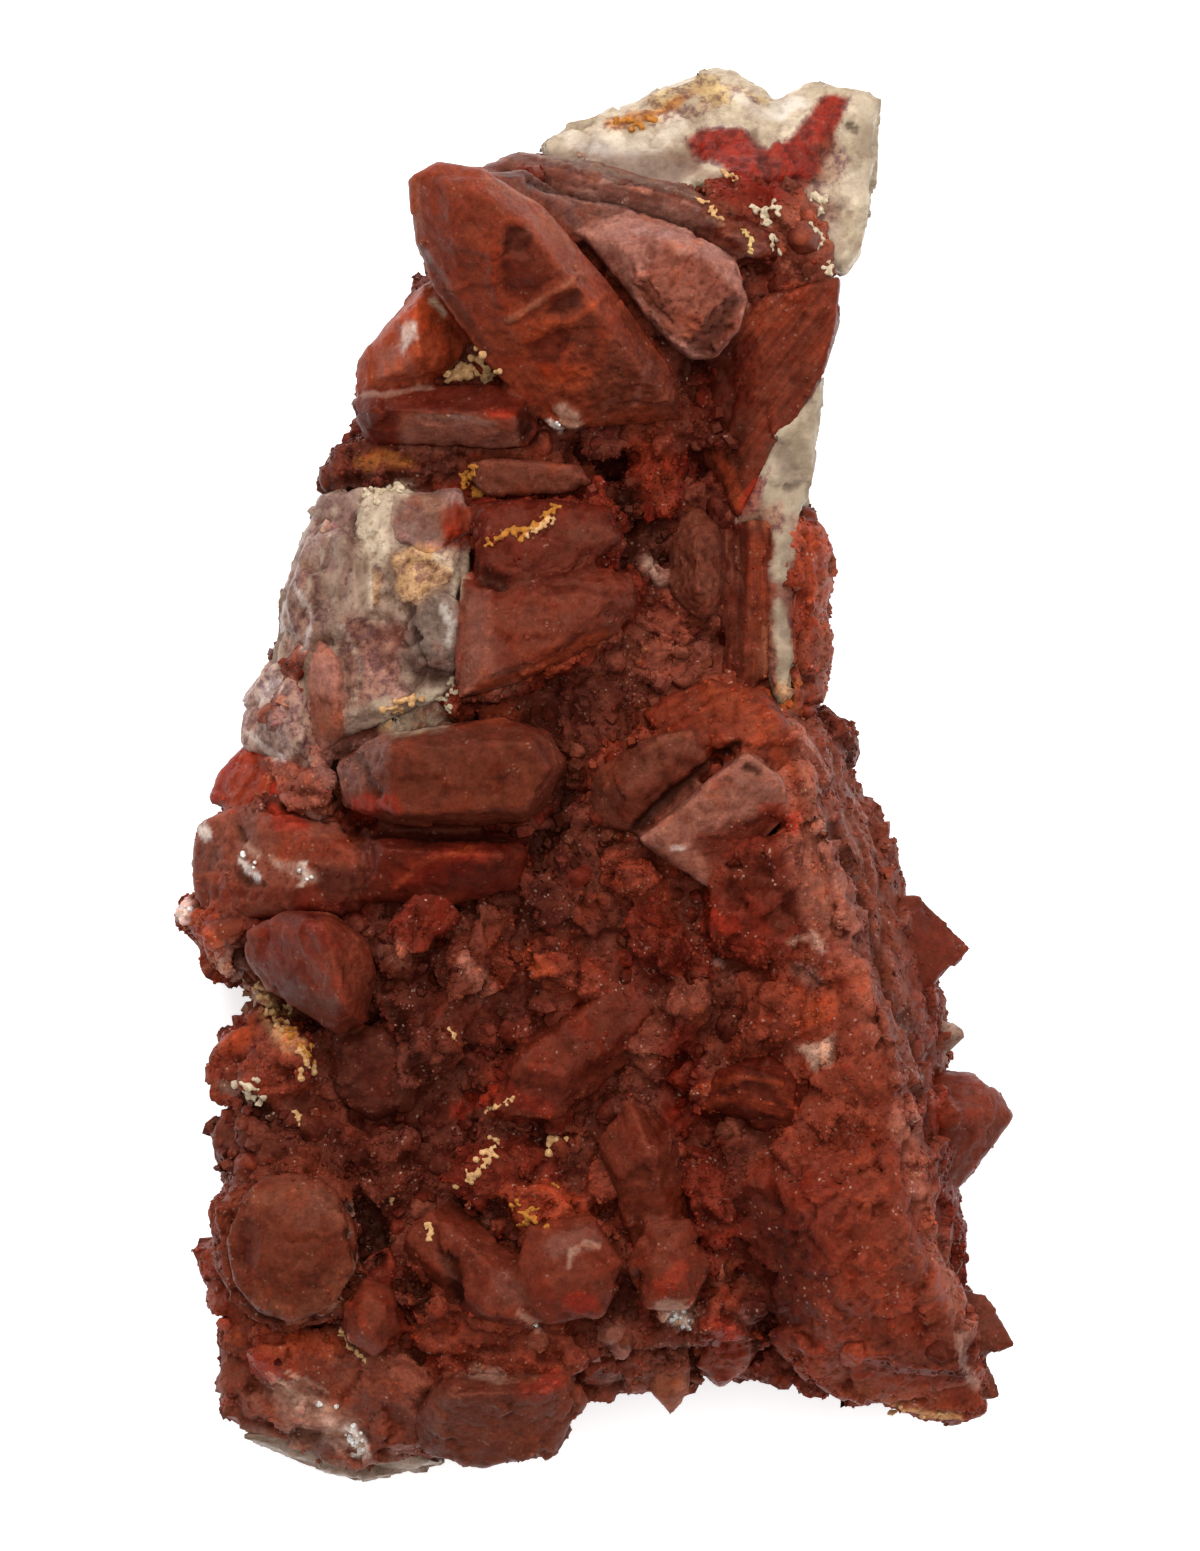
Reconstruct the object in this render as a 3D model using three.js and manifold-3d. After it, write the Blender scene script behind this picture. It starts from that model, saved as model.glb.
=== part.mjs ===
// A raw quartz cluster: rust-red crystals grown together on a bed of pale, broken quartz.
// Millimetres, +Z up. The cluster lies on its back, which is cut flat at z = 0. +Y runs from its
// broad foot to its narrow top, and the crystals face +Z. The origin is near the middle of the cut.
// Everything is one grown-together piece, so every body below is joined into a single solid.

import * as THREE from 'three';
import { ConvexGeometry } from 'three/addons/geometries/ConvexGeometry.js';
import { mergeVertices } from 'three/addons/utils/BufferGeometryUtils.js';
import Module from 'manifold-3d';

const BED = 9; // height of the rock bed, from which every other height here is counted
const BACKSET = 1.6; // how far the widest part of the rock stays inside its outline
const UNDERCUT = 4; // how far the rock draws in towards the cut
const SHOULDER = 3; // how far the rock draws in towards its top
const BELLY = 0.45; // where the rock is widest, as a share of its height
const CUT_DEPTH = 3; // how far bodies reach below the cut before they are trimmed
const TAPER = 0.9; // a block's foot against its top, in plan
const ROOT = 7; // every block reaches down at least this far into the rock, above the bed
const WALL_ROOT = 9; // how deep a wall crystal is rooted
const WALL_STEP = 7.6; // spacing of the wall crystals along the rim
const WALL_WIDTH = [4.2, 7.4]; // narrowest and widest wall crystal
const QUARTZ = { color: 0x7a3426, roughness: 0.55, metalness: 0.0 };

// The rim of the cluster in plan, clockwise from the top left. Crystals stand out of its walls.
const RIM = [
  [-15, 51], [-6.5, 52.4], [1.5, 55.3], [10, 59.6], [15.5, 57], [21, 57.8], [23.8, 57], [22.6, 48],
  [20.6, 38], [18, 27], [19.9, 20], [19.6, 8], [21.8, 2], [24.4, -4.6], [26, -11], [29.6, -17],
  [29.4, -25], [31.5, -33], [29.6, -38], [32.6, -46], [34, -51], [32.8, -55], [23.5, -53.4],
  [13, -50.6], [7, -52.4], [-1, -53.2], [-5, -57.6], [-12.5, -58], [-20.5, -59.7], [-30, -56.6],
  [-31.6, -52], [-32.8, -44], [-33.4, -37], [-32.4, -28], [-29.4, -19.6], [-33, -17], [-35.2, -12],
  [-33.5, -4.5], [-30.4, 3], [-27, 11], [-25, 20], [-21, 30], [-20, 35], [-15, 41.4], [-15.2, 47],
];

// Rock masses that carry the crystals: [height, outline in plan].
const ROCKS = [
  [7, [[-8, 51], [-4, 53.4], [1.5, 55], [5.5, 57.5], [10, 59.5], [14, 57.8], [16, 56], [16, 44], [0, 43], [-9, 45]]],
  [8, [[13, 55.5], [18.5, 58], [23.2, 57.4], [22.8, 50], [21.8, 45], [20.4, 41], [12, 40]]],
  [12, [[-14, 42], [-8, 48], [14, 46], [20.4, 41], [19.6, 35], [18, 26], [-8, 25], [-18, 30], [-17, 37]]],
  [11, [[-19.6, 34], [-14.4, 40.5], [0, 36], [2, 22], [-22.6, 23], [-21.5, 29]]],
  [12, [[-23, 24], [-25, 18], [-26.6, 12], [-29.8, 4], [-28, -1], [-10, -3], [-6, 22]]],
  [11, [[-12, 26], [12, 28], [17.6, 23], [18.4, 8], [18, -6], [-12, -6]]],
  [9, [[12, 23], [17.8, 21.6], [19.8, 20], [19, 13], [19.6, 8], [18, 0], [12, 0]]],
  [11, [[-30.6, 1], [-33.4, -5], [-34.8, -11.5], [-32.6, -16.4], [-29, -17.4], [-14, -18], [-4, -8], [-18, 1]]],
  [14, [[-20, -4], [16, 0], [21, -4], [23, -13], [23, -25], [-20, -24], [-24, -14]]],
  [7, [[16, 1], [20.6, 0], [23.6, -4], [25.6, -10], [28.4, -16], [28.6, -25], [20, -26], [14, -10]]],
  [11, [[-28.4, -19], [-32, -25], [-31.8, -31], [-33.2, -39], [-32, -46], [-10, -47], [-8, -20]]],
  [12, [[-12, -20], [16, -20], [16, -49.5], [9, -51], [-1, -52], [-12, -50]]],
  [8, [[-31.4, -47], [-31, -53.5], [-28, -56.8], [-20.5, -59.2], [-6, -56.8], [-1, -52.6], [0, -45], [-24, -44]]],
  [13, [[14, -24], [24, -22], [28, -27], [29.4, -39], [32.4, -47], [32.8, -54], [22, -52.6], [14, -48]]],
  [14, [[6, -6], [20, -6], [24.5, -22], [26, -38], [12, -40], [4, -22]]],
  [6, [[-13, 50], [21, 54], [19.4, 36], [18.4, 22], [-22, 22], [-20, 35]]],
  [6, [[-21.6, 31], [18.4, 31], [18.8, -8], [-32, -8], [-24.8, 20]]],
  [6, [[-34, -6], [-30, 4], [20, 4], [28.4, -18], [28.6, -26], [-28.6, -22], [-33.6, -16]]],
  [6, [[-30.6, -16], [27, -12], [31, -46], [-32.4, -46]]],
  [6, [[-32, -38], [2, -38], [-1, -52], [-6, -57], [-28, -57]]],
  [6, [[-2, -38], [30, -38], [32.6, -54.4], [22, -52.5], [10, -49.6], [-2, -50]]],
];

// Crystals and broken lumps that show their outline from above. Each is
// [name, bevel of its rim, depth, outline [x, y, height above the bed], crest points or none].
const BLOCKS = [
  ['great_crystal', 1.3, 9, [[-15.9, 50, 26], [-13.5, 51.4, 26.5], [-9.8, 51, 27], [-4.5, 47.5, 27],
    [0.8, 41.5, 25.5], [6, 34.5, 22], [7.5, 30, 19], [-3.5, 29, 18.5], [-6, 31, 20], [-8.8, 34, 22],
    [-13.5, 40.5, 25], [-15.2, 44.5, 26]]],
  ['rose_crystal', 0.8, 7, [[-1.8, 45.8, 18], [2, 47.6, 17], [8, 46.3, 17.5], [11.8, 42, 19.5], [12.6, 40, 20],
    [10.5, 36.5, 21], [8.7, 35.2, 21.3], [5.5, 37, 21], [1, 42.5, 19.5]]],
  ['mauve_slab', 0.6, 6, [[-10, 51.2, 16], [-6.5, 52.6, 14.5], [0, 51.8, 14], [8, 49.7, 15], [15, 44.6, 16.5],
    [13, 43, 17], [2, 46, 17.5], [-8, 49.4, 17.5]]],
  ['slab_end', 0.7, 5, [[9, 47.5, 16.5], [11.5, 47.9, 16], [15, 45.5, 16.5], [15.3, 43.4, 16.5],
    [11.5, 42.6, 16.5], [9.5, 45, 16.5]]],
  ['top_matrix', 0.9, 8, [[-5, 53.3, 10], [1.5, 55.2, 8.5], [5.5, 57.7, 7.5], [10, 59.7, 6.5], [11.3, 59.4, 6.5],
    [14, 57.9, 7.5], [15, 56.6, 8.5], [15, 50, 14], [4, 49, 14.5], [-4, 50.5, 14]]],
  ['top_corner', 0.9, 8, [[14.5, 56.3, 9.5], [16.5, 56.9, 9.5], [18.5, 58.3, 8.5], [21, 57.7, 8.5],
    [23.7, 57.2, 8.5], [23.2, 51.5, 10], [22.3, 46, 11], [20.9, 42.5, 11.5], [14, 43, 12.5], [13, 50, 13.5]]],
  ['red_ledge', 0.7, 4, [[8, 54.4, 13], [12, 55.1, 12.6], [13.8, 51, 15], [12.5, 49.2, 16], [9.5, 50.5, 15]]],
  ['red_wing', 0.8, 4, [[13.2, 54.2, 13], [17, 54.8, 12], [20.4, 57.1, 10.3], [22.2, 56.9, 10], [21, 53.6, 12],
    [19.8, 50.4, 13.6], [14, 49.4, 15.4]]],
  ['striated_face', 0.5, 7, [[7.5, 32, 12.5], [8.5, 36, 14], [14.5, 40.6, 16.6], [20.6, 42, 17],
    [20.4, 38, 17], [19.2, 33.5, 16.5], [17, 30.5, 16], [14, 26.5, 15.5], [12, 21.5, 15], [9, 26, 13]]],
  ['throat', 1.2, 6, [[1.8, 24.5, 12], [3, 28, 13], [7.5, 29.5, 13.5], [9, 26, 13], [7.2, 21.5, 13.4],
    [5, 20.4, 13.4], [2.4, 21.5, 12.5]]],
  ['pale_wedge', 0.4, 8, [[19.3, 34, 15.6], [17.4, 31, 16], [15.2, 29, 16], [13.5, 25, 15.8], [11.9, 21, 15.4],
    [12.6, 20.9, 15.2], [17.9, 22.3, 14.2], [17.9, 28, 14.5], [18.8, 31, 15]]],
  ['pale_vein', 0.4, 6, [[14.7, 23, 14.8], [17, 22.5, 14.2], [16.6, 17, 14.8], [17, 9.5, 15.2], [16.7, 6, 15],
    [14.9, 5, 15], [14.2, 8, 15], [14.5, 16, 15]]],
  ['red_band', 1.1, 9, [[16, 22.3, 12.6], [19.4, 21.2, 11.6], [20.2, 20, 11], [19.5, 16, 11], [20.2, 9, 10.6],
    [19.6, 6.4, 10.6], [17, 5, 12.5], [16, 12, 13.4]]],
  ['reed_crystal', 0.6, 6, [[10.2, 20.6, 14.4], [12, 21.8, 14.8], [14.4, 20.4, 14.4], [14.6, 8, 15],
    [12.5, 7, 15], [10.3, 8, 14]]],
  ['maroon_prism', 1.1, 6, [[6.2, 19, 13.2], [7.2, 21.8, 13.4], [8.5, 22.5, 13.6], [10.3, 21, 14],
    [11, 17, 14.2], [10.3, 13.5, 14.2], [8.5, 12.8, 14], [6.3, 15, 13.6]]],
  ['brick_lump', 0.8, 5, [[3.8, 15.5, 12.8], [6, 16, 13.2], [8, 14.8, 13.8], [8, 12.2, 13.8], [5.5, 12, 13.4],
    [3.8, 13.5, 13]]],
  ['rose_drift', 1, 5, [[2.3, 13.4, 14.6], [4.5, 13, 14.8], [7.8, 11.6, 14.8], [7.5, 10, 14.4], [4, 9, 13.8],
    [2, 11, 14]]],
  ['left_blade', 1.1, 9, [[-20.3, 35, 15], [-18, 37.8, 15.5], [-14.5, 41.6, 16], [-12.6, 40, 17.5],
    [-11, 36, 17.5], [-12.5, 33.8, 17], [-15, 32.8, 16.5], [-20.6, 32.2, 15]]],
  ['cross_crystal', 0.7, 7, [[-20.9, 31.5, 14.5], [-19, 32.7, 15.5], [-9, 33, 17.5], [-6, 31.6, 18.5],
    [-5, 29.2, 18.5], [-6, 27.6, 18], [-9, 27.4, 17.5], [-19, 27.9, 14.5], [-20.5, 29.6, 14.5]],
    [[-19.2, 30.7, 17.4], [-7, 30.1, 21]]],
  ['brown_step', 0.8, 9, [[-23.3, 25.4, 11.5], [-22.5, 27.8, 12], [-19, 28.5, 13.5], [-12, 27.5, 14.5],
    [-11.5, 25.5, 14.5], [-16, 24.3, 14], [-20, 23.6, 13], [-23.4, 24.2, 11.5]]],
  ['mauve_bar', 0.6, 6, [[-11, 26.3, 17], [-9, 26.7, 17.5], [-1.5, 26.1, 17.5], [-0.7, 24.6, 17.5],
    [-2, 23.6, 17], [-9, 23.3, 17], [-10.5, 24.3, 17]]],
  ['grey_mass', 1.5, 12, [[-23.6, 23.6, 13.6], [-20, 24.2, 15.6], [-11.3, 23.8, 16.6], [-10.6, 19, 18],
    [-10.8, 12, 19], [-11.8, 7.5, 18.5], [-16, 5, 17.5], [-21.5, 3, 16.5], [-27, 5, 13.6], [-27.2, 10, 13],
    [-26.6, 15, 12.6], [-25, 20, 12.6]]],
  ['mauve_facet', 0.6, 4, [[-17, 23.6, 18.6], [-11.3, 24.2, 19], [-10.8, 20.5, 19.6], [-13.5, 18.6, 20],
    [-17, 19.5, 19.4], [-17.6, 21.5, 18.8]]],
  ['glassy_facet', 1, 4, [[-15.8, 14.4, 20], [-13, 15.5, 20.5], [-11.3, 14.4, 20.5], [-10.9, 11, 20],
    [-12, 8, 19.5], [-14.6, 7.8, 19.4], [-16.5, 10.4, 19.4]]],
  ['grey_slab', 1, 6, [[-24.6, 20, 14.4], [-22, 21, 16], [-19.8, 19, 17.6], [-19.5, 13, 18.2],
    [-21, 11.4, 17.2], [-25.6, 11, 14.4], [-26.5, 14.5, 13.8]]],
  ['blush_crystal', 1.8, 9, [[-30.3, 4.4, 10.5], [-29.6, 6.6, 11], [-27.6, 9.2, 12.5], [-26, 9, 14],
    [-24.9, 6, 15.6], [-24.8, 3, 15], [-26.4, 0.9, 13.4], [-29, 1, 11], [-30.4, 2.6, 10.5]]],
  ['tan_crystal', 1, 6, [[-24.8, 8.5, 15.4], [-23.2, 11, 16], [-21.5, 10.2, 17], [-20.8, 6, 17.6],
    [-21.5, 3.2, 17], [-23.3, 2.2, 16], [-24.7, 4, 15.4]]],
  ['glow_lump', 1.2, 9, [[-32.2, 0, 8.5], [-30.4, 2.2, 9.5], [-27.5, 2.4, 11.5], [-25.6, 0.5, 13],
    [-26, -2.8, 13.6], [-30, -3.4, 12], [-33, -2.4, 9.5]]],
  ['brick_ledge', 1, 7, [[-10.4, 22.8, 18.6], [-4, 23.2, 19.4], [1, 22.4, 20], [2, 19.8, 20.4],
    [-2, 16, 21.6], [-10, 15.8, 20.4]]],
  ['brick_face', 0.9, 9, [[-10.6, 16.2, 21.5], [0, 17.4, 21.6], [2.9, 16.8, 21], [3.4, 14.2, 20.8],
    [1, 11.4, 21.6], [-3, 9.6, 22.2], [-7, 7.4, 22.4], [-11, 6, 22], [-11.2, 12, 21.6]]],
  ['dusk_lump', 1.6, 6, [[-4, 7.4, 14], [-0.5, 9, 14], [2.6, 7.8, 14.5], [2.6, 3, 15], [-1, 0.4, 14.5],
    [-4, 2, 14]]],
  ['long_crystal', 1.2, 9, [[-22, 1, 19], [-18, 3.3, 21], [-8, 4.8, 23], [-4.2, 3.6, 23.4], [-2.5, 0.8, 23],
    [-4.2, -2.7, 23], [-6, -4.2, 23], [-17, -4.4, 21.5], [-21.5, -2.8, 19.5]],
    [[-17.5, 2.3, 24], [-5.5, 2.5, 26], [-4.1, 0.4, 25.6], [-6, -3.2, 25.4], [-17, -3.4, 24]]],
  ['under_crystal', 1.2, 8, [[-20, -4.4, 18], [-7.6, -5, 20.4], [-5.7, -6.6, 20.8], [-6.5, -9.8, 20.4],
    [-12, -11.2, 20], [-20, -10.8, 18.5]], [[-18, -6.4, 20.6], [-8, -7, 23]]],
  ['left_lobe', 1.6, 11, [[-33.6, -4.5, 12], [-31, -2.8, 13.5], [-22, -4.2, 17], [-18.6, -7, 18.6],
    [-20, -11.8, 18], [-28, -12.4, 16], [-33.8, -11.6, 12], [-34.6, -8, 11.5]]],
  ['left_ember', 1, 9, [[-35.5, -12.3, 9], [-34.4, -10.4, 9.5], [-32, -10.6, 12.5], [-30.6, -14.6, 13],
    [-31.2, -17.4, 11], [-33, -17.1, 9.5], [-34.6, -14.2, 9]]],
  ['satin_crystal', 1, 9, [[-29.7, -13.4, 17], [-26.5, -11.7, 18.5], [-22.5, -11.9, 20], [-19.2, -14.3, 20.5],
    [-18.7, -17, 20], [-19.6, -21.2, 19], [-22, -22, 18.4], [-28, -18.3, 16.5], [-29.8, -15.6, 16.5]],
    [[-23, -12.9, 22.8], [-21.4, -19.6, 22.2]]],
  ['maroon_lump', 1.2, 6, [[-22.4, -22.4, 15.5], [-18, -21.4, 16.5], [-14.8, -24, 16], [-15.4, -28.6, 15.6],
    [-19, -29.6, 15], [-22.4, -27, 15]]],
  ['left_knob', 1.5, 9, [[-32.8, -24, 10.5], [-31.6, -21.8, 11], [-29, -20.2, 12], [-24.5, -21.6, 15],
    [-24, -26.4, 15.5], [-28.4, -28.2, 14], [-32.6, -28, 10.5]]],
  ['left_nub', 1.3, 8, [[-32.5, -30.2, 9.5], [-28.6, -29.2, 13], [-23, -29, 14.6], [-22.2, -33.4, 14.6],
    [-28, -34, 13], [-31.7, -32.8, 10]]],
  ['disc_seat', 1.4, 9, [[-33.3, -36.6, 10.5], [-29, -33.4, 12.5], [-24, -33, 13.5], [-20, -38, 13.5],
    [-20.4, -44.6, 13.5], [-26, -47.6, 12.5], [-31, -46.6, 11], [-32.8, -44, 10.5], [-33.8, -40, 10.5]]],
  ['foot', 1.8, 11, [[-31.7, -47.5, 9.5], [-27, -46.2, 11.5], [-17, -48.6, 13.5], [-13.2, -52, 13.5],
    [-14, -57.6, 10.5], [-20.5, -59.6, 8], [-25.5, -58, 8], [-30.6, -55.4, 8]]],
  ['foot_crystal', 0.8, 10, [[-16.4, -54.2, 11.5], [-13, -50.8, 14], [-2.6, -50.8, 15], [-1.4, -53.2, 14],
    [-4.2, -57.8, 13], [-9.8, -58.9, 12], [-14.5, -57.9, 11.5]], [[-12.5, -52.6, 16], [-4.5, -52.4, 17]]],
  ['low_lump', 1.2, 6, [[-15.5, -47, 13.6], [-9, -46, 15], [-2, -47, 15], [-0.4, -50.4, 14.4],
    [-5, -51.8, 14], [-14, -51.6, 12.8]]],
  ['foot_edge', 1, 7, [[-1, -53.3, 8.5], [1, -49.6, 12], [5, -48.8, 12.6], [8.4, -49.8, 11.6],
    [7.8, -52.2, 9], [4.3, -52.2, 8.5], [1.5, -52.8, 8.5]]],
  ['ember_tooth', 0.8, 8, [[8.3, -50.4, 10.5], [9.4, -47.2, 12.6], [12, -45.6, 13.6], [14.1, -48.4, 12.6],
    [13, -50.6, 10.5], [10.5, -52.2, 9.5]]],
  ['right_mass', 1.6, 13, [[11.4, -34.6, 16.6], [15, -31, 18.5], [24, -30.4, 19.5], [27.4, -34, 18],
    [30.6, -43, 15], [32.9, -49.6, 11.6], [33.2, -54.7, 9], [29.8, -55, 9], [22, -53.2, 11],
    [17.5, -52.3, 12], [14.2, -46, 14.4], [12, -40, 15.4]],
    [[18, -36, 20.8], [25.5, -37, 20.4], [28, -43, 18.4], [21, -45, 18.6]]],
  ['fold', 1.8, 7, [[8.4, -28.8, 16.6], [10.2, -25, 18.6], [14.5, -23.6, 19.6], [17.8, -26, 19.2],
    [17.6, -30.4, 18], [12, -31, 16.4]]],
  ['satin_face', 0.5, 7, [[-0.6, -1.6, 17], [0.2, 0.6, 18], [4, 2.9, 19.4], [8.2, 3.7, 20.2], [9.8, 0.6, 20.4],
    [3.6, -5.1, 19.2], [0, -4.6, 17.4]]],
  ['ember_mass', 1.4, 9, [[3.8, 5.2, 16], [9.5, 8.2, 17.4], [14, 6.8, 18.4], [16.9, 3.6, 19], [17.8, -1, 18.4],
    [14, 1.5, 20], [9.5, 1.5, 19.4], [5, 3.4, 17.4]]],
  ['pink_plate', 0.5, 8, [[3.4, -5.6, 21], [12.4, 1.9, 21.6], [15.7, -0.4, 22], [16.3, -3.2, 22.6],
    [13.5, -6.2, 23.4], [9.4, -9.7, 23.4], [6, -7.5, 22.4]]],
  ['red_block', 0.6, 7, [[9.2, -6.5, 20.4], [13.5, -5, 21.6], [17, -6, 21.6], [17.7, -15.4, 20],
    [13, -16.2, 19], [9.3, -14.6, 18.6]]],
  ['druse_bank', 1.2, 8, [[12.8, -16, 17.6], [17.8, -13.8, 20], [21, -14, 20.6], [24, -22, 20.6],
    [26.4, -30.4, 19.6], [24, -32, 19], [14, -31, 17], [11.4, -24, 16.4]]],
  ['upper_slope', 0.8, 11, [[16.6, 3.6, 18], [20.4, 3.4, 12.6], [21.4, -2.6, 12], [25.3, -8, 10.4],
    [26.2, -13.6, 11], [21.4, -15, 20], [18.8, -6, 21.4]]],
  ['middle_slope', 0.8, 11, [[20.8, -12.6, 20], [26.6, -11.8, 10.6], [29.4, -19.4, 9.4], [29.4, -24.8, 9.6],
    [26.4, -31, 18.4], [23.6, -22, 20.2]]],
  ['lower_slope', 0.8, 11, [[25.6, -28, 19], [29.4, -26.8, 11.5], [29.6, -37, 11.5], [31.2, -43, 10.6],
    [28.8, -39, 17.2]]],
  ['side_knob', 0.9, 7, [[19.3, 5.6, 8.5], [21.5, 3.9, 8.5], [22.2, 1.7, 8.5], [21, -0.4, 8.5], [18.4, 0, 12],
    [17.8, 4, 12]]],
  ['side_lump', 0.9, 8, [[21.3, -3, 8.5], [23.2, -2.7, 8.5], [24.5, -4.4, 8.5], [26, -9.6, 8.5], [26, -11, 8.5],
    [22, -10, 13], [20, -5, 13]]],
  ['side_point', 0.8, 8, [[26.6, -25.4, 9], [31.8, -25.5, 9.4], [34, -27, 9.4], [35.5, -29.2, 9],
    [33.5, -32, 9.6], [29.4, -37.2, 9.5], [26.6, -36, 11], [25.6, -30, 13]], [[30.6, -28.8, 13.4]]],
];

// Round-ended crystals that face the viewer: [name, centre x, y, height, half width, half length, turn].
const BUDS = [
  ['disc_crystal', -25.8, -40, 18.4, 5.7, 6.5, 12], ['small_bud', -19.2, -46, 16.6, 2.7, 3.5, -20],
  ['front_bud', -2.5, -42, 20, 4.9, 5.1, 8], ['pale_bud', 6, -41.6, 19, 3.7, 4.4, 0],
  ['ledge_bud', 17.4, 45.4, 16, 1.6, 1.7, 20], ['pebble', 1.3, -47.4, 15.4, 1.6, 1.4, 30],
  ['mid_bud', 1.6, -34.6, 16.6, 2.8, 2.6, 40], ['cleft_bud', 10.2, -38.6, 15.8, 2.6, 3, 10],
  ['left_bud', -17.4, -34.6, 15.4, 2.8, 2.6, 15], ['red_bud', -9.6, -15.8, 18.6, 2.2, 2.6, 25],
];

// Pointed prisms: [name, root [x, y, z], tip [x, y, z], width, thickness, roll in degrees].
const PRISMS = [
  ['slanted_point', [3.4, -19.4, 13], [-8.8, -28.8, 17.6], 7.6, 6.4, 10],
  ['cleft_point', [-10, -18, 13.6], [-17.4, -26.6, 18.2], 5.2, 5, 0],
  ['dusk_point', [0, -14, 14], [-6.6, -8.4, 20.2], 4.4, 4, 20],
  ['spear', [5.2, -39.5, 12.4], [2.6, -27.6, 18.8], 6.8, 6, -12],
  ['white_tip', [-14.4, -38.6, 12.6], [-5, -46.8, 17.8], 6.8, 5.6, 8],
  ['nub', [5.8, -47.6, 9.6], [6.3, -54.3, 8.4], 3.6, 3.4, 0],
  ['side_pyramid', [22, -16.2, 7], [31.9, -15.1, 9], 9, 7.4, 12],
  ['side_shard', [25, -22.8, 6], [31.4, -22.2, 8], 5.4, 4.6, 30],
  ['side_tooth', [25.5, -41, 6], [32.1, -41.3, 8], 4.6, 4.2, 0],
  ['side_spur', [28, -46.6, 6], [35.4, -48.8, 8], 6.6, 5.4, 15],
  ['corner_spur', [27.5, -50, 6], [34.2, -53.6, 7], 5.6, 5, 0],
  ['brow', [-1, 46, 15], [-9.4, 50.6, 20.6], 4, 3.4, 0],
  ['pale_chip', [6, 15, 11], [4.7, 17.8, 16], 2.4, 2, 0],
  ['rust_point', [-12.6, -8, 16], [-17, -16.2, 21], 4.2, 3.8, 10],
  ['pink_point', [-8, -10, 15], [-12.4, -19.4, 19.4], 4.6, 4.2, -8],
  ['orange_point', [0, -18, 14.4], [-6, -14.8, 19.2], 4.4, 3.8, 0],
  ['garnet_point', [8.4, -18, 14], [2.4, -11.4, 19.8], 5, 4.4, 15],
  ['brick_point', [6, -12, 14], [1, -7.2, 19.6], 4, 3.8, 0],
  ['rose_point', [4, -24, 13.4], [9.6, -17.2, 19], 4.6, 4.2, 0],
  ['bank_point', [12, -24, 14], [17.4, -18.4, 21.4], 4.4, 4, 10],
  ['low_point', [-4, -33, 13], [-13.4, -34.4, 16.6], 5, 4.4, 0],
  ['red_wedge', [-2, -38, 13], [-8.4, -35.2, 17], 5, 4.4, 10],
  ['flat_point', [-20, -33, 12], [-15.2, -30.4, 16.2], 4.6, 4, 0],
  ['heel_point', [-24, -50, 9], [-29.6, -49.4, 13.2], 5.4, 5, 0],
  ['toe_point', [-10, -46, 11], [-16.6, -44.2, 15.4], 4.4, 4, 0],
  ['cheek_point', [8, -33, 12.6], [11.6, -38.4, 17.2], 4.6, 4, 0],
  ['root_point', [12, -42, 11], [9.6, -47.8, 15.6], 4.6, 4, 0],
];

const wasm = await Module();
wasm.setup();

// The same seed gives the same wall each time.
function seeded(seed) {
  let state = seed;
  return () => {
    state = (state * 1664525 + 1013904223) % 4294967296;
    return state / 4294967296;
  };
}

const between = ([low, high], share) => low + (high - low) * share;

// A closed solid from the points that it must reach.
function hull(points) {
  const shape = new ConvexGeometry(points);
  shape.deleteAttribute('normal');
  const merged = mergeVertices(shape, 1e-3);
  return new wasm.Manifold(new wasm.Mesh({
    numProp: 3,
    vertProperties: new Float32Array(merged.attributes.position.array),
    triVerts: new Uint32Array(merged.index.array),
  }));
}

function centreOf(outline) {
  const sum = new THREE.Vector2();
  for (const [x, y] of outline) sum.add(new THREE.Vector2(x, y));
  return sum.divideScalar(outline.length);
}

// One point of an outline, moved towards the middle of its body by a distance.
function drawnIn([x, y], centre, distance, height) {
  const inward = new THREE.Vector2(centre.x - x, centre.y - y).setLength(distance);
  return new THREE.Vector3(x + inward.x, y + inward.y, height);
}

// A rock mass: widest at its belly, drawn in at the top and towards the cut.
function rock([height, outline]) {
  const centre = centreOf(outline);
  const top = BED + height;
  return hull(outline.flatMap((corner) => [
    drawnIn(corner, centre, UNDERCUT, -CUT_DEPTH),
    drawnIn(corner, centre, BACKSET, top * BELLY),
    drawnIn(corner, centre, SHOULDER, top),
  ]));
}

// A broken lump or a crystal seen on its broad face, with its rim bevelled.
function block([, bevel, depth, outline, crest = []]) {
  const centre = centreOf(outline);
  const ridge = crest.map(([x, y, z]) => new THREE.Vector3(x, y, z + BED));
  return hull(ridge.concat(outline.flatMap(([x, y, z]) => [
    drawnIn([x, y], centre, bevel, z + BED),
    drawnIn([x, y], centre, 0, z + BED - bevel * 0.8),
    new THREE.Vector3(x, y, 0)
      .lerp(new THREE.Vector3(centre.x, centre.y, 0), 1 - TAPER)
      .setZ(BED + Math.min(z - depth, ROOT)),
  ])));
}

// A crystal that grows towards the viewer and shows its low six-sided cap.
function bud([, x, y, height, halfWidth, halfLength, turn]) {
  const points = [];
  for (let side = 0; side < 6; side += 1) {
    const angle = THREE.MathUtils.degToRad(turn + side * 60);
    for (const [share, fall] of [[0.45, 0], [1, 1.6], [0.94, 7]]) {
      const across = halfWidth * share * Math.cos(angle);
      const along = halfLength * share * Math.sin(angle);
      points.push(new THREE.Vector3(x + across, y + along, BED + height - fall));
    }
  }
  return hull(points);
}

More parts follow.
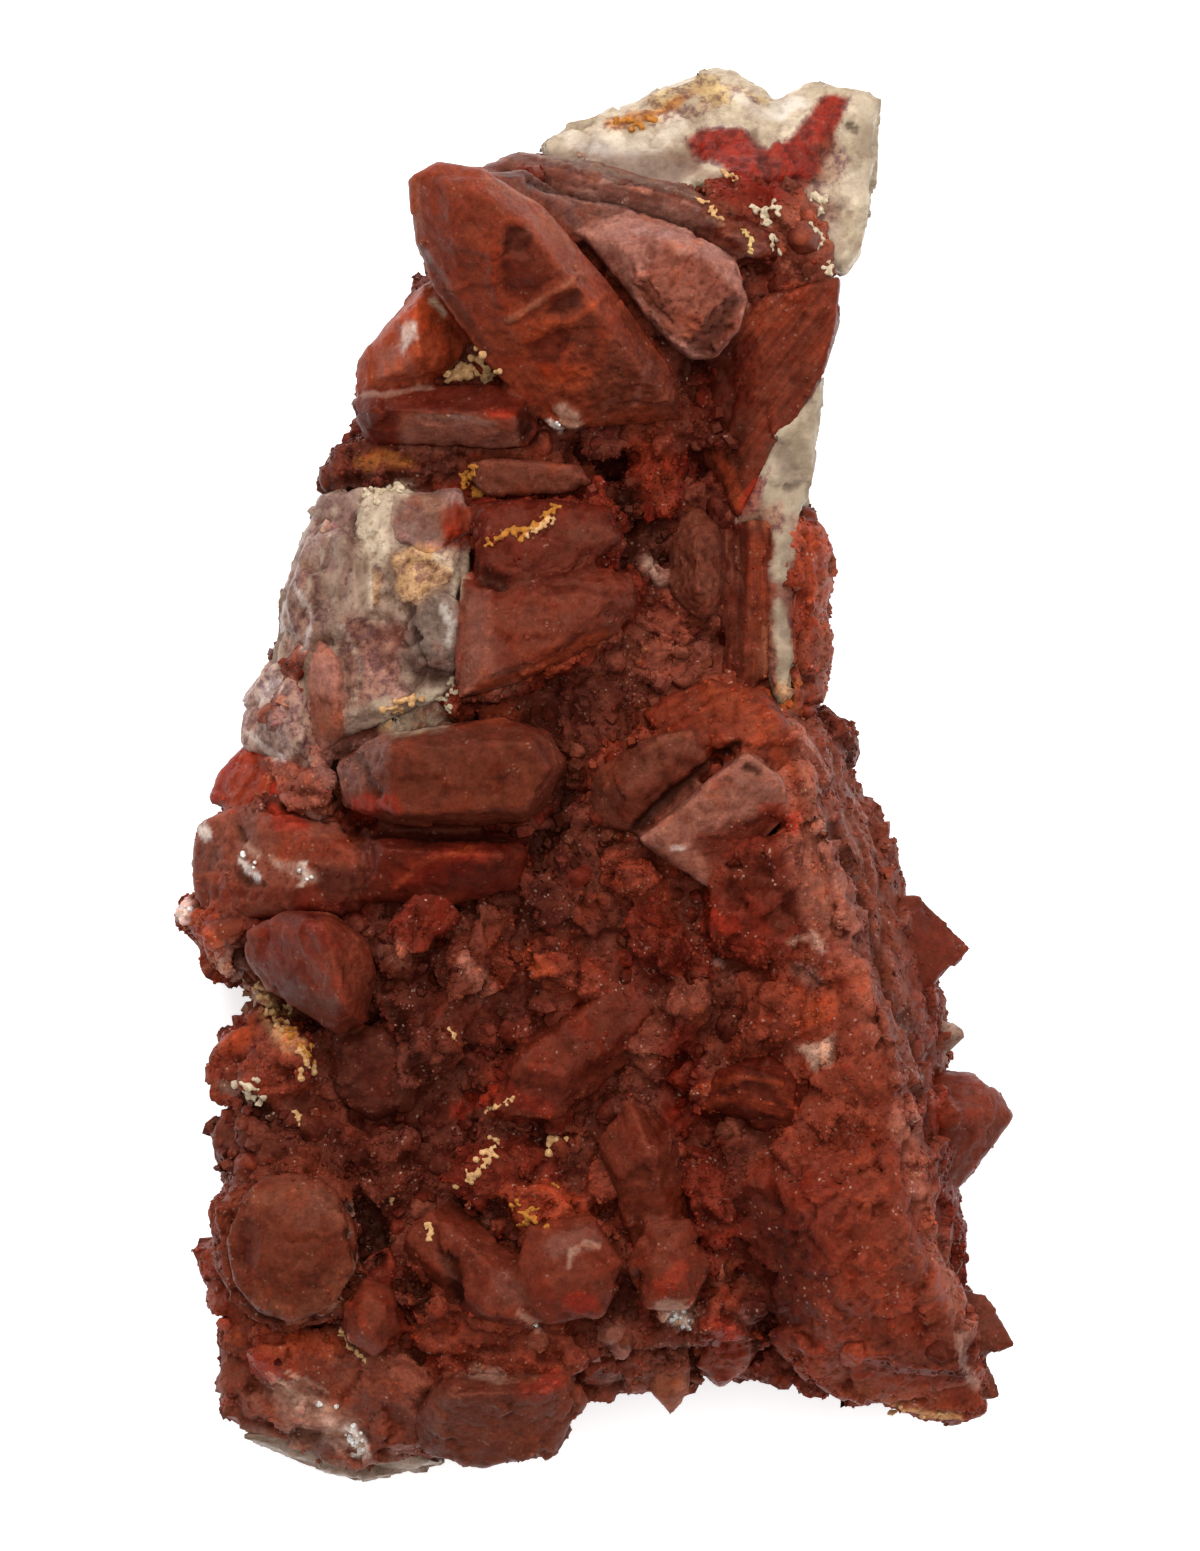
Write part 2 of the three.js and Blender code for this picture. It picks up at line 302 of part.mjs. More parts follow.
// A six-sided prism with a six-sided point. The point is a little off the axis, as grown quartz is.
function prism([, root, tip, width, thickness, roll]) {
  const start = new THREE.Vector3(...root);
  const end = new THREE.Vector3(...tip);
  const axis = end.clone().sub(start);
  const length = axis.length();
  axis.normalize();
  const across = new THREE.Vector3(0, 0, 1).cross(axis).normalize();
  across.applyAxisAngle(axis, THREE.MathUtils.degToRad(roll));
  const up = axis.clone().cross(across);
  const point = Math.min(0.62 * width, 0.5 * length);
  const points = [end.clone()];
  for (let side = 0; side < 6; side += 1) {
    const angle = (side * Math.PI) / 3;
    const reach = length - point * (side % 2 ? 1.25 : 0.8);
    const offset = across.clone().multiplyScalar((width / 2) * Math.cos(angle))
      .addScaledVector(up, (thickness / 2 / Math.sin(Math.PI / 3)) * Math.sin(angle));
    points.push(start.clone().add(offset));
    points.push(start.clone().add(offset).addScaledVector(axis, reach));
  }
  return hull(points.map((corner) => corner.setZ(corner.z + BED)));
}

// Prisms that stand out of the walls all round, rooted inside the rim.
function wallCrystals() {
  const random = seeded(7);
  const rim = new THREE.CatmullRomCurve3(RIM.map(([x, y]) => new THREE.Vector3(x, y, 0)), true, 'catmullrom', 0.2);
  const count = Math.round(rim.getLength() / WALL_STEP);
  const crystals = [];
  for (let index = 0; index < count; index += 1) {
    const share = (index + 0.6 * random()) / count;
    const edge = rim.getPointAt(share % 1);
    const along = rim.getTangentAt(share % 1);
    const outward = new THREE.Vector3(-along.y, along.x, 0);
    const swing = THREE.MathUtils.degToRad(50 * (random() - 0.5));
    outward.applyAxisAngle(new THREE.Vector3(0, 0, 1), swing);
    const low = index % 2 ? 0 : 5.5;
    const tip = edge.clone().addScaledVector(outward, -0.2).setZ(low + 3 * random() - BED + 2.5);
    const root = edge.clone().addScaledVector(outward, -WALL_ROOT).setZ(tip.z - 3 * random());
    const width = between(WALL_WIDTH, random());
    crystals.push(prism(['', root.toArray(), tip.toArray(), width, width * 0.9, 60 * random()]));
  }
  return crystals;
}

function joined(solids) {
  return solids.reduce((whole, solid) => whole.add(solid));
}

// Everything below z = 0 is taken off, which leaves the flat face that the cluster lies on.
function cutFlat(solid) {
  const slab = new THREE.BoxGeometry(200, 200, 60).translate(0, 0, -30);
  slab.deleteAttribute('normal');
  slab.deleteAttribute('uv');
  const merged = mergeVertices(slab);
  return solid.subtract(new wasm.Manifold(new wasm.Mesh({
    numProp: 3,
    vertProperties: new Float32Array(merged.attributes.position.array),
    triVerts: new Uint32Array(merged.index.array),
  })));
}

// The triangles of the outer skin. Small pockets that bodies close off between them are left out,
// which fills them with quartz.
function outerSkin(triangles, vertexCount) {
  const parent = Int32Array.from({ length: vertexCount }, (_, index) => index);
  const top = (index) => {
    let at = index;
    while (parent[at] !== at) at = parent[at];
    parent[index] = at;
    return at;
  };
  for (let at = 0; at < triangles.length; at += 3) {
    parent[top(triangles[at])] = top(triangles[at + 1]);
    parent[top(triangles[at + 1])] = top(triangles[at + 2]);
  }
  const shells = new Map();
  for (let at = 0; at < triangles.length; at += 3) {
    const shell = top(triangles[at]);
    if (!shells.has(shell)) shells.set(shell, []);
    shells.get(shell).push(triangles[at], triangles[at + 1], triangles[at + 2]);
  }
  return [...shells.values()].sort((one, other) => other.length - one.length)[0];
}

function toGeometry(solid) {
  const { vertProperties, triVerts } = solid.getMesh();
  const geometry = new THREE.BufferGeometry();
  geometry.setAttribute('position', new THREE.BufferAttribute(vertProperties, 3));
  geometry.setIndex(outerSkin(triVerts, vertProperties.length / 3));
  return geometry;
}

const bodies = [
  ...ROCKS.map(rock),
  ...BLOCKS.map(block),
  ...BUDS.map(bud),
  ...PRISMS.map(prism),
  ...wallCrystals(),
];
const cluster = new THREE.Mesh(toGeometry(cutFlat(joined(bodies))), new THREE.MeshStandardMaterial(QUARTZ));
cluster.name = 'quartz_cluster';

const group = new THREE.Group();
group.add(cluster);
export default group;
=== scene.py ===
"""A raw quartz cluster: rust-red crystals grown together on pale, broken quartz, lying on its cut back.

Shapes are worked out in millimetres in the frame's own axes and scaled to metres at the end.
"""
import math
import random

import bmesh
import bpy
import numpy as np
from mathutils import Matrix, Vector
from mathutils.bvhtree import BVHTree


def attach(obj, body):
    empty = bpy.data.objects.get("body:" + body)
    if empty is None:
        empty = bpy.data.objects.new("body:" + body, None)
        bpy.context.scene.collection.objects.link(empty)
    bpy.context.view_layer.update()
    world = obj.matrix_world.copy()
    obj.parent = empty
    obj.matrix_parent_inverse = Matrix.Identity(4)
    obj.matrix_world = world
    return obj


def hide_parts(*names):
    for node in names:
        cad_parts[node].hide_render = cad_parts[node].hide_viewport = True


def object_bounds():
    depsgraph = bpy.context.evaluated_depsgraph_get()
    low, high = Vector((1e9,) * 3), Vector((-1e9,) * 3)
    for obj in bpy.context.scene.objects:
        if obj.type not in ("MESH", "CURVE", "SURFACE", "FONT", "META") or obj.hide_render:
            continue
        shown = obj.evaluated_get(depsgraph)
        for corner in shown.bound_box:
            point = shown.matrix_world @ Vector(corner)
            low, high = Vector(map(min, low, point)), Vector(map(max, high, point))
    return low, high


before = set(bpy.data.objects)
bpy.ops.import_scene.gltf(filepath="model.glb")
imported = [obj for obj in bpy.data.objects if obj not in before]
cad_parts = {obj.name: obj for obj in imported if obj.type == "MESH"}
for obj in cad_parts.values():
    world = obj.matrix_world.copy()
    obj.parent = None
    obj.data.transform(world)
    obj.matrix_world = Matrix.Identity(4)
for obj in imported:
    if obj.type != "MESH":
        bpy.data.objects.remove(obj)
CAD_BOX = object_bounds()
LOW, HIGH = CAD_BOX

MM = 0.001
BED = 9           # height of the rock bed, from which the heights in the lists are counted
BACKSET = 1.6     # how far the widest part of a rock stays inside its outline
UNDERCUT = 4      # how far a rock draws in towards the cut
SHOULDER = 3      # how far a rock draws in towards its top
BELLY = 0.45      # where a rock is widest, as a share of its height
CUT_DEPTH = 3     # how far bodies reach below the cut before they are trimmed
HIP = 0.98        # a block half way down against its top, in plan
TAPER = 0.82      # a block's foot against its top, in plan
RAGGED = 1.7      # the step between the depths of neighbouring corners of a foot
ROOT = 6          # every block reaches down at least this far, above the bed
CRUSTED = 0.5     # bodies with at least this much druse cover are part of the rock
GRAIN = 0.31      # the mesh grain of the crystals
ROCK_GRAIN = 0.4
PALE_GRAIN = 0.36
CLAY_GRAIN = 0.11
ROCK_RISE = 2     # how much further the rock reaches up between the crystals
SKIRT = 0.7       # how far the crust at a crystal's foot stands out from it
SKIRT_DROP = 2.4  # how far that crust stays below the crystal
LAP = 0.8         # how far two neighbouring stretches of rock reach into each other
CRUMB = 0.05      # closed shells with less volume than this are dropped
CHAMFER = 0.16    # on the edges of the middling crystals in the druse
LONGEST = 0.9     # their longer edges are halved, so that they weather evenly
CRISP = math.radians(38)    # their edges stay crisp where they are sharper than this
FIELD_TRIES = 2400          # how many places are tried for them
WALL_ROWS = (2.5, 7.5, 12)  # heights of the rows of crystals on the side walls
WALL_STEP = 4.6   # how far apart they stand in a row
CROWN = 50        # beyond this along Y the rows are lower
ABOVE = 90        # a height above everything, from which rays go down
SEED = 11

# The studio, in metres, with the lens and the sensor in millimetres.
FLOOR_SIZE = 1.2      # from the middle of the floor to its edge
FLOOR_GAP = 0.0002    # between the cut and the floor
FRAME_HEIGHT = 0.132  # how much the camera takes in along the sensor
FOCUS = 0.016         # the height at which it takes in that much
SHIFT = 0.00026       # how far it stands to the right of the middle, and below it
LENS = 400
SENSOR = 36

# Stretches of rock along Y, and where each begins and ends.
SLABS = (("crown", 22, 90), ("waist", -8, 22), ("hips", -34, -8), ("foot", -90, -34))

# Kinds of unevenness that a skin can have.
WEARS = ("Swell", "Ripple", "Grit", "Facets", "Chips")

# Finishes: colour of the stone as sRGB, 0 to 255, and one near black that is painted shade, laid into gaps,
# holes and under overhanging crystals.
TONES = {
    "fire": (146, 61, 36), "flame": (150, 64, 36), "scarlet": (142, 38, 22), "ember": (122, 48, 29),
    "brick": (106, 44, 29), "garnet": (90, 29, 18), "oxblood": (66, 22, 14), "russet": (130, 55, 34),
    "satin": (96, 41, 26), "umber": (104, 53, 39), "dusk": (84, 38, 28), "dust": (102, 50, 37),
    "clove": (128, 68, 52), "plum": (116, 76, 67), "blood": (98, 22, 11), "amber": (182, 112, 34),
    "cherry": (134, 24, 8), "wine": (80, 17, 8), "straw": (200, 168, 110),
    "mauve": (152, 116, 108), "rose": (166, 113, 98), "petal": (144, 90, 74), "tan": (144, 84, 60),
    "blush": (172, 138, 120),
    "grey": (146, 120, 102), "glass": (116, 92, 82), "cream": (194, 176, 150), "milk": (160, 142, 120),
    "clay": (198, 154, 106), "ochre": (170, 108, 40), "soot": (44, 17, 11), "smoke": (110, 90, 80),
    # the near white is frosted quartz on the matrix and, on the crystals, painted glints of light
    "frost": (222, 212, 202), "cut": (140, 106, 90),
}
PALE = ("blush", "grey", "glass", "cream", "milk")

# Finishes that crystals in the druse may have, by the finish of the rock under them.
NEIGHBOURS = {
    "dusk": ("brick", "garnet", "dusk", "umber", "plum", "satin", "oxblood"),
    "brick": ("brick", "garnet", "russet", "umber"), "garnet": ("garnet", "brick", "oxblood"),
    "oxblood": ("oxblood", "dusk"), "umber": ("umber", "dusk", "brick"),
    "ember": ("ember", "brick", "russet"), "dust": ("dust", "brick", "umber"),
}

# Rock masses that carry the crystals: (height, outline in plan).
ROCKS = [
    (7, [(-8, 51), (-4, 53.4), (1.5, 55.2), (5.5, 57.9), (10, 59.9), (14, 58.4), (16, 56.6), (16, 44),
      (0, 43), (-9, 45)]),
    (8, [(13, 55.5), (18.5, 58), (23.2, 57.4), (22.8, 50), (21.8, 45), (20.4, 41), (12, 40)]),
    (12, [(-14, 42), (-8, 48), (14, 46), (20.4, 41), (19.6, 35), (18, 26), (-8, 25), (-18, 30), (-17, 37)]),
    (11, [(-19.6, 34), (-14.4, 40.5), (0, 36), (2, 22), (-22.6, 23), (-21.5, 29)]),
    (12, [(-23, 24), (-25, 18), (-26.6, 12), (-29.8, 4), (-28, -1), (-10, -3), (-6, 22)]),
    (11, [(-12, 26), (12, 28), (17.6, 23), (18.4, 8), (18, -6), (-12, -6)]),
    (9, [(12, 23), (17.8, 21.6), (19.8, 20), (19, 13), (19.6, 8), (18, 0), (12, 0)]),
    (11, [(-30.6, 1), (-33.4, -5), (-34.8, -11.5), (-32.6, -16.4), (-29, -17.4), (-14, -18), (-4, -8),
      (-18, 1)]),
    (14, [(-20, -4), (16, 0), (21, -4), (23, -13), (23, -25), (-20, -24), (-24, -14)]),
    (7, [(16, 1), (20.6, 0), (23.6, -4), (25.6, -10), (28.4, -16), (28.6, -25), (20, -26), (14, -10)]),
    (11, [(-28.4, -19), (-32, -25), (-31.8, -31), (-33.2, -39), (-32, -46), (-10, -47), (-8, -20)]),
    (12, [(-12, -20), (16, -20), (16, -49.5), (9, -51), (-1, -52), (-12, -50)]),
    (8, [(-31.4, -47), (-31, -53.5), (-28, -56.8), (-20.5, -59.2), (-6, -56.8), (-1, -52.6), (0, -45),
      (-24, -44)]),
    (13, [(14, -24), (24, -22), (28, -27), (29.4, -39), (32.4, -47), (32.8, -54), (22, -52.6), (14, -48)]),
    (14, [(6, -6), (20, -6), (24.5, -22), (26, -38), (12, -40), (4, -22)]),
    (6, [(-13, 50), (21, 54), (19.4, 36), (18.4, 22), (-22, 22), (-20, 35)]),
    (6, [(-21.6, 31), (18.4, 31), (18.8, -8), (-32, -8), (-24.8, 20)]),
    (6, [(-34, -6), (-30, 4), (20, 4), (28.4, -18), (28.6, -26), (-28.6, -22), (-33.6, -16)]),
    (6, [(-30.6, -16), (27, -12), (31, -46), (-32.4, -46)]),
    (6, [(-32, -38), (2, -38), (-1, -52), (-6, -57), (-28, -57)]),
    (6, [(-2, -38), (30, -38), (32.6, -54.4), (22, -52.5), (10, -49.6), (-2, -50)]),
]

# Crystals and broken lumps that show their outline from above:
# (name, finish, druse cover, bevel of the rim, depth, outline (x, y, height), crest points).
BLOCKS = [
    ("great_crystal", "russet", 0, 1.3, 9, [(-15.9, 50, 24.4), (-13.5, 51.4, 25.2), (-9.8, 51, 25.6),
      (-4.5, 47.5, 25), (0.8, 41.5, 23.6), (6, 34.5, 20.2), (7.5, 30, 17.2), (-3.5, 29, 17.5), (-6, 31, 18.6),
      (-8.8, 34, 20.2), (-13.5, 40.5, 23), (-15.2, 44.5, 24)], [(-12.4, 49.4, 26.8), (-9.4, 48.8, 27),
      (-5.4, 45.4, 27), (-1.2, 40.4, 26), (3.6, 34, 22.6), (-11.6, 45, 26.6)]),
    # the rose crystal's pink is its dusty coat together with a painted sheen of the light on its satin face
    ("rose_crystal", "rose", 0, 0.8, 7, [(-1.8, 45.8, 18), (2, 47.6, 17.4), (8, 46.3, 18), (11.8, 43, 19.4),
      (12.8, 40, 19.6), (12, 37.4, 20), (10, 35, 20.2), (8, 35, 20.2), (5.5, 37, 20), (1, 42.5, 19.2)],
      [(2.4, 44.6, 20.6), (7.6, 44.4, 20.9), (9, 38.6, 21.4), (5, 40.6, 21.6)]),
    ("mauve_slab", "plum", 0.15, 0.6, 6, [(-10, 51.2, 16), (-6.5, 52.6, 14.5), (0, 51.8, 14), (8, 49.7, 15),
      (15, 44.6, 16.5), (13, 43, 17), (2, 46, 17.5), (-8, 49.4, 17.5)], []),
    ("slab_end", "garnet", 0.45, 0.7, 5, [(9, 47.5, 16.5), (11.5, 47.9, 16), (15, 45.5, 16.5),
      (15.3, 43.4, 16.5), (11.5, 42.6, 16.5), (9.5, 45, 16.5)], []),
    ("top_matrix", "cream", 0.05, 0.9, 22, [(-5, 53.4, 10), (1.5, 55.3, 8.5), (5.5, 58, 7.5), (9.6, 60, 6.5),
      (11.6, 59.9, 6.5), (14, 58.4, 7.5), (15.2, 57, 8.5), (15, 50, 14), (4, 49, 14.5), (-4, 50.5, 14)], []),
    ("top_corner", "cream", 0.1, 0.9, 24, [(14.5, 56.6, 9.5), (16.5, 57.2, 9.5), (18.4, 58.7, 8.5),
      (21, 58.1, 8.5), (24.1, 57.6, 8.5), (23.6, 51.5, 10), (22.8, 46, 11), (21.3, 42.5, 11.5),
      (14, 43, 12.5), (13, 50, 13.5)], []),
    ("striated_face", "brick", 0.15, 0.5, 7, [(7.5, 32, 12.5), (8.5, 36, 14), (14.5, 40.6, 16.6),
      (20.6, 42, 17), (20.4, 38, 17), (19.2, 33.5, 16.5), (17, 30.5, 16), (14, 26.5, 15.5), (12, 21.5, 15),
      (9, 26, 13)], []),
    ("throat", "wine", 0.52, 1.2, 6, [(1.8, 24.5, 12), (3, 28, 13), (7.5, 29.5, 13.5), (9, 26, 13),
      (7.2, 21.5, 13.4), (5, 20.4, 13.4), (2.4, 21.5, 12.5)], []),
    ("pale_wedge", "milk", 0, 0.4, 22, [(19.3, 34, 15.6), (17.4, 31, 16), (15.2, 29, 16), (13.5, 25, 15.8),
      (12.2, 21.6, 15.2), (13.4, 22.4, 15.2), (14.4, 21.6, 14.9), (15.6, 20.8, 14.7), (17.9, 23, 14.2),
      (18.1, 28, 14.5), (18.8, 31, 15)], []),
    ("pale_vein", "milk", 0.05, 0.6, 6, [(14.6, 23, 14.7), (17.2, 22.5, 14.1), (16.8, 9.6, 14.9),
      (16.6, 6.4, 14.8), (15.2, 5, 14.8), (14.4, 8, 14.8), (14.1, 11, 14.8)], []),
    ("red_band", "clove", 0.6, 1.1, 9, [(16, 22.3, 14.4), (18.9, 21.4, 12.6), (19.6, 20, 12), (18.9, 16, 12),
      (19.6, 9, 11.6), (19.2, 6.4, 11.6), (16.4, 5, 14.4), (16, 12, 14.9)], []),
    ("reed_crystal", "garnet", 0.4, 1, 6, [(10.4, 20.6, 13.8), (12, 21.8, 14.4), (13.4, 23, 14.8),
      (14.9, 22.6, 14.7), (15.2, 20.4, 14.3), (15, 8, 14.4), (12.5, 7, 14.8), (10.5, 8, 13.8)], []),
    ("maroon_prism", "umber", 0.1, 0.8, 6, [(6.2, 19, 14.8), (7.2, 21.8, 15), (8.5, 22.5, 15.2),
      (10.3, 21, 15.4), (10.8, 17, 15.6), (10.1, 13.5, 15.4), (8.5, 12.8, 15.2), (6.3, 15, 15)],
      [(8.4, 20, 16.8), (8.6, 15.6, 17)]),
    ("brick_lump", "garnet", 0.55, 0.8, 5, [(3.8, 15.5, 12.8), (6, 16, 13.2), (8, 14.8, 13.8),
      (8, 12.2, 13.8), (5.5, 12, 13.4), (3.8, 13.5, 13)], []),
    ("rose_drift", "dusk", 0.9, 1, 5, [(2.3, 13.4, 14.6), (4.5, 13, 14.8), (7.8, 11.6, 14.8), (7.5, 10, 14.4),
      (4, 9, 13.8), (2, 11, 14)], []),
    ("left_blade", "flame", 0.1, 1.1, 9, [(-20.3, 35, 14.4), (-18, 37.8, 15), (-14.5, 41.6, 15.6),
      (-12.6, 40, 16.4), (-11, 36, 16.2), (-12.5, 33.8, 16.4), (-15, 32.8, 16), (-20.6, 32.2, 14.4)],
      [(-15.4, 39.6, 18.6), (-15, 35, 19.2)]),
    ("cross_crystal", "garnet", 0.15, 0.7, 7, [(-20.9, 31.5, 14.5), (-19, 32.7, 15.5), (-9, 33, 17.5),
      (-6, 31.6, 18.5), (-5, 29.2, 18.5), (-6, 27.6, 18), (-9, 27.4, 17.5), (-19, 27.9, 14.5),
      (-20.5, 29.6, 14.5)], [(-19.2, 30.7, 17.4), (-7, 30.1, 21)]),
    ("brown_step", "dusk", 0.5, 0.8, 9, [(-23.3, 25.4, 11.5), (-22.5, 27.8, 12), (-19, 28.5, 13.5),
      (-12, 27.5, 14.5), (-11.5, 25.5, 14.5), (-16, 24.3, 14), (-20, 23.6, 13), (-23.4, 24.2, 11.5)], []),
    ("mauve_bar", "umber", 0.15, 0.6, 6, [(-11, 26.3, 17), (-9, 26.7, 17.5), (-1.5, 26.1, 17.5),
      (-0.7, 24.6, 17.5), (-2, 23.6, 17), (-9, 23.3, 17), (-10.5, 24.3, 17)], []),
    ("grey_mass", "grey", 0.2, 1.5, 24, [(-23.6, 23.6, 13.6), (-20, 24.2, 15.6), (-11.3, 23.8, 16.6),
      (-10.6, 19, 18), (-10.8, 12, 19), (-11.8, 7.5, 18.5), (-16, 5, 17.5), (-21.5, 3, 16.5), (-27, 5, 13.6),
      (-27.2, 10, 13), (-26.6, 15, 12.6), (-25, 20, 12.6)], []),
    ("mauve_facet", "mauve", 0.1, 0.9, 4, [(-17, 23.6, 16.8), (-11.3, 24.2, 17.3), (-10.8, 20.5, 18.3),
      (-13.5, 18.6, 18.5), (-17, 19.5, 17.7), (-17.6, 21.5, 17)], []),
    ("glassy_facet", "glass", 0, 1, 4, [(-15.8, 14.4, 20), (-13, 15.5, 20.5), (-11.3, 14.4, 20.5),
      (-10.9, 11, 20), (-12, 8, 19.5), (-14.6, 7.8, 19.4), (-16.5, 10.4, 19.4)], []),
    ("grey_slab", "grey", 0.1, 1, 6, [(-24.6, 20, 14.4), (-22, 21, 16), (-19.8, 19, 17.6), (-19.5, 13, 18.2),
      (-21, 11.4, 17.2), (-25.6, 11, 14.4), (-26.5, 14.5, 13.8)], []),
    ("blush_crystal", "blush", 0.05, 1.8, 14, [(-30.3, 4.4, 10.5), (-29.6, 6.6, 11), (-27.6, 9.4, 12.5),
      (-25.2, 9.4, 14.6), (-24.2, 6, 16), (-23.8, 2.6, 16.4), (-24, 0.4, 16.4), (-26.4, 0.2, 14),
      (-29, 1, 11), (-30.4, 2.6, 10.5)], []),
    ("tan_crystal", "rose", 0.1, 1.3, 6, [(-24.8, 8.5, 14.9), (-23.6, 11.6, 15.6), (-21.8, 10.4, 16.6),
      (-20.8, 6, 17.1), (-21.4, 3, 16.6), (-23.3, 1.8, 15.6), (-24.7, 4, 14.9)], []),
    ("glow_lump", "scarlet", 0.3, 1.2, 9, [(-32.2, 0, 8.5), (-30.4, 2.2, 9.5), (-27.5, 2.4, 11.5),
      (-25.6, 0.5, 13), (-26, -2.8, 13.6), (-30, -3.4, 12), (-33, -2.4, 9.5)], []),
    ("brick_ledge", "garnet", 0.3, 1, 7, [(-10.4, 22.8, 18.6), (-4, 23.2, 19.4), (1, 22.4, 20),
      (2, 19.8, 20.4), (-2, 16, 21.6), (-10, 15.8, 20.4)], []),
    ("brick_face", "brick", 0.25, 0.9, 9, [(-11.5, 16.2, 20.6), (0, 17.4, 20.6), (2.9, 16.8, 20.4),
      (3.4, 14.2, 20.2), (1, 11.4, 20.2), (-3, 9.6, 20.6), (-7, 7.4, 20.8), (-11.8, 6, 20.6),
      (-12, 12, 20.8)], [(-9.4, 14.6, 22), (-1, 15.2, 22.4), (1.6, 14.6, 22), (-3.4, 10.8, 22.8),
      (-9.4, 8, 22.6)]),
    ("dusk_lump", "dusk", 0.9, 1.6, 6, [(-4, 7.4, 14), (-0.5, 9, 14), (2.6, 7.8, 14.5), (2.6, 3, 15),
      (-1, 0.4, 14.5), (-4, 2, 14)], []),
    ("long_crystal", "satin", 0, 1.2, 9, [(-22, 1, 19), (-18, 3.3, 21), (-8, 4.8, 23), (-4.2, 3.6, 23.4),
      (-2.5, 0.8, 23), (-4.2, -2.7, 23), (-6, -4.2, 23), (-17, -4.4, 21.5), (-21.5, -2.8, 19.5)],
      [(-17.5, 2.3, 24), (-5.5, 2.5, 26), (-4.1, 0.4, 25.6), (-6, -3.2, 25.4), (-17, -3.4, 24)]),
    ("under_crystal", "garnet", 0.05, 1.2, 8, [(-20, -4.4, 18), (-7.6, -5, 20.4), (-5.7, -6.6, 20.8),
      (-6.5, -9.8, 20.4), (-12, -11.2, 20), (-20, -10.8, 18.5)], [(-18, -6.4, 20.6), (-8, -7, 23)]),
    ("left_lobe", "clove", 0.35, 1.6, 11, [(-33.6, -4.5, 12), (-31, -2.8, 13.5), (-22, -4.2, 17),
      (-18.6, -7, 18.6), (-20, -11.8, 18), (-28, -12.4, 16), (-33.8, -11.6, 12), (-34.6, -8, 11.5)], []),
    ("left_ember", "ember", 0.5, 1, 9, [(-35.5, -12.3, 9), (-34.4, -10.4, 9.5), (-32, -10.6, 12.5),
      (-30.6, -14.6, 13), (-31.2, -17.4, 11), (-33, -17.1, 9.5), (-34.6, -14.2, 9)], []),
    ("satin_crystal", "brick", 0, 1, 9, [(-29.7, -13.4, 17), (-26.5, -11.7, 18.5), (-22.5, -11.9, 20),
      (-19.2, -14.3, 20.5), (-18.7, -17, 20), (-19.6, -21.2, 19), (-22, -22, 18.4), (-28, -18.3, 16.5),
      (-29.8, -15.6, 16.5)], [(-23, -12.9, 22.8), (-21.4, -19.6, 22.2)]),
    ("maroon_lump", "dusk", 0.45, 1.2, 6, [(-22.4, -22.4, 15.5), (-18, -21.4, 16.5), (-14.8, -24, 16),
      (-15.4, -28.6, 15.6), (-19, -29.6, 15), (-22.4, -27, 15)], []),
    ("left_knob", "brick", 0.6, 1.5, 9, [(-32.8, -24, 10.5), (-31.6, -21.8, 11), (-29, -20.2, 12),
      (-24.5, -21.6, 15), (-24, -26.4, 15.5), (-28.4, -28.2, 14), (-32.6, -28, 10.5)], []),
    ("left_nub", "dusk", 0.8, 1.3, 8, [(-32.6, -30.2, 9.5), (-28.6, -29.2, 13), (-23, -29, 14.6),
      (-22.2, -33.4, 14.6), (-28, -34, 13), (-32, -33, 10)], []),
    ("disc_seat", "brick", 0.7, 1.4, 9, [(-33.3, -36.6, 10.5), (-29, -33.4, 12.5), (-24, -33, 13.5),
      (-20, -38, 13.5), (-20.4, -44.6, 13.5), (-26, -47.6, 12.5), (-31.6, -47, 11), (-33.2, -44, 10.5),
      (-33.8, -40, 10.5)], []),
    ("foot", "umber", 0.55, 1.8, 11, [(-32.2, -46.6, 9.5), (-27, -46.2, 11.5), (-17, -48.6, 13.5),
      (-13.2, -52, 13.5), (-14, -57.6, 10.5), (-20.5, -59.6, 8), (-25.5, -58, 8), (-31.4, -55, 8)], []),
    ("foot_crystal", "umber", 0.4, 0.8, 10, [(-16.4, -54.2, 11.5), (-13, -50.8, 14), (-2.4, -50.8, 15),
      (-0.9, -53.2, 14), (-3.7, -57.8, 13), (-9.8, -58.9, 12), (-14.5, -57.9, 11.5)], [(-12.5, -52.6, 16),
      (-4.5, -52.4, 17)]),
    ("low_lump", "brick", 0.5, 1.2, 6, [(-15.5, -47, 13.6), (-9, -46, 15), (-2, -47, 15), (-0.4, -50.4, 14.4),
      (-5, -51.8, 14), (-14, -51.6, 12.8)], []),
    ("foot_edge", "umber", 0.5, 1, 7, [(-1, -53.3, 8.5), (1, -49.6, 12), (5, -48.8, 12.6), (8.4, -49.8, 11.6),
      (7.8, -52.2, 9), (4.3, -52.2, 8.5), (1.5, -52.8, 8.5)], []),
    ("ember_tooth", "ember", 0.4, 0.8, 8, [(8.3, -50.4, 10.5), (9.4, -47.2, 12.6), (12, -45.6, 13.6),
      (14.1, -48.4, 12.6), (13, -50.6, 10.5), (10.5, -52.2, 9.5)], []),
    ("right_mass", "brick", 0.55, 1.6, 13, [(11.4, -34.6, 16.6), (15, -31, 18.5), (24, -30.4, 19.5),
      (27.4, -34, 18), (30.6, -43, 15), (32.9, -49.6, 11.6), (33.2, -54.7, 9), (29.8, -55, 9),
      (22, -53.2, 11), (17.5, -52.3, 12), (14.2, -46, 14.4), (12, -40, 15.4)], [(18, -36, 20.8),
      (25.5, -37, 20.4), (28, -43, 18.4), (21, -45, 18.6)]),
    ("fold", "garnet", 0.25, 1.8, 7, [(8.4, -28.8, 16.6), (10.2, -25, 18.6), (14.5, -23.6, 19.6),
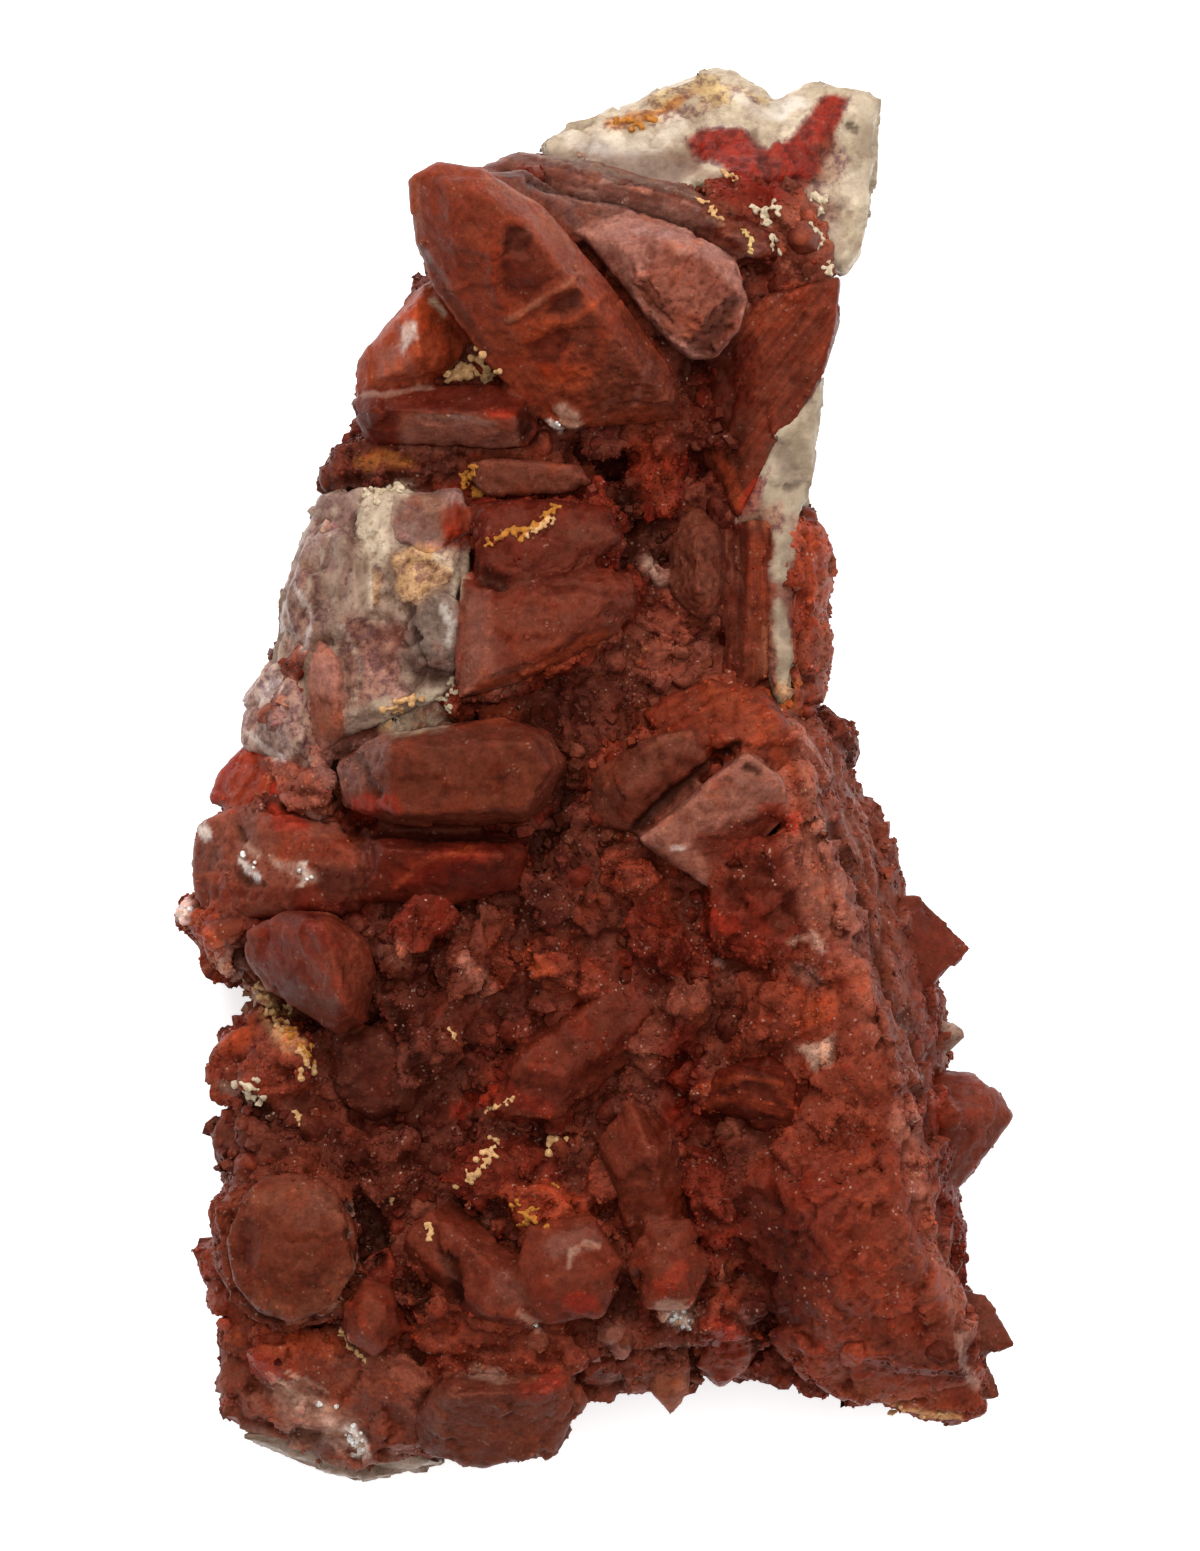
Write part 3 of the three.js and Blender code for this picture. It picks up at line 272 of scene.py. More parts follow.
      (17.8, -26, 19.2), (17.6, -30.4, 18), (12, -31, 16.4)], []),
    ("satin_face", "umber", 0.1, 0.5, 7, [(-0.6, -1.6, 16.6), (0.2, 0.6, 17.4), (4, 2.9, 18.6),
      (8.2, 3.7, 19.2), (9.8, 0.6, 19.8), (3.6, -5.1, 18.8), (0, -4.6, 17)], [(2.4, -1.6, 19.8),
      (7.4, 1.8, 20.6)]),
    ("ember_mass", "ember", 0.4, 1.4, 9, [(3.8, 5.2, 16), (9.5, 8.2, 17.4), (14, 6.8, 18.4), (16.9, 3.6, 19),
      (17.8, -1, 18.4), (14, 1.5, 20), (9.5, 1.5, 19.4), (5, 3.4, 17.4)], []),
    # the plate's pink is its dusty coat together with a painted sheen of the light on it
    ("pink_plate", "petal", 0, 0.5, 8, [(3.4, -5.6, 21), (12.4, 1.9, 22.4), (15.7, -0.4, 22),
      (16.3, -3.2, 21.2), (13.5, -6.2, 20.6), (9.4, -9.7, 19.7), (6, -7.5, 20.3)], []),
    ("red_block", "garnet", 0.6, 0.6, 7, [(9.2, -6.5, 20.4), (13.5, -5, 21.6), (17, -6, 21.6),
      (17.7, -15.4, 20), (13, -16.2, 19), (9.3, -14.6, 18.6)], []),
    ("druse_bank", "brick", 0.6, 1.2, 8, [(12.8, -16, 17.6), (17.8, -13.8, 20), (21, -14, 20.6),
      (24, -22, 20.6), (26.4, -30.4, 19.6), (24, -32, 19), (14, -31, 17), (11.4, -24, 16.4)], []),
    ("upper_slope", "dust", 0.6, 0.8, 11, [(16.6, 3.6, 18), (19.8, 3.4, 12.6), (21, -2, 12), (24.9, -8, 10.4),
      (26, -13.6, 11), (21.4, -15, 20), (18.8, -6, 21.4)], []),
    ("middle_slope", "dust", 0.6, 0.8, 11, [(20.8, -12.6, 20), (26.6, -11.8, 10.6), (29.4, -19.4, 9.4),
      (29.4, -24.8, 9.6), (26.4, -31, 18.4), (23.6, -22, 20.2)], []),
    ("lower_slope", "garnet", 0.6, 0.8, 11, [(25.6, -28, 19), (29.4, -26.8, 11.5), (29.6, -37, 11.5),
      (31.2, -43, 10.6), (28.8, -39, 17.2)], []),
    ("side_knob", "dusk", 0.7, 0.9, 7, [(19.3, 5.6, 8.5), (21.5, 3.9, 8.5), (21.9, 1.7, 8.5),
      (20.7, -0.2, 8.5), (18.4, 0, 12), (17.8, 4, 12)], []),
    ("side_lump", "dust", 0.6, 0.9, 8, [(21.3, -3, 8.5), (23.2, -2.7, 8.5), (24.5, -4.4, 8.5),
      (26, -9.6, 8.5), (26, -11, 8.5), (22, -10, 13), (20, -5, 13)], []),
    ("side_point", "brick", 0.15, 0.8, 8, [(26.6, -25.4, 9), (31.8, -25.5, 9.4), (34, -27, 9.4),
      (35.5, -29.2, 9), (33.5, -32, 9.6), (29.4, -37.2, 9.5), (26.6, -36, 11), (25.6, -30, 13)],
      [(30.6, -28.8, 13.4)]),
    ("toe_fill", "brick", 0.6, 0.8, 7, [(-4.5, -50.5, 10.5), (-1.6, -52.6, 9), (1.6, -52.4, 9), (3, -49, 12),
      (0, -46.6, 13), (-5, -47, 13)], []),
    ("foot_rim", "grey", 0.1, 0.5, 16, [(-30.4, -56.4, 6.4), (-26, -55.6, 7.4), (-21, -56.8, 7.8),
      (-15.5, -57.6, 7.6), (-13, -58.8, 6), (-17, -59.6, 5.6), (-20.6, -60.3, 5.4), (-23, -59.6, 5.4),
      (-27.6, -57.8, 5.8)], []),
    ("pink_bank", "clove", 0.6, 1.2, 8, [(14.8, 3.4, 18.4), (17, 4.4, 17.6), (18.6, 1, 17), (20, -6, 17.8),
      (21.4, -13, 19), (19, -17, 19.4), (16.6, -12, 20.8), (15.2, -4.6, 20.8), (14.8, -1.4, 20.5)], []),
    ("red_crumb", "umber", 0.62, 0.8, 5, [(8.6, 50.4, 14.8), (12.4, 50.6, 15), (16.8, 49.6, 14.8),
      (19.4, 46.4, 13.8), (19.8, 43, 13.2), (15, 42, 14.4), (12, 43.6, 15.6), (9.4, 47.4, 16)], []),
    ("slope_fill", "garnet", 0.6, 1, 7, [(23, -28, 19.4), (26.6, -27, 18), (28.8, -30, 15), (28.8, -37, 15),
      (26, -37.4, 18), (23, -33, 19)], []),
    ("glow_fill", "clove", 0.55, 0.8, 5, [(-28.4, 1.6, 12.6), (-24, 1.4, 15.4), (-22, -0.6, 17),
      (-22.6, -3.2, 17), (-27, -2.6, 15), (-29, -1, 12)], []),
]

# Crystals that face up and show their low cap:
# (name, finish, druse cover, x, y, height, half width, half length, turn, sides).
BUDS = [
    ("disc_crystal", "satin", 0.02, -25.8, -40, 18.4, 5.7, 6.5, 12, 11),
    ("small_bud", "brick", 0.1, -19.2, -46, 16.6, 2.7, 3.5, -20, 6),
    ("front_bud", "brick", 0.1, -2.5, -42, 20, 4.9, 5.1, 8, 6),
    ("pale_bud", "brick", 0.3, 6, -41.6, 19, 3.7, 4.4, 0, 6),
    ("ledge_bud", "garnet", 0.1, 17.4, 45.4, 16, 1.6, 1.7, 20, 6),
    ("pebble", "petal", 0, 1.3, -47.4, 15.4, 1.6, 1.4, 30, 6),
    ("mid_bud", "brick", 0.6, 1.6, -34.6, 16.6, 2.8, 2.6, 40, 6),
    ("cleft_bud", "garnet", 0.6, 10.2, -38.6, 15.8, 2.6, 3, 10, 6),
    ("left_bud", "dusk", 0.6, -17.4, -34.6, 15.4, 2.8, 2.6, 15, 6),
    ("red_bud", "ember", 0.6, -9.6, -15.8, 18.6, 2.2, 2.6, 25, 6),
]

# Pointed prisms: (name, finish, druse cover, root, tip, width, thickness, roll).
PRISMS = [
    ("slanted_point", "brick", 0.3, (3.4, -19.4, 13), (-8.8, -28.8, 17.6), 7.6, 6.4, 10),
    ("cleft_point", "dusk", 0.6, (-10, -18, 13.6), (-17.4, -26.6, 18.2), 5.2, 5, 0),
    ("dusk_point", "dusk", 0.6, (0, -14, 14), (-6.6, -8.4, 20.2), 4.4, 4, 20),
    ("spear", "brick", 0.1, (5.2, -39.5, 12.4), (2.6, -27.6, 18.8), 6.8, 6, -12),
    ("white_tip", "brick", 0.15, (-14.4, -38.6, 12.6), (-5, -46.8, 17.8), 6.8, 5.6, 8),
    ("nub", "tan", 0.1, (5.8, -47.6, 9.6), (6.3, -54.8, 8.4), 4, 3.4, 0),
    ("side_pyramid", "brick", 0.2, (22, -15.6, 7), (32, -14.9, 9), 10.2, 7.6, 12),
    ("side_shard", "grey", 0.1, (25, -22.8, 6), (31.4, -22.2, 8), 5.4, 4.6, 30),
    ("side_tooth", "garnet", 0.2, (25.5, -41, 6), (32.1, -41.3, 8), 4.6, 4.2, 0),
    ("side_spur", "dust", 0.3, (28, -46.6, 6), (35.6, -48.6, 8), 7.4, 5.6, 15),
    ("corner_spur", "dust", 0.3, (27.5, -50, 6), (34.6, -53.2, 7), 6.4, 5, 0),
    ("brow", "plum", 0.15, (-1, 46, 15), (-9.4, 50.6, 20.6), 4, 3.4, 0),
    ("pale_chip", "rose", 0, (5.8, 15.4, 11), (4.8, 17.6, 15.8), 1.6, 1.3, 0),
    ("rust_point", "garnet", 0.6, (-12.6, -8, 16), (-17, -16.2, 21), 4.2, 3.8, 10),
    ("pink_point", "dust", 0.6, (-8, -10, 15), (-12.4, -19.4, 19.4), 4.6, 4.2, -8),
    ("orange_point", "brick", 0.6, (0, -18, 14.4), (-6, -14.8, 19.2), 4.4, 3.8, 0),
    ("garnet_point", "garnet", 0.6, (8.4, -18, 14), (2.4, -11.4, 19.8), 5, 4.4, 15),
    ("brick_point", "brick", 0.6, (6, -12, 14), (1, -7.2, 19.6), 4, 3.8, 0),
    ("rose_point", "dust", 0.6, (4, -24, 13.4), (9.6, -17.2, 19), 4.6, 4.2, 0),
    ("bank_point", "brick", 0.6, (12, -24, 14), (17.4, -18.4, 21.4), 4.4, 4, 10),
    ("low_point", "garnet", 0.6, (-4, -33, 13), (-13.4, -34.4, 16.6), 5, 4.4, 0),
    ("red_wedge", "ember", 0.6, (-2, -38, 13), (-8.4, -35.2, 17), 5, 4.4, 10),
    ("flat_point", "dusk", 0.6, (-20, -33, 12), (-15.2, -30.4, 16.2), 4.6, 4, 0),
    ("heel_point", "brick", 0.6, (-24, -50, 9), (-29.6, -49.4, 13.2), 5.4, 5, 0),
    ("toe_point", "brick", 0.6, (-10, -46, 11), (-16.6, -44.2, 15.4), 4.4, 4, 0),
    ("cheek_point", "garnet", 0.6, (8, -33, 12.6), (11.6, -38.4, 17.2), 4.6, 4, 0),
    ("root_point", "brick", 0.6, (12, -42, 11), (9.6, -47.8, 15.6), 4.6, 4, 0),
]

# The rim in plan, clockwise from the top left.
RIM = [(-15, 51), (-6.5, 52.4), (1.5, 55.3), (10, 59.6), (15.5, 57), (21, 57.8), (23.8, 57),
      (22.6, 48), (20.6, 38), (18, 27), (19.9, 20), (19.6, 8), (21.8, 2), (24.4, -4.6), (26, -11),
      (29.6, -17), (29.4, -25), (31.5, -33), (29.6, -38), (32.6, -46), (34, -51), (32.8, -55),
      (23.5, -53.4), (13, -50.6), (7, -52.4), (-1, -53.2), (-5, -57.6), (-12.5, -58), (-20.5, -59.7),
      (-30, -56.6), (-31.6, -52), (-32.8, -44), (-33.4, -37), (-32.4, -28), (-29.4, -19.6), (-33, -17),
      (-35.2, -12), (-33.5, -4.5), (-30.4, 3), (-27, 11), (-25, 20), (-21, 30), (-20, 35), (-15, 41.4),
    (-15.2, 47)]
# Broad stain patches seen from above, among them painted shade on shadowed sides and in gaps, and painted
# highlights, where noted:
# (finish, strength, half width of the edge, rise, outline in plan).
PATCHES = [
    # the matrix at the top
    ("cherry", 1, 0.3, 0, [(7.6, 53.6), (9, 54.9), (12.6, 54.7), (14.6, 53), (17, 54.6), (19.4, 57.7),
      (21.4, 57.4), (20.2, 54), (19, 51), (17.6, 49.2), (14.6, 48.6), (12, 50), (10.4, 51.4), (8.2, 52.4)]),
    ("umber", 0.7, 0.5, -0.1, [(5, 52.6), (8.6, 53), (9, 50.6), (6, 50.2)]),
    ("smoke", 0.6, 0.6, 0, [(-1, 52.7), (5, 52.6), (6, 50.4), (0, 50.6)]),
    ("blood", 0.8, 0.5, 0, [(9, 50.8), (17.2, 50.4), (17, 48.2), (13.4, 47.4), (10.4, 48.4)]),
    ("grey", 0.85, 0.8, -0.1, [(-5, 52.6), (1, 53.2), (6, 52.6), (8, 50.6), (0, 50.4)]),
    # the rose crystal
    ("clove", 0.85, 0.25, -0.15, [(3.6, 45.6), (6.4, 44.2), (9, 43.4), (12, 40.6), (12.6, 38), (9, 35),
      (5.6, 37.4), (3.4, 40.6), (4.6, 43)]),
    # the great crystal
    # lighter strip along the right bevel, painted as the light it catches
    ("russet", 0.6, 0.4, 0, [(-9.8, 50.6), (-4, 47.8), (0.4, 43.6), (4, 38.8), (7, 33), (3, 34.6), (1, 38),
      (-1.2, 41.4), (-5, 45.6), (-8.8, 49)]),
    ("garnet", 0.7, 0.2, -0.35, [(-8, 43.6), (-5.4, 44.6), (-3.6, 41.6), (-6.2, 39.2), (-7.9, 40.6)]),
    ("oxblood", 0.9, 0.2, -0.6, [(-8.2, 44.4), (-7.6, 46), (-5.8, 45.9), (-5.4, 44.6), (-6, 43.4),
      (-7.6, 43.6)]),
    ("flame", 0.9, 0.25, 0.2, [(-7.4, 37.6), (-4.4, 38.8), (-2.6, 38), (-4.4, 36.6), (-6.4, 36.2)]),
    ("oxblood", 0.8, 0.2, -0.4, [(-4.6, 38.6), (-2.6, 40.2), (-1.2, 40.5), (-1.6, 39.2), (-3, 38.4)]),
    ("garnet", 0.75, 0.2, -0.25, [(-5.8, 36), (-2.8, 37.8), (-2, 36.4), (-3.4, 34.6), (-5.8, 34.6)]),
    # a bright orange spot: the crystal's own orange together with painted glow of light through it
    ("flame", 1, 0.4, 0, [(-4.8, 34), (-0.6, 34.4), (0, 33), (-2, 32.2), (-4, 32.6)]),
    ("umber", 0.65, 0.5, -0.1, [(0.8, 38), (3, 38), (7.2, 32.4), (7.4, 30), (4, 28.4), (0, 29.4),
      (-0.8, 32.4), (0.8, 35)]),
    # the blade and the cross crystal
    ("garnet", 0.3, 0.4, -0.1, [(-14.6, 38.4), (-12.6, 38.4), (-11.2, 36.6), (-12.6, 33.6), (-14.6, 33.2)]),
    # painted glint on the blade
    ("frost", 0.6, 0.3, 0.1, [(-16.8, 36), (-16, 38.3), (-14.8, 38.3), (-15.3, 36.6), (-16.4, 35.3)]),
    ("garnet", 0.9, 0.35, 0, [(-17, 31), (-16, 32.6), (-8, 32.8), (-6.6, 31.2), (-10, 30.8)]),
    ("clove", 0.7, 0.4, -0.1, [(-16.6, 30.4), (-11, 30.6), (-9, 29.4), (-9.4, 28.4), (-16.4, 28.4)]),
    ("scarlet", 0.7, 0.35, 0, [(-9.2, 30.6), (-6.8, 30.6), (-6.8, 29), (-9.2, 28.8)]),
    # painted shade in the gap under the cross crystal's right end
    ("soot", 0.75, 0.4, -0.3, [(-6.6, 31), (-5, 30.6), (-4.6, 28), (-6.6, 27.8)]),
    # the broken grey quartz
    ("mauve", 0.55, 0.5, -0.1, [(-24, 24), (-20.6, 24), (-20.6, 20), (-23, 19.6), (-25.6, 18)]),
    ("glass", 0.85, 0.35, -0.15, [(-17, 23.6), (-13, 24.2), (-13, 19.6), (-15.4, 19.6), (-17, 20.6)]),
    ("cream", 0.9, 0.4, 0.3, [(-20.6, 23), (-19, 23.8), (-16.6, 24.6), (-15.6, 24.2), (-15.8, 23.4),
      (-17.4, 22.6), (-17, 20.6), (-17.6, 18.6), (-18.6, 16), (-18.9, 13.4), (-19.5, 14), (-19.5, 17),
      (-20.2, 19), (-20.4, 21)]),
    ("clay", 0.9, 0.3, 0.5, [(-17.2, 18.4), (-15, 19.4), (-13, 19), (-11.8, 18), (-12, 16.2), (-13.6, 15.4),
      (-15.2, 14), (-16.2, 14.4), (-16.8, 16)]),
    ("ember", 1, 0.35, 0, [(-13.2, 22.2), (-11.8, 23), (-10.4, 22.6), (-10.3, 20.4), (-10.8, 18.8),
      (-12.9, 19.2)]),
    ("scarlet", 0.5, 0.4, 0, [(-13, 22), (-11.6, 22.6), (-11.2, 20), (-12.6, 20)]),
    ("smoke", 0.85, 0.35, -0.2, [(-15.4, 12.6), (-13.6, 14.8), (-12, 14.4), (-11.9, 11), (-12.4, 8.6),
      (-13.8, 7.4), (-15.6, 8), (-16.4, 10)]),
    ("oxblood", 0.6, 0.6, -0.2, [(-16, 10), (-12.4, 9.6), (-13, 7.6), (-15.6, 7.6)]),
    ("petal", 0.75, 0.7, -0.1, [(-21.4, 13), (-16.6, 12.6), (-16.4, 9), (-18.4, 6), (-21, 5.6), (-21.8, 9)]),
    ("petal", 0.5, 0.7, 0, [(-26.6, 18), (-23.4, 18), (-22.4, 12), (-23, 10), (-25.2, 9), (-26.8, 11)]),
    ("tan", 0.7, 0.7, 0, [(-24.4, 6.6), (-21.4, 6.4), (-21.4, 2.6), (-24, 2.6)]),
    ("cream", 0.85, 0.3, 0.3, [(-15.8, 6.8), (-13, 7), (-12.4, 6), (-13.4, 5), (-15, 5)]),
    ("clay", 0.85, 0.3, 0.2, [(-18.5, 5.2), (-16.8, 6.6), (-16.2, 5.8), (-17.6, 4.4)]),
    ("umber", 0.8, 0.6, 0, [(-20, 3.4), (-17, 2.6), (-17.6, 0), (-21, 0), (-22.6, -1)]),
    ("mauve", 0.4, 0.5, 0, [(-27.8, 7.6), (-26.8, 7.6), (-26.4, 4.4), (-27.6, 4)]),
    # the dark left side of the mass at the lower right, painted as shade, then two darker stretches of druse
    # further left
    ("garnet", 0.7, 1.5, 0, [(15, -33), (20, -34), (21, -40), (18, -46), (15, -48), (12, -40)]),
    ("oxblood", 0.6, 1.5, 0, [(-24, -28), (-13, -27), (-10, -31), (-14, -36), (-22, -35), (-26, -31)]),
    ("oxblood", 0.5, 1.5, 0, [(-12, -12), (-2, -8), (0, -16), (-8, -18), (-14, -16)]),
    # the striated face, darkened at its left as painted shadow of the rose crystal
    ("oxblood", 0.8, 1.4, 0, [(7.5, 32), (8.5, 36), (11.4, 38.4), (12.6, 34), (13, 29), (11.8, 22), (9, 26)]),
    # the side of the pink plate that runs into the rock
    ("brick", 0.8, 0.5, 0, [(9.8, -4.8), (12.4, -4), (15, -2.8), (16.8, -3.6), (15, -7), (9.6, -10.4),
      (9, -8)]),
    ("brick", 0.6, 0.5, 0, [(2.6, -6), (6, -6.6), (9, -10.4), (6, -10), (2, -8)]),
    # painted shade on the satin crystal's lower left side
    ("garnet", 0.7, 0.4, 0, [(-29.9, -15.6), (-28, -18.5), (-22, -22.2), (-21.4, -20), (-27.4, -16)]),
    # streaks of the blush crystal
    ("petal", 0.5, 0.3, 0, [(-29.9, 3.4), (-28.9, 3.4), (-28.2, 7.4), (-29.2, 6.8)]),
    ("petal", 0.5, 0.3, 0, [(-26.4, 8.4), (-25.4, 8.2), (-25.2, 3.4), (-26.2, 2)]),
    ("umber", 0.5, 0.3, 0, [(-28.6, 2.2), (-26.6, 1.4), (-26, 2.2), (-28, 3)]),
    # rust over the rims of the pale vein
    ("ember", 1, 0.35, 0, [(17.8, 22.6), (18.6, 22.4), (18.4, 5), (16.6, 5), (16.7, 8), (16.8, 10.4),
      (16, 13), (15.6, 15.2), (16.2, 17), (17.2, 19), (17.4, 21)]),
    ("brick", 1, 0.35, 0, [(12.9, 20), (14.2, 21), (14.9, 20.6), (14.8, 17.6), (15.2, 15), (14.7, 12),
      (15.2, 7), (13, 6)]),
    ("tan", 0.9, 0.5, 0, [(13, 13), (14.9, 12.6), (15, 8), (13, 8)]),
    ("tan", 0.6, 0.4, 0, [(12.8, 22.4), (15.8, 22.8), (15.6, 20.4), (12.8, 20.6)]),
    ("ember", 0.7, 0.3, 0, [(14.6, 16), (16.2, 16.2), (16.1, 14.8), (14.6, 14.6)]),
    ("umber", 0.5, 0.5, 0, [(10.4, 20), (12.6, 20.6), (12.6, 15), (10.4, 15)]),
    ("amber", 0.5, 0.6, 0, [(15, 7.6), (17, 7.6), (16.8, 5.4), (15.4, 5.2)]),
    ("tan", 0.55, 0.6, 0, [(18.6, 52.6), (20.2, 54.4), (21.2, 52), (20.6, 50), (18.8, 50)]),
    # lighter and deeper stretches of the druse
    ("garnet", 0.55, 0.8, 0, [(27, -11), (30, -13), (31.4, -18), (30.6, -32), (28, -33), (27.4, -24),
      (26.6, -16)]),
    ("mauve", 0.5, 0.6, 0, [(-2, 50), (4, 49.4), (7, 48.4), (6, 47.2), (-1, 48.4)]),
    # painted light over the shaded gap above the long crystal
    ("fire", 0.7, 0.6, 0, [(-13, 6), (-7, 6.8), (-6.6, 4.6), (-13, 3.8)]),
    ("soot", 0.7, 0.6, -0.5, [(3, 21), (6, 21.4), (6.2, 17.6), (5.6, 16.8), (3.4, 18.6)]),
    ("petal", 0.6, 0.4, 0, [(-16.8, 30), (-6.8, 30), (-6.6, 27.2), (-16.6, 27.4)]),
    ("blood", 0.6, 0.6, 0, [(-29, -12), (-24, -11.6), (-21.6, -14.6), (-24, -15.6), (-28.4, -14.4)]),
    ("oxblood", 0.6, 1, 0, [(-20, -16), (-12, -16), (-11, -22), (-19, -23)]),
    ("garnet", 0.6, 1.2, 0, [(-10, -22), (-1, -19), (4, -17), (4, -22), (-4, -29), (-10, -27)]),
    # painted shade in the hole right of the disc
    ("oxblood", 0.6, 0.8, 0, [(-20.4, -37), (-18, -38), (-18, -43), (-20.2, -43)]),
    ("umber", 0.4, 0.8, 0, [(-7.4, 46), (-3, 42.6), (1, 38), (-0.4, 35), (-4, 40), (-9, 45)]),
    ("brick", 0.5, 0.8, 0, [(-15.6, 50), (-12, 50.4), (-9.4, 46), (-10.4, 41), (-13, 41), (-15, 45)]),
    # painted highlight along the great crystal's right bevel
    ("petal", 0.4, 0.5, 0, [(-9.4, 50.4), (-4.6, 47), (-0.4, 42.2), (-1.4, 41), (-5.6, 45.6), (-9.6, 49)]),
    ("tan", 0.4, 0.6, 0.2, [(-31, -38.4), (-29, -35.6), (-25.8, -34.6), (-22.2, -35.8), (-20.4, -38.6),
      (-21.6, -38.8), (-23.4, -36.8), (-26, -36), (-28.4, -37), (-29.6, -39)]),
    ("tan", 0.4, 0.6, 0.2, [(-20.4, -41.6), (-22.4, -45.2), (-26, -46.4), (-29.4, -45), (-28.6, -43.6),
      (-25.8, -44.8), (-23, -43.6), (-21.6, -41)]),
    ("rose", 0.6, 0.5, 0, [(-24.6, 3), (-20.4, 2.8), (-19.4, 0.6), (-22, -0.4), (-24.4, 0.6)]),
    ("petal", 0.7, 0.8, 0, [(-11.6, 15.4), (-9.2, 15), (-8.8, 9), (-6, 8.4), (-7, 6.6), (-11.6, 5.6)]),
    ("clove", 0.5, 1.5, 0, [(-1, 12), (6, 15), (12, 15), (14.6, 8), (6, 8), (-1, 8)]),
    # painted highlight along the lit ridge of the mass at the lower right
    ("petal", 0.6, 0.6, 0, [(25, -28), (27, -30), (29.6, -40), (32, -48), (30, -46), (27.6, -38), (25, -31)]),
    ("blush", 0.6, 0.8, 0, [(-33.6, -14.6), (-30.6, -14.8), (-29.8, -17.4), (-33, -17.4)]),
    ("clay", 0.55, 0.6, 0, [(-29.8, -18.2), (-28, -18.2), (-25, -22.8), (-26, -23.8), (-28.4, -21)]),
    # painted shade down the dark left side of the mass at the lower right
    ("wine", 0.8, 1.5, 0, [(11.6, -34), (15.4, -35), (17, -40), (16, -48), (13.4, -49.6), (12, -44)]),
    # painted shadow on the striated face's left side
    ("wine", 0.6, 1.2, 0, [(8.4, 33), (13, 38.6), (14.4, 36), (13, 31), (10, 30)]),
    ("wine", 0.85, 1, -0.1, [(5.4, -20.6), (8.8, -21.4), (9, -26), (9.6, -30.4), (5.6, -31)]),
    ("cream", 0.75, 0.5, 0.1, [(-19, 6), (-12.4, 6.4), (-12.6, 4), (-18, 3)]),
    # painted shade in the groove between the lobe and the satin crystal
    ("wine", 0.75, 0.7, 0, [(-25.6, -9), (-20, -8.6), (-19, -12.4), (-26, -12.2)]),
    ("blush", 0.6, 0.9, 0, [(-28, -52), (-24, -53), (-20.4, -55), (-20, -57.8), (-25.6, -57.4)]),
    # painted highlights on the blade
    ("petal", 0.5, 0.8, 0, [(-18.8, 35.6), (-16.6, 36.4), (-15, 33.6), (-18.6, 33)]),
    ("clove", 0.6, 0.6, 0, [(16, 50), (19.2, 50.6), (19.8, 46), (19, 43), (16, 43.4)]),
    ("tan", 0.5, 0.8, 0, [(19, -50.6), (29, -52.6), (31, -55), (23.6, -54.4)]),
    ("ember", 0.6, 1, 0, [(2.4, 30), (6.6, 30), (6.4, 22), (3.4, 22)]),
    ("petal", 0.45, 0.9, 0, [(15.4, -5), (18.6, -4.6), (20, -12), (17.4, -12)]),
    ("garnet", 0.5, 0.6, 0, [(2, -2), (6, 1.4), (9, 1.8), (9.6, 0.4), (4, -4.8), (1, -4)]),
    ("oxblood", 0.8, 0.5, 0, [(-1.6, 26.4), (0.6, 27.2), (2.4, 25.6), (2.2, 23.2), (0.6, 23.8)]),
    ("blush", 0.85, 0.25, 0.1, [(16.9, -23.2), (18.4, -22.8), (20, -22), (19.6, -24.6), (18, -24.9)]),
    # the red band at the right edge
    ("fire", 0.6, 0.6, 0, [(16.6, 21.8), (19.6, 21), (20, 17), (17.6, 16), (16.8, 18)]),
    ("umber", 0.7, 0.8, 0, [(17, 12), (20, 12), (20, 6), (17, 6)]),
    # the glow at the left edge and the lobe under it
    ("flame", 0.5, 0.4, 0, [(-32.4, -3), (-31.6, -1), (-30, 1.8), (-29, 1.6), (-28, 0), (-27.6, -0.6),
      (-29.4, -2.2), (-31, -3.2)]),
    ("clove", 0.8, 0.35, 0, [(-28.4, 1), (-25, 1.4), (-24.4, -0.6), (-26, -0.9), (-28, -0.4)]),
    ("oxblood", 0.8, 0.4, -0.3, [(-27, -1), (-24.6, -1.2), (-24.2, -2.6), (-26, -2)]),
    ("scarlet", 0.8, 0.35, 0.1, [(-27.6, -3.2), (-26, -3), (-24, -4.2), (-24.6, -5), (-27.4, -4.8)]),
    ("ember", 0.8, 0.6, 0, [(-27, -5), (-20.5, -5.2), (-20, -8), (-24, -7.4), (-27, -7)]),
    ("oxblood", 0.8, 0.5, -0.2, [(-23.8, -7.8), (-20.6, -8.4), (-19, -10), (-22, -10.6), (-24.4, -9.8)]),
    ("plum", 0.7, 0.5, -0.1, [(-30.4, -3.2), (-28.8, -3), (-28.6, -6), (-30.4, -6.4)]),
    ("plum", 0.5, 0.6, 0, [(-34.4, -5.6), (-31.6, -6), (-31.4, -8.4), (-34.6, -8.6)]),
    ("brick", 0.8, 0.6, 0, [(-34, -9.4), (-27, -9.6), (-26.4, -11.6), (-33.6, -11.4)]),
    # the long crystal's rough end and the glow in the crystal under it
    ("plum", 0.85, 0.4, 0.1, [(-24, 0.6), (-21.6, 2.8), (-17.2, 3.4), (-17.6, 1), (-18.8, -0.6), (-20, -1.8),
      (-23.4, -1.6)]),
    ("scarlet", 0.7, 0.3, 0, [(-21.4, -1.9), (-17, -1.9), (-16.4, -3.4), (-20.6, -3.8)]),
    ("oxblood", 0.8, 0.3, -0.1, [(-23.8, -1.8), (-21.4, -1.9), (-20.8, -4), (-23, -3.4)]),
    ("blood", 0.85, 0.35, 0, [(-17.6, -9.8), (-15.4, -7.6), (-13.4, -6.6), (-11, -6.6), (-10.2, -8),
      (-12.6, -9.2), (-15, -9.8)]),
    # painted shade down the dark left side of the mass at the lower right
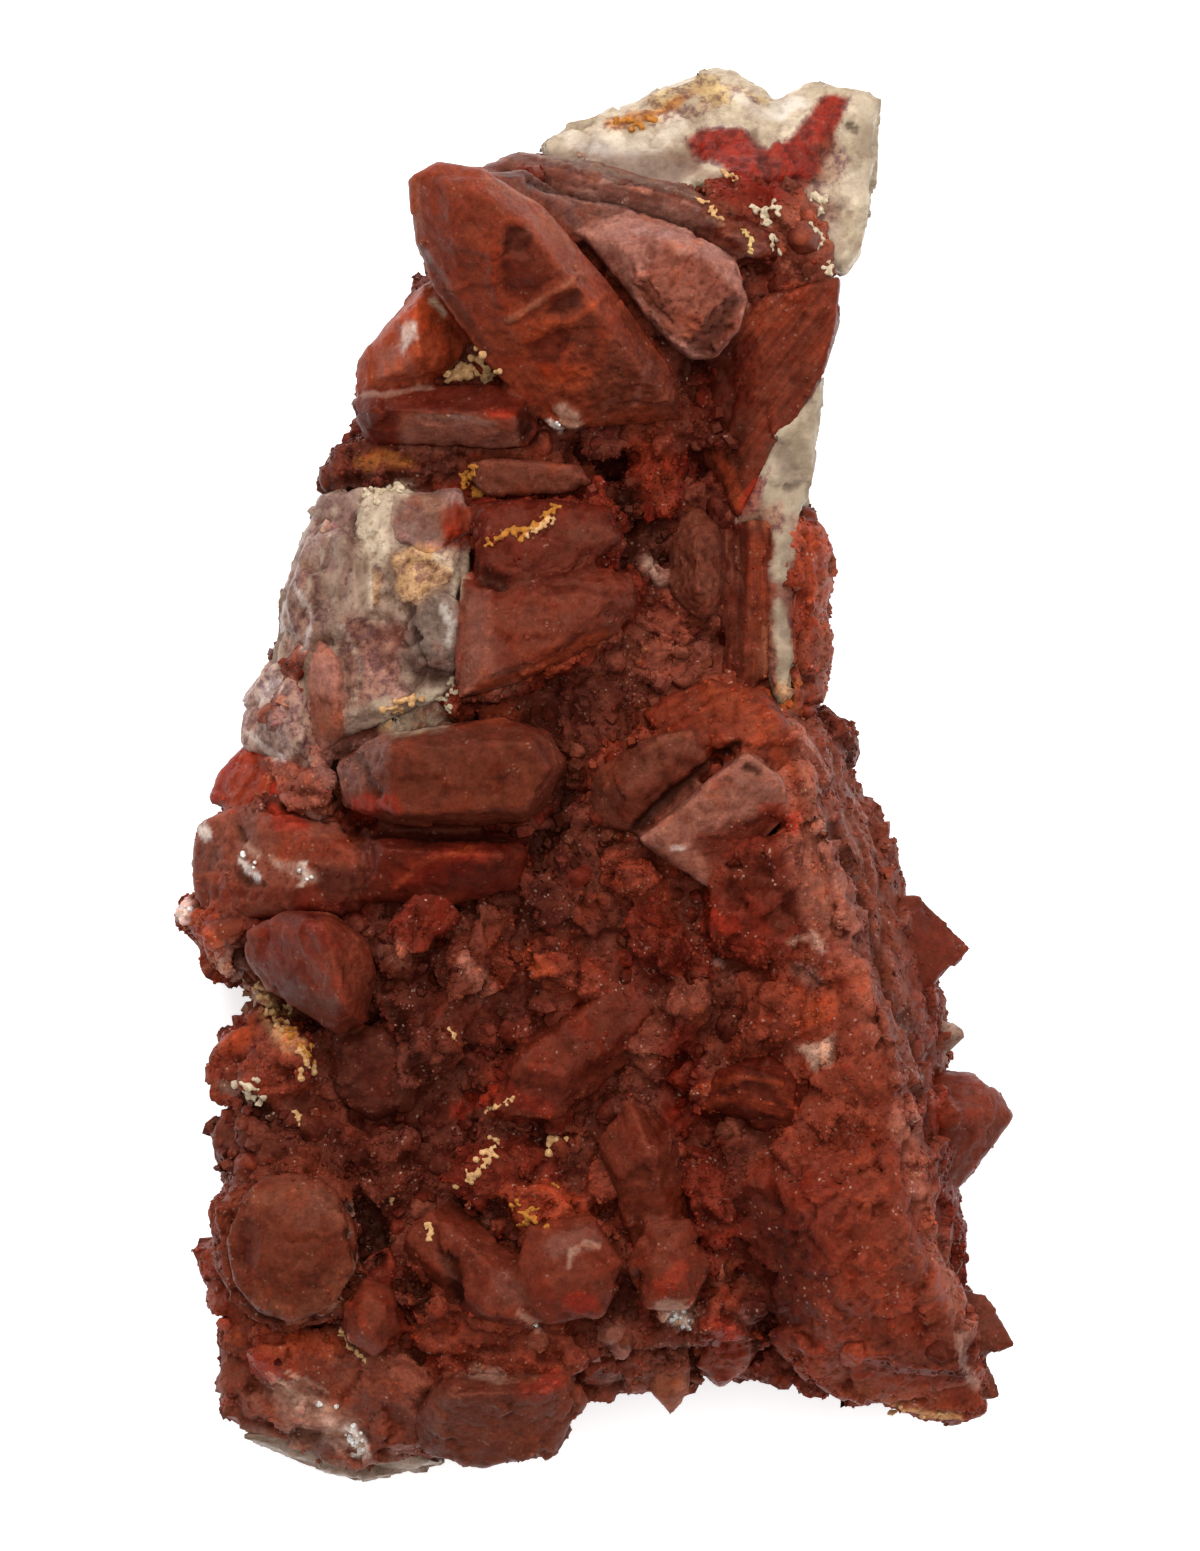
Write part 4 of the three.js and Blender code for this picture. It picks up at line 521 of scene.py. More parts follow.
    ("oxblood", 0.75, 1.2, 0, [(11.6, -34.4), (15.4, -35.4), (17, -40), (17, -46), (13.4, -49.6), (12, -44)]),
]


# Stain marks, streaks, pits and ridges on the stone, seen from above, among them near black strokes that are
# painted shade
# in gaps, holes and under crystal edges, and light strokes that are painted highlights and glints where
# noted:
# (finish, strength, half width, rise, points in plan).
MARKS = [
    # the great crystal
    # a raised ridge, painted lighter as a highlight
    ("ember", 0.9, 0.35, 0.4, [(-7.8, 46.4), (-8.8, 44), (-8.8, 41.4), (-8, 39.4)]),
    # painted highlights on the bevel
    ("rose", 0.45, 0.3, 0.1, [(-4.2, 46.4), (-3, 45.2), (-2, 43.8)]),
    ("tan", 0.9, 0.32, 0.5, [(-7.4, 38.2), (-4.6, 39.9), (-2, 41.4)]),
    ("flame", 0.7, 0.3, 0.3, [(-2.8, 37.6), (-1, 38.8), (0.6, 40.2)]),
    # painted highlights along the bevel
    ("tan", 0.6, 0.35, 0.1, [(-9.2, 49.8), (-7, 48.8), (-4.6, 47.9)]),
    ("tan", 0.5, 0.8, 0.1, [(-4.4, 46.4), (-2.8, 44.8)]),
    ("tan", 0.45, 0.45, 0, [(-15.3, 49.4), (-14.9, 45), (-14.6, 43)]),
    ("petal", 0.5, 0.3, 0, [(3.2, 31), (3.8, 32.6), (4.4, 34.4)]),
    ("petal", 0.4, 0.3, 0, [(0.6, 31), (1.6, 31.4)]),
    ("blush", 0.8, 0.8, 0.5, [(-2.9, 30.8), (-1.9, 29.9)]),
    # a white thread, with a painted glint on it
    ("frost", 0.8, 0.25, 0.2, [(-3.9, 29.8), (-3, 29.2)]),
    ("soot", 0.5, 0.5, -0.2, [(-14.9, 44), (-12.8, 40.4), (-9.2, 35.4)]),
    # the rose crystal and the slabs behind it
    # the satin face: dusty coat and painted sheen
    ("rose", 0.5, 1.6, 0, [(0.4, 45.4), (4.4, 44.8)]),
    ("soot", 0.7, 0.4, -0.5, [(-5.6, 49.8), (1, 48.6), (7.6, 46.6), (12.4, 43.6)]),
    ("umber", 0.6, 0.7, 0.2, [(-6, 51.2), (0, 50.6), (7, 48.9), (13.6, 45)]),
    ("oxblood", 0.6, 0.5, -0.2, [(-8, 50.8), (-1, 49.8), (5, 48.2)]),
    ("rose", 0.6, 0.25, 0.1, [(3, 49.4), (4.4, 49.1)]),
    ("mauve", 0.7, 0.3, 0.1, [(7.2, 48.4), (8.6, 47.6)]),
    ("blush", 0.6, 0.25, 0.1, [(9.4, 46.8), (10.6, 46.4)]),
    ("mauve", 0.6, 0.25, 0.1, [(0.4, 50), (1.4, 50.2)]),
    ("smoke", 0.7, 0.5, 0, [(4.6, 49.8), (8, 48.8)]),
    ("wine", 0.8, 0.6, -0.2, [(9, 45.8), (12, 44.4)]),
    ("wine", 0.6, 0.4, -0.1, [(11, 48.2), (13.4, 46.6)]),
    # the pale matrix at the top
    ("amber", 0.8, 0.7, 0.1, [(1.2, 55.1), (3.4, 55.5), (5.4, 56.2), (7, 57.4)]),
    ("ochre", 0.6, 0.9, 0, [(3, 55.6), (5.6, 56.4)]),
    ("ochre", 0.7, 0.7, 0, [(6, 56.6), (8.6, 58.2)]),
    ("ochre", 0.3, 0.6, 0, [(3, 54.6), (6.4, 55.6), (10.4, 57.2)]),
    ("straw", 0.7, 0.9, 0.1, [(5, 57), (7.4, 58.6), (9.6, 59)]),
    ("straw", 0.7, 0.9, 0, [(9, 57.6), (12, 57.8), (13.8, 57)]),
    ("smoke", 0.7, 1.4, -0.3, [(1.4, 51.4), (4, 51.6), (6.6, 50.8)]),
    ("smoke", 0.5, 1, 0, [(-3.6, 52.4), (0, 52.8)]),
    ("frost", 0.3, 0.9, 0.2, [(-1.8, 53.6), (2, 53.2), (5, 53.4), (7, 55.2)]),
    ("frost", 0.6, 0.7, 0.2, [(12, 57.6), (14.4, 56), (17.4, 56.8)]),
    ("oxblood", 0.6, 0.5, -0.3, [(13.4, 54.6), (13.8, 52.6), (14.6, 50.8)]),
    ("soot", 0.8, 0.35, -0.3, [(21.4, 55.3), (22, 54.8)]),
    ("smoke", 0.25, 1.2, 0, [(23, 57), (23.2, 53), (22.6, 50)]),
    ("oxblood", 0.7, 0.9, -0.5, [(12.4, 42.6), (14, 42.2)]),
    ("clove", 0.5, 1, 0, [(16, 47.4), (18.4, 48.4), (20, 47.6)]),
    ("dust", 0.3, 0.8, 0, [(20, 49), (20.4, 46), (20, 43)]),
    # the striated face and the throat below it
    # painted shade on the striated face's lower left
    ("oxblood", 0.6, 1.6, -0.2, [(8, 31), (9.8, 28.6), (10.4, 25)]),
    ("fire", 0.5, 1.6, 0, [(13, 38), (17, 40)]),
    ("flame", 0.6, 0.6, 0, [(10, 27), (11.2, 25), (12, 22.6)]),
    # painted shadow under the rose crystal's edge
    ("soot", 0.5, 1, -0.6, [(7.4, 33.4), (8.6, 35.8), (12, 39.4)]),
    ("soot", 0.8, 1.1, -0.9, [(2.6, 23.6), (3, 20.4), (2.8, 17.6)]),
    # the pale wedge and vein
    ("smoke", 0.5, 1, -0.1, [(15.4, 27.4), (16.6, 24.4)]),
    ("blush", 0.8, 0.35, 0.15, [(12.2, 21.4), (13.6, 23), (14.6, 25.6)]),
    ("scarlet", 0.7, 0.8, 0, [(12.6, 22.2), (13.6, 24.4)]),
    ("flame", 0.6, 0.4, 0, [(13.6, 20), (13.9, 15), (13.5, 9)]),
    ("smoke", 0.4, 0.6, -0.1, [(16, 19), (15.8, 12)]),
    ("ember", 0.6, 0.7, 0, [(12.8, 19), (13.4, 13), (13, 8.6)]),
    ("oxblood", 0.6, 0.4, -0.15, [(12.2, 20.4), (12.4, 16), (12, 12), (12.2, 8.6)]),
    ("blush", 0.7, 0.6, 0.1, [(4.4, 17.8), (5.2, 16.4)]),
    # the blade and the cross crystal
    ("cream", 0.8, 0.3, 0.1, [(-13.9, 40), (-12.9, 38.9)]),
    ("blush", 0.4, 0.3, 0.1, [(-19.8, 31.9), (-17, 32.2), (-14, 32.8)]),
    ("blush", 0.35, 0.3, 0, [(-14.8, 29.9), (-11, 29.9), (-8.6, 29.4)]),
    ("ochre", 0.35, 0.7, 0, [(-20, 26.4), (-18, 26.8), (-16, 26.3)]),
    ("soot", 0.6, 0.6, -0.4, [(-22.6, 24.6), (-17, 25.2), (-12, 25.6)]),
    # the broken grey quartz
    ("cream", 0.6, 0.4, 0.15, [(-20.4, 21.6), (-19.4, 18.6)]),
    ("ochre", 0.5, 0.5, 0.1, [(-18.6, 17), (-18.6, 14.4)]),
    ("cream", 0.7, 0.6, 0.2, [(-13.4, 18.4), (-11.6, 17.2), (-12, 15)]),
    ("soot", 0.5, 0.4, -0.3, [(-15.8, 13.6), (-15.4, 11), (-14.4, 8.8)]),
    # painted highlight along the smoky facet's edge
    ("frost", 0.5, 0.35, 0.1, [(-13, 14), (-12.2, 12.4), (-12.6, 10.8)]),
    ("rose", 0.6, 1, -0.1, [(-19.6, 10.4), (-17.4, 8.4), (-16.6, 6.6)]),
    ("garnet", 0.6, 0.7, -0.2, [(-18.4, 11.4), (-16.4, 12.2)]),
    ("frost", 0.4, 0.7, 0, [(-28.6, 6.4), (-27.4, 7.6)]),
    ("mauve", 0.5, 1.1, -0.1, [(-27.6, 3.6), (-26.4, 5.4)]),
    ("frost", 0.4, 0.35, 0.1, [(-29.4, 3.4), (-27.8, 1.8), (-26.4, 1.2)]),
    ("cream", 0.5, 0.25, 0.1, [(-22.4, 22.4), (-23.2, 19), (-24.6, 15)]),
    ("plum", 0.6, 0.6, -0.1, [(-23.8, 21), (-22.4, 17.4)]),
    ("frost", 0.5, 0.25, 0.1, [(-25.6, 16), (-24.2, 13.2), (-24.8, 10.4)]),
    ("plum", 0.5, 0.8, -0.1, [(-25.8, 19), (-26.2, 15.6)]),
    ("plum", 0.5, 0.6, -0.1, [(-21.4, 23.4), (-20.8, 19.6), (-21.6, 15)]),
    ("garnet", 0.6, 0.4, -0.1, [(-17.8, 13.4), (-16.6, 11.6), (-17.4, 9.6)]),
    ("cream", 0.5, 0.3, 0.1, [(-21.6, 12.4), (-20, 9.4), (-20.4, 6.4)]),
    ("plum", 0.5, 0.7, 0, [(-15.4, 22.6), (-14.4, 21)]),
    # the brick ledge and face
    ("garnet", 0.7, 0.8, -0.3, [(-9.8, 19), (-6, 18), (-1, 18.4)]),
    ("umber", 0.6, 1, 0, [(-2, 20.6), (1, 19.6)]),
    ("flame", 0.7, 0.5, 0.1, [(-10, 7), (-6.4, 8.2), (-3, 9.9), (0.6, 11.9)]),
    ("soot", 0.7, 0.7, -0.6, [(-9.6, 16.6), (-8, 16.2)]),
    ("dust", 0.4, 1.6, 0, [(-6, 13), (-1, 14.6)]),
    # the glow at the left edge and the lobe under it
    ("flame", 0.8, 1.1, 0, [(-33.8, -12.6), (-32.6, -15)]),
    # the near white strokes on the lobe are painted glints, where clear crystals sit
    ("frost", 0.8, 0.4, 0.15, [(-30.2, -7.4), (-29.4, -8.2), (-28.8, -8.8)]),
    ("blush", 0.6, 0.4, 0.1, [(-29.8, -6.2), (-28.8, -7)]),
    ("blush", 0.6, 0.35, 0.1, [(-27.6, -7.2), (-26.8, -7.9)]),
    ("frost", 0.8, 0.4, 0.15, [(-24.9, -7.7), (-24.6, -8.8), (-25, -9.4)]),
    ("blush", 0.5, 0.8, 0, [(-25.6, -8.2), (-24.2, -9)]),
    ("frost", 0.8, 0.5, 0.1, [(-33.8, -4), (-33, -5.4)]),
    ("frost", 0.8, 0.5, 0.1, [(-35, -10.8), (-34.8, -12.4)]),
    ("soot", 0.6, 0.4, -0.4, [(-30.3, -8.6), (-29.6, -9.3), (-28.5, -9.4)]),
    ("soot", 0.5, 0.4, -0.4, [(-30.4, -4.8), (-30, -5.8)]),
    ("garnet", 0.6, 0.6, -0.2, [(-31.6, -10.2), (-28, -10.4), (-25.6, -10.6)]),
    # the long crystal and the one under it
    ("soot", 0.5, 0.5, -0.4, [(-21.2, 2.2), (-19.6, 0.4), (-18.6, -1.8)]),
    # painted shadow under the long crystal's lower edge
    ("soot", 0.6, 0.5, -0.4, [(-20.4, -4.9), (-12, -5.2), (-6, -5.4)]),
    ("scarlet", 0.3, 1, 0, [(-16.6, -8.8), (-13.4, -7.2), (-10, -6.8)]),
    ("flame", 0.5, 0.3, 0.1, [(-17, -9.6), (-14.6, -7.4), (-10.6, -6.4)]),
    # the small crystals of the middle
    ("petal", 0.6, 0.8, 0, [(-17.6, -14.6), (-16.4, -15.6)]),
    ("petal", 0.8, 0.9, 0.2, [(-11, -16.4), (-9.6, -17.6)]),
    ("flame", 0.8, 1, 0.1, [(-5.6, -15.6), (-4.6, -16.6)]),
    ("soot", 0.7, 0.5, -0.5, [(-18.6, -18), (-16.4, -22), (-14.4, -26)]),
    ("soot", 0.7, 0.8, -0.8, [(-2.6, -0.6), (-3, -4), (-5, -6.6)]),
    ("scarlet", 0.5, 0.8, 0, [(-12, -28.6), (-8, -27), (-4, -28.4)]),
    ("garnet", 0.5, 1, -0.1, [(-20.4, -24), (-18, -27)]),
    # the satin crystal at the left
    ("ember", 0.5, 0.6, 0.1, [(-27, -12.6), (-24.6, -14.6), (-22, -17.6), (-20, -20.6)]),
    ("garnet", 0.5, 1.8, 0, [(-28, -15), (-25, -18)]),
    # holes, with painted shade in them, and pale chips of the left side
    ("soot", 0.9, 1, -1.2, [(-29.4, -28.4), (-28.2, -28.8)]),
    ("soot", 0.9, 1.5, -1.4, [(-19.8, -37.6), (-19, -40.4)]),
    ("soot", 0.8, 1, -1, [(-15.4, -43.4), (-14.8, -45)]),
    ("soot", 0.7, 0.7, -0.6, [(-12.6, -41), (-12, -44.6)]),
    ("flame", 0.6, 1.1, 0, [(-31.6, -22.6), (-29.4, -22)]),
    ("blush", 0.5, 0.5, 0, [(-30.2, -19.8), (-29, -20)]),
    ("smoke", 0.6, 0.7, -0.2, [(-31.4, -26.6), (-30.2, -27.4)]),
    # the disc and the crystals under it
    ("blush", 0.35, 0.35, 0.1, [(-20.4, -36.6), (-19.9, -40), (-20.6, -43), (-22.4, -45.4)]),
    ("umber", 0.6, 1.8, 0, [(-25.4, -37), (-23.4, -36.4)]),
    ("garnet", 0.5, 1.2, -0.3, [(-29.4, -37.6), (-29.9, -40.6)]),
    ("oxblood", 0.5, 0.8, -0.3, [(-29.9, -38.4), (-30.4, -41)]),
    ("soot", 0.7, 0.6, -0.5, [(-29.6, -45.4), (-26, -47.2), (-22, -46.4)]),
    ("blush", 0.5, 0.25, 0.1, [(-22, -46.4), (-21, -48.6), (-19.6, -50)]),
    ("flame", 0.6, 1.2, 0, [(-30.2, -47.6), (-26.4, -48.2), (-22.6, -48.6)]),
    ("blush", 0.5, 0.5, 0.1, [(-6.6, -45.6), (-5.2, -46.8)]),
    ("plum", 0.4, 1, 0, [(-8, -42.8), (-6.4, -44.6)]),
    ("plum", 0.5, 1.2, 0, [(-3.6, -40), (-0.6, -39.4)]),
    # painted highlight: the arc of light on the front bud
    ("blush", 0.55, 0.3, 0.15, [(-2.4, -41.6), (-2.2, -40.4), (-1, -39.7), (0.2, -40)]),
    ("scarlet", 0.9, 1, 0, [(-2, -44.9), (-0.4, -44.6)]),
    ("scarlet", 0.5, 0.9, 0, [(5.4, -43.4), (7, -42)]),
    # painted glint and the paler spot round it, where clear crystals sit
    ("frost", 1, 0.7, 0.1, [(6.4, -45.8), (7.4, -46.6)]),
    ("blush", 0.6, 1, 0, [(5.6, -45.2), (8, -45.8)]),
    ("soot", 0.4, 0.9, -0.6, [(12.6, -43), (13.6, -46), (14.6, -49)]),
    ("soot", 0.6, 0.8, -0.6, [(3, -43), (2.6, -46)]),
    # the foot
    ("blush", 0.7, 0.3, 0.1, [(-27.6, -51), (-26.4, -52.4), (-24.6, -53.4), (-22.4, -54)]),
    ("blush", 0.6, 0.25, 0.1, [(-26.2, -50.6), (-24.8, -51.8), (-23, -52.6)]),
    ("blush", 0.7, 0.5, 0, [(-27.4, -52.6), (-25, -54.2), (-22.6, -55.2)]),
    ("blush", 0.5, 0.8, 0, [(-26.8, -51.8), (-24, -53.4)]),
    ("petal", 0.5, 1.2, 0, [(-28.6, -53.6), (-24.4, -55.6)]),
    # white spot under clear crystals, partly painted glint
    ("frost", 0.9, 0.8, 0.1, [(-21, -56), (-20.2, -57.1)]),
    ("smoke", 0.5, 0.6, 0, [(-30, -56), (-27, -57.2), (-23.6, -58.4), (-20.6, -59.4), (-17.6, -59)]),
    ("soot", 0.5, 0.5, -0.3, [(-30.4, -54.8), (-26, -56.4), (-22.6, -57.6)]),
    ("scarlet", 0.5, 1.2, 0, [(-29.4, -50), (-27.4, -50.8)]),
    ("scarlet", 0.5, 1.2, 0, [(-5.6, -52.4), (-3.4, -51.6)]),
    ("umber", 0.5, 2, 0, [(-12, -55), (-6, -55.6)]),
    ("blush", 0.4, 0.6, 0, [(-10.6, -50.6), (-8.4, -51)]),
    ("garnet", 0.6, 0.8, -0.3, [(-13.4, -51), (-11.6, -50.2)]),
    # the satin face, the ember mass and the pink plate
    ("tan", 0.5, 0.3, 0.1, [(3.6, 1.6), (6, 3), (7.8, 3.4)]),
    ("umber", 0.5, 1.8, 0, [(4, 0.6), (7, 1.6)]),
    # painted shadow along the pink plate's upper left edge
    ("soot", 0.95, 0.42, -0.6, [(3, -4.9), (6.6, -1.7), (9.6, 0.9), (11.8, 2.4)]),
    ("flame", 0.6, 1.6, 0, [(9.6, 6.4), (13, 5.2), (15.6, 2.8), (16.8, 0)]),
    ("soot", 0.8, 0.5, -0.5, [(12.6, 0.5), (13.4, 0.1)]),
    ("dust", 0.4, 0.5, 0, [(15.6, 3.6), (17, 0.6), (17.2, -3)]),
    ("scarlet", 0.6, 1.2, 0, [(14.6, -3.4), (16.4, -4.4)]),
    ("garnet", 0.8, 1.6, -0.3, [(9.8, -6.4), (12.4, -5.6), (15.2, -4.4)]),
    ("oxblood", 0.35, 0.35, -0.1, [(8.6, -2.6), (9.2, -3.2)]),
    ("frost", 0.5, 0.3, 0.1, [(6.4, -6.2), (7.2, -6.4)]),
    # the red block and the long slope at the right
    ("oxblood", 0.6, 1.6, -0.3, [(11, -9.6), (14, -9), (15.6, -12)]),
    ("scarlet", 0.5, 0.8, 0, [(9.6, -12), (11.6, -13)]),
    ("petal", 0.6, 0.9, 0.1, [(17, 4), (17.8, 0), (18.8, -5)]),
    ("petal", 0.7, 1.4, 0.1, [(18.8, -5), (19.4, -9), (20.4, -13)]),
    ("clove", 0.7, 1, 0.1, [(20.4, -13), (21.6, -16), (22.8, -19), (24, -23)]),
    ("clove", 0.7, 0.5, 0.15, [(24.6, -25), (26.2, -28), (27, -34)]),
    ("clove", 0.5, 0.5, 0.1, [(27, -34), (29, -40), (31.4, -47)]),
    ("umber", 0.5, 1, -0.2, [(21.6, -4), (23.6, -10), (25.4, -15)]),
    ("soot", 0.5, 0.4, -0.5, [(20.4, -4.6), (22.4, -10.4), (24, -15.4), (26, -21)]),
    ("soot", 0.5, 0.4, -0.4, [(26.4, -20), (27.6, -26), (28.4, -31)]),
    ("blush", 0.7, 0.55, 0.2, [(16.8, -14.2), (18.2, -13.6), (18.9, -14.6)]),
    ("blush", 0.7, 0.8, 0.1, [(18.4, -24.6), (19.4, -23)]),
    ("flame", 0.6, 1.2, 0.1, [(17.4, -20.6), (19.6, -19.8)]),
    ("smoke", 0.5, 0.7, 0, [(17, -16.6), (18.6, -17.6)]),
    ("blush", 0.6, 0.8, 0, [(30.4, -21.6), (31, -23)]),
    # the fold, and the mass at the lower right with painted shade down its dark left side
    ("flame", 0.5, 0.5, 0.1, [(8.8, -26.8), (12.4, -25.6), (15.4, -26.4), (17, -28.6)]),
    ("fire", 0.5, 0.5, 0.1, [(8.8, -28.2), (12.2, -27.2), (15, -28.4), (16.4, -30.6)]),
    ("soot", 0.5, 0.5, -0.3, [(8.4, -29.6), (12, -29.4), (14.6, -31.6)]),
    # painted shade down the mass's dark left side
    ("oxblood", 0.6, 2.4, 0, [(13.4, -37), (15.4, -41), (16.6, -44)]),
    ("garnet", 0.5, 2.2, 0, [(17, -34.6), (21, -34.4)]),
    ("ember", 0.4, 2.4, 0, [(21, -39.6), (24, -42), (26, -46)]),
    ("ember", 0.5, 1.8, 0, [(19, -48), (24, -51), (29, -52.4)]),
    ("umber", 0.5, 1.2, 0, [(25.4, -39), (28, -44)]),
    ("clay", 0.7, 0.5, 0.1, [(24.4, -54.3), (27.4, -54.4), (30.6, -55)]),
    ("blush", 0.4, 0.5, 0, [(30.6, -47.6), (31.4, -50.2), (32.2, -52)]),
    ("scarlet", 0.5, 1, 0, [(10.4, -46.8), (11.6, -48.8)]),
    ("ember", 0.4, 2, 0, [(29.4, -27.6), (32, -29)]),
    ("umber", 0.5, 1, 0, [(28, -31), (29, -34)]),
    ("ember", 0.5, 1, 0, [(17.4, 19), (17.8, 14)]),
    ("cream", 0.5, 0.4, 0, [(20, 8.4), (20.2, 10.4)]),
]

# Threads and crumbs of clay caught in the clefts: (finish, radius, points in plan).
CLAY = [
    ("clay", 0.5, [(-13.2, 32.9), (-11.6, 34.2), (-10, 35.4)]),
    ("clay", 0.5, [(-12, 33.4), (-10.6, 34.2), (-9.2, 33.6)]),
    ("clay", 0.3, [(-9.6, 35), (-8.8, 33.8), (-8.2, 33.6)]),
    ("ochre", 0.4, [(-11.6, 25.6), (-10.8, 24.6), (-10, 23.2)]),
    ("ochre", 0.28, [(-10.2, 26.2), (-11, 25)]),
    ("ochre", 0.25, [(-9.4, 19.2), (-7.6, 20.2), (-6.2, 20.6)]),
    ("ochre", 0.27, [(-6.6, 19.8), (-5, 21.2), (-3.2, 22.6)]),
    ("clay", 0.22, [(-5.6, 20), (-4.4, 21.2), (-3.6, 21.4)]),
    ("cream", 0.4, [(-19.8, 23.3), (-18, 23.9), (-16, 24.3)]),
    ("clay", 0.36, [(-17.8, 5.1), (-16.2, 6.2), (-15, 6.3)]),
    ("cream", 0.4, [(-14, 6.3), (-13, 6), (-12.4, 4.8)]),
    ("cream", 0.34, [(-12.8, 8.4), (-12.1, 7.2), (-12.6, 6.2)]),
    ("cream", 0.28, [(12.8, 48), (14, 47.4), (14.8, 45.6), (15.2, 44.2)]),
    ("cream", 0.25, [(14.2, 47.6), (15, 48), (15.4, 46.8)]),
    ("cream", 0.28, [(17.2, 47.4), (18.4, 49), (19.2, 48.6), (18.8, 47)]),
    ("cream", 0.26, [(18.2, 46.4), (19.2, 45.6), (18.6, 44.4)]),
    ("cream", 0.3, [(19.2, 43.4), (19.8, 42.4)]),
    ("clay", 0.26, [(8.6, 48.6), (9.8, 47.6), (10.6, 46.8)]),
    ("clay", 0.2, [(10.6, 51), (11.6, 50.4), (12, 49.4)]),
    ("straw", 0.2, [(12, 46.4), (13, 45.2), (13, 43.8)]),
    ("clay", 0.4, [(-28.8, -18.4), (-27.6, -20), (-26.6, -21.6)]),
    ("ochre", 0.32, [(-27.2, -20.4), (-25.6, -22.2), (-24.2, -24.2)]),
    ("clay", 0.36, [(-25, -23.2), (-24, -24.8), (-24.8, -25.6)]),
    ("clay", 0.24, [(-26.6, -19.8), (-25.8, -20.4)]),
    ("cream", 0.5, [(-30.6, -26.4), (-29.4, -26.6), (-28.6, -27.4)]),
    ("clay", 0.26, [(-25.6, -28.6), (-25.2, -29.6)]),
    ("clay", 0.36, [(-12.6, -35), (-10.8, -34.2), (-9.2, -32.8), (-8.6, -30.9)]),
    ("clay", 0.22, [(-9.4, -28.6), (-8, -28.2), (-7.2, -27.4)]),
    ("clay", 0.3, [(-7.4, -30.4), (-6.8, -31.4)]),
    ("clay", 0.5, [(-4, -30.8), (-3.6, -31.8)]),
    ("ochre", 0.24, [(-7.2, -36.4), (-6, -37.4), (-5.2, -36.6)]),
    ("ochre", 0.26, [(-6.6, -38.2), (-5, -37.8), (-4, -38.4)]),
    ("ochre", 0.2, [(-3.8, -34.8), (-2.2, -34.9)]),
    ("ochre", 0.2, [(-2.4, -32.6), (-2, -33.8)]),
    ("clay", 0.24, [(-14.2, -38.2), (-14.2, -39.6)]),
    ("clay", 0.2, [(-17.6, -35.6), (-17.2, -36.6)]),
    ("clay", 0.2, [(-12.8, -21.2), (-12, -22.4)]),
    ("clay", 0.22, [(-22, -46.6), (-21, -48.6), (-19.8, -49.8)]),
    ("clay", 0.3, [(25, -54.4), (27.6, -54.5)]),
    ("clay", 0.26, [(28, -54.3), (30.4, -54.8)]),
    ("ochre", 0.4, [(1.6, 55.1), (3.2, 55.3), (4.8, 55.4)]),
]

# Clear crystals that glint: (half width, number, points in plan).
GLINTS = [
    (0.8, 16, [(-21, -56.1), (-20, -57)]), (0.7, 12, [(6.2, -45.8), (7.6, -46.8)]),
    (0.7, 3, [(-24.8, -8), (-24.6, -9.4)]), (0.4, 2, [(-35, -11), (-34.8, -12)]),
    (0.7, 3, [(-30, -6.8), (-28.6, -8.8)]), (0.5, 3, [(-25, -52.6), (-22.4, -54)]),
    (0.3, 2, [(-3.8, 29.8), (-3.2, 29.3)]), (0.3, 2, [(-5.6, -46.4), (-5, -47)]),
]

# Which way growth lines run on the striated crystals, in degrees from +X, and how strong they are.
GROWTH = {
    "striated_face": (52, 0.8), "reed_crystal": (90, 0.9), "fold": (-12, 0.9), "red_block": (84, 0.5),
    "great_crystal": (128, 0.35), "throat": (70, 0.7), "ember_mass": (24, 0.5), "red_band": (92, 0.4),
    "mauve_slab": (-16, 0.8), "slab_end": (-30, 0.5), "ember_tooth": (60, 0.4),
}

# Pitted stretches: (strength, outline in plan).
PITS = [
    (0.8, [(6, 19), (8.4, 22.8), (11, 18), (10.4, 13), (8, 12.4), (6, 15)]),
    (0.6, [(-6, 52), (0, 51.6), (8, 49.4), (14.6, 45), (12, 43), (2, 47.4), (-6, 50)]),
    (1, [(3.4, 45), (6.4, 43.8), (9, 43), (12.4, 40.6), (12.6, 38), (9, 35), (5.2, 37.2), (3.2, 40.4)]),
    (0.5, [(-24, 0.6), (-21.6, 2.8), (-17.2, 3.4), (-17.6, 1), (-18.8, -0.6), (-20, -1.8), (-23.4, -1.6)]),
    (0.5, [(-34, -4), (-27, -3), (-23, -7), (-24, -10), (-33, -12)]),
    (0.5, [(-4, 38), (3, 38), (7.4, 31), (4, 29), (-3, 31)]),
    (0.35, [(13.6, 16), (13.6, 8), (-1, 9), (-10, 14), (-10, 20), (0, 22)]),
    (0.3, [(-16, -50), (-2, -50), (-3, -57), (-15, -57)]),
    (0.35, [(-30, -36.6), (-20.6, -36.6), (-20.4, -46), (-30, -46)]),
    (0.5, [(8, -8), (15.6, -3), (16, 0), (9, -1)]),
    (0.4, [(-26, 22), (-11, 24), (-10.6, 7), (-22, 4)]),
    (0.4, [(8, 32), (14, 40), (20, 41), (17, 31), (12, 23)]),
    (0.5, [(15, -34), (22, -33), (31, -50), (31, -53), (16, -49)]),
    (0.4, [(17, -4), (25, -10), (29, -24), (24, -30), (19, -18)]),
]

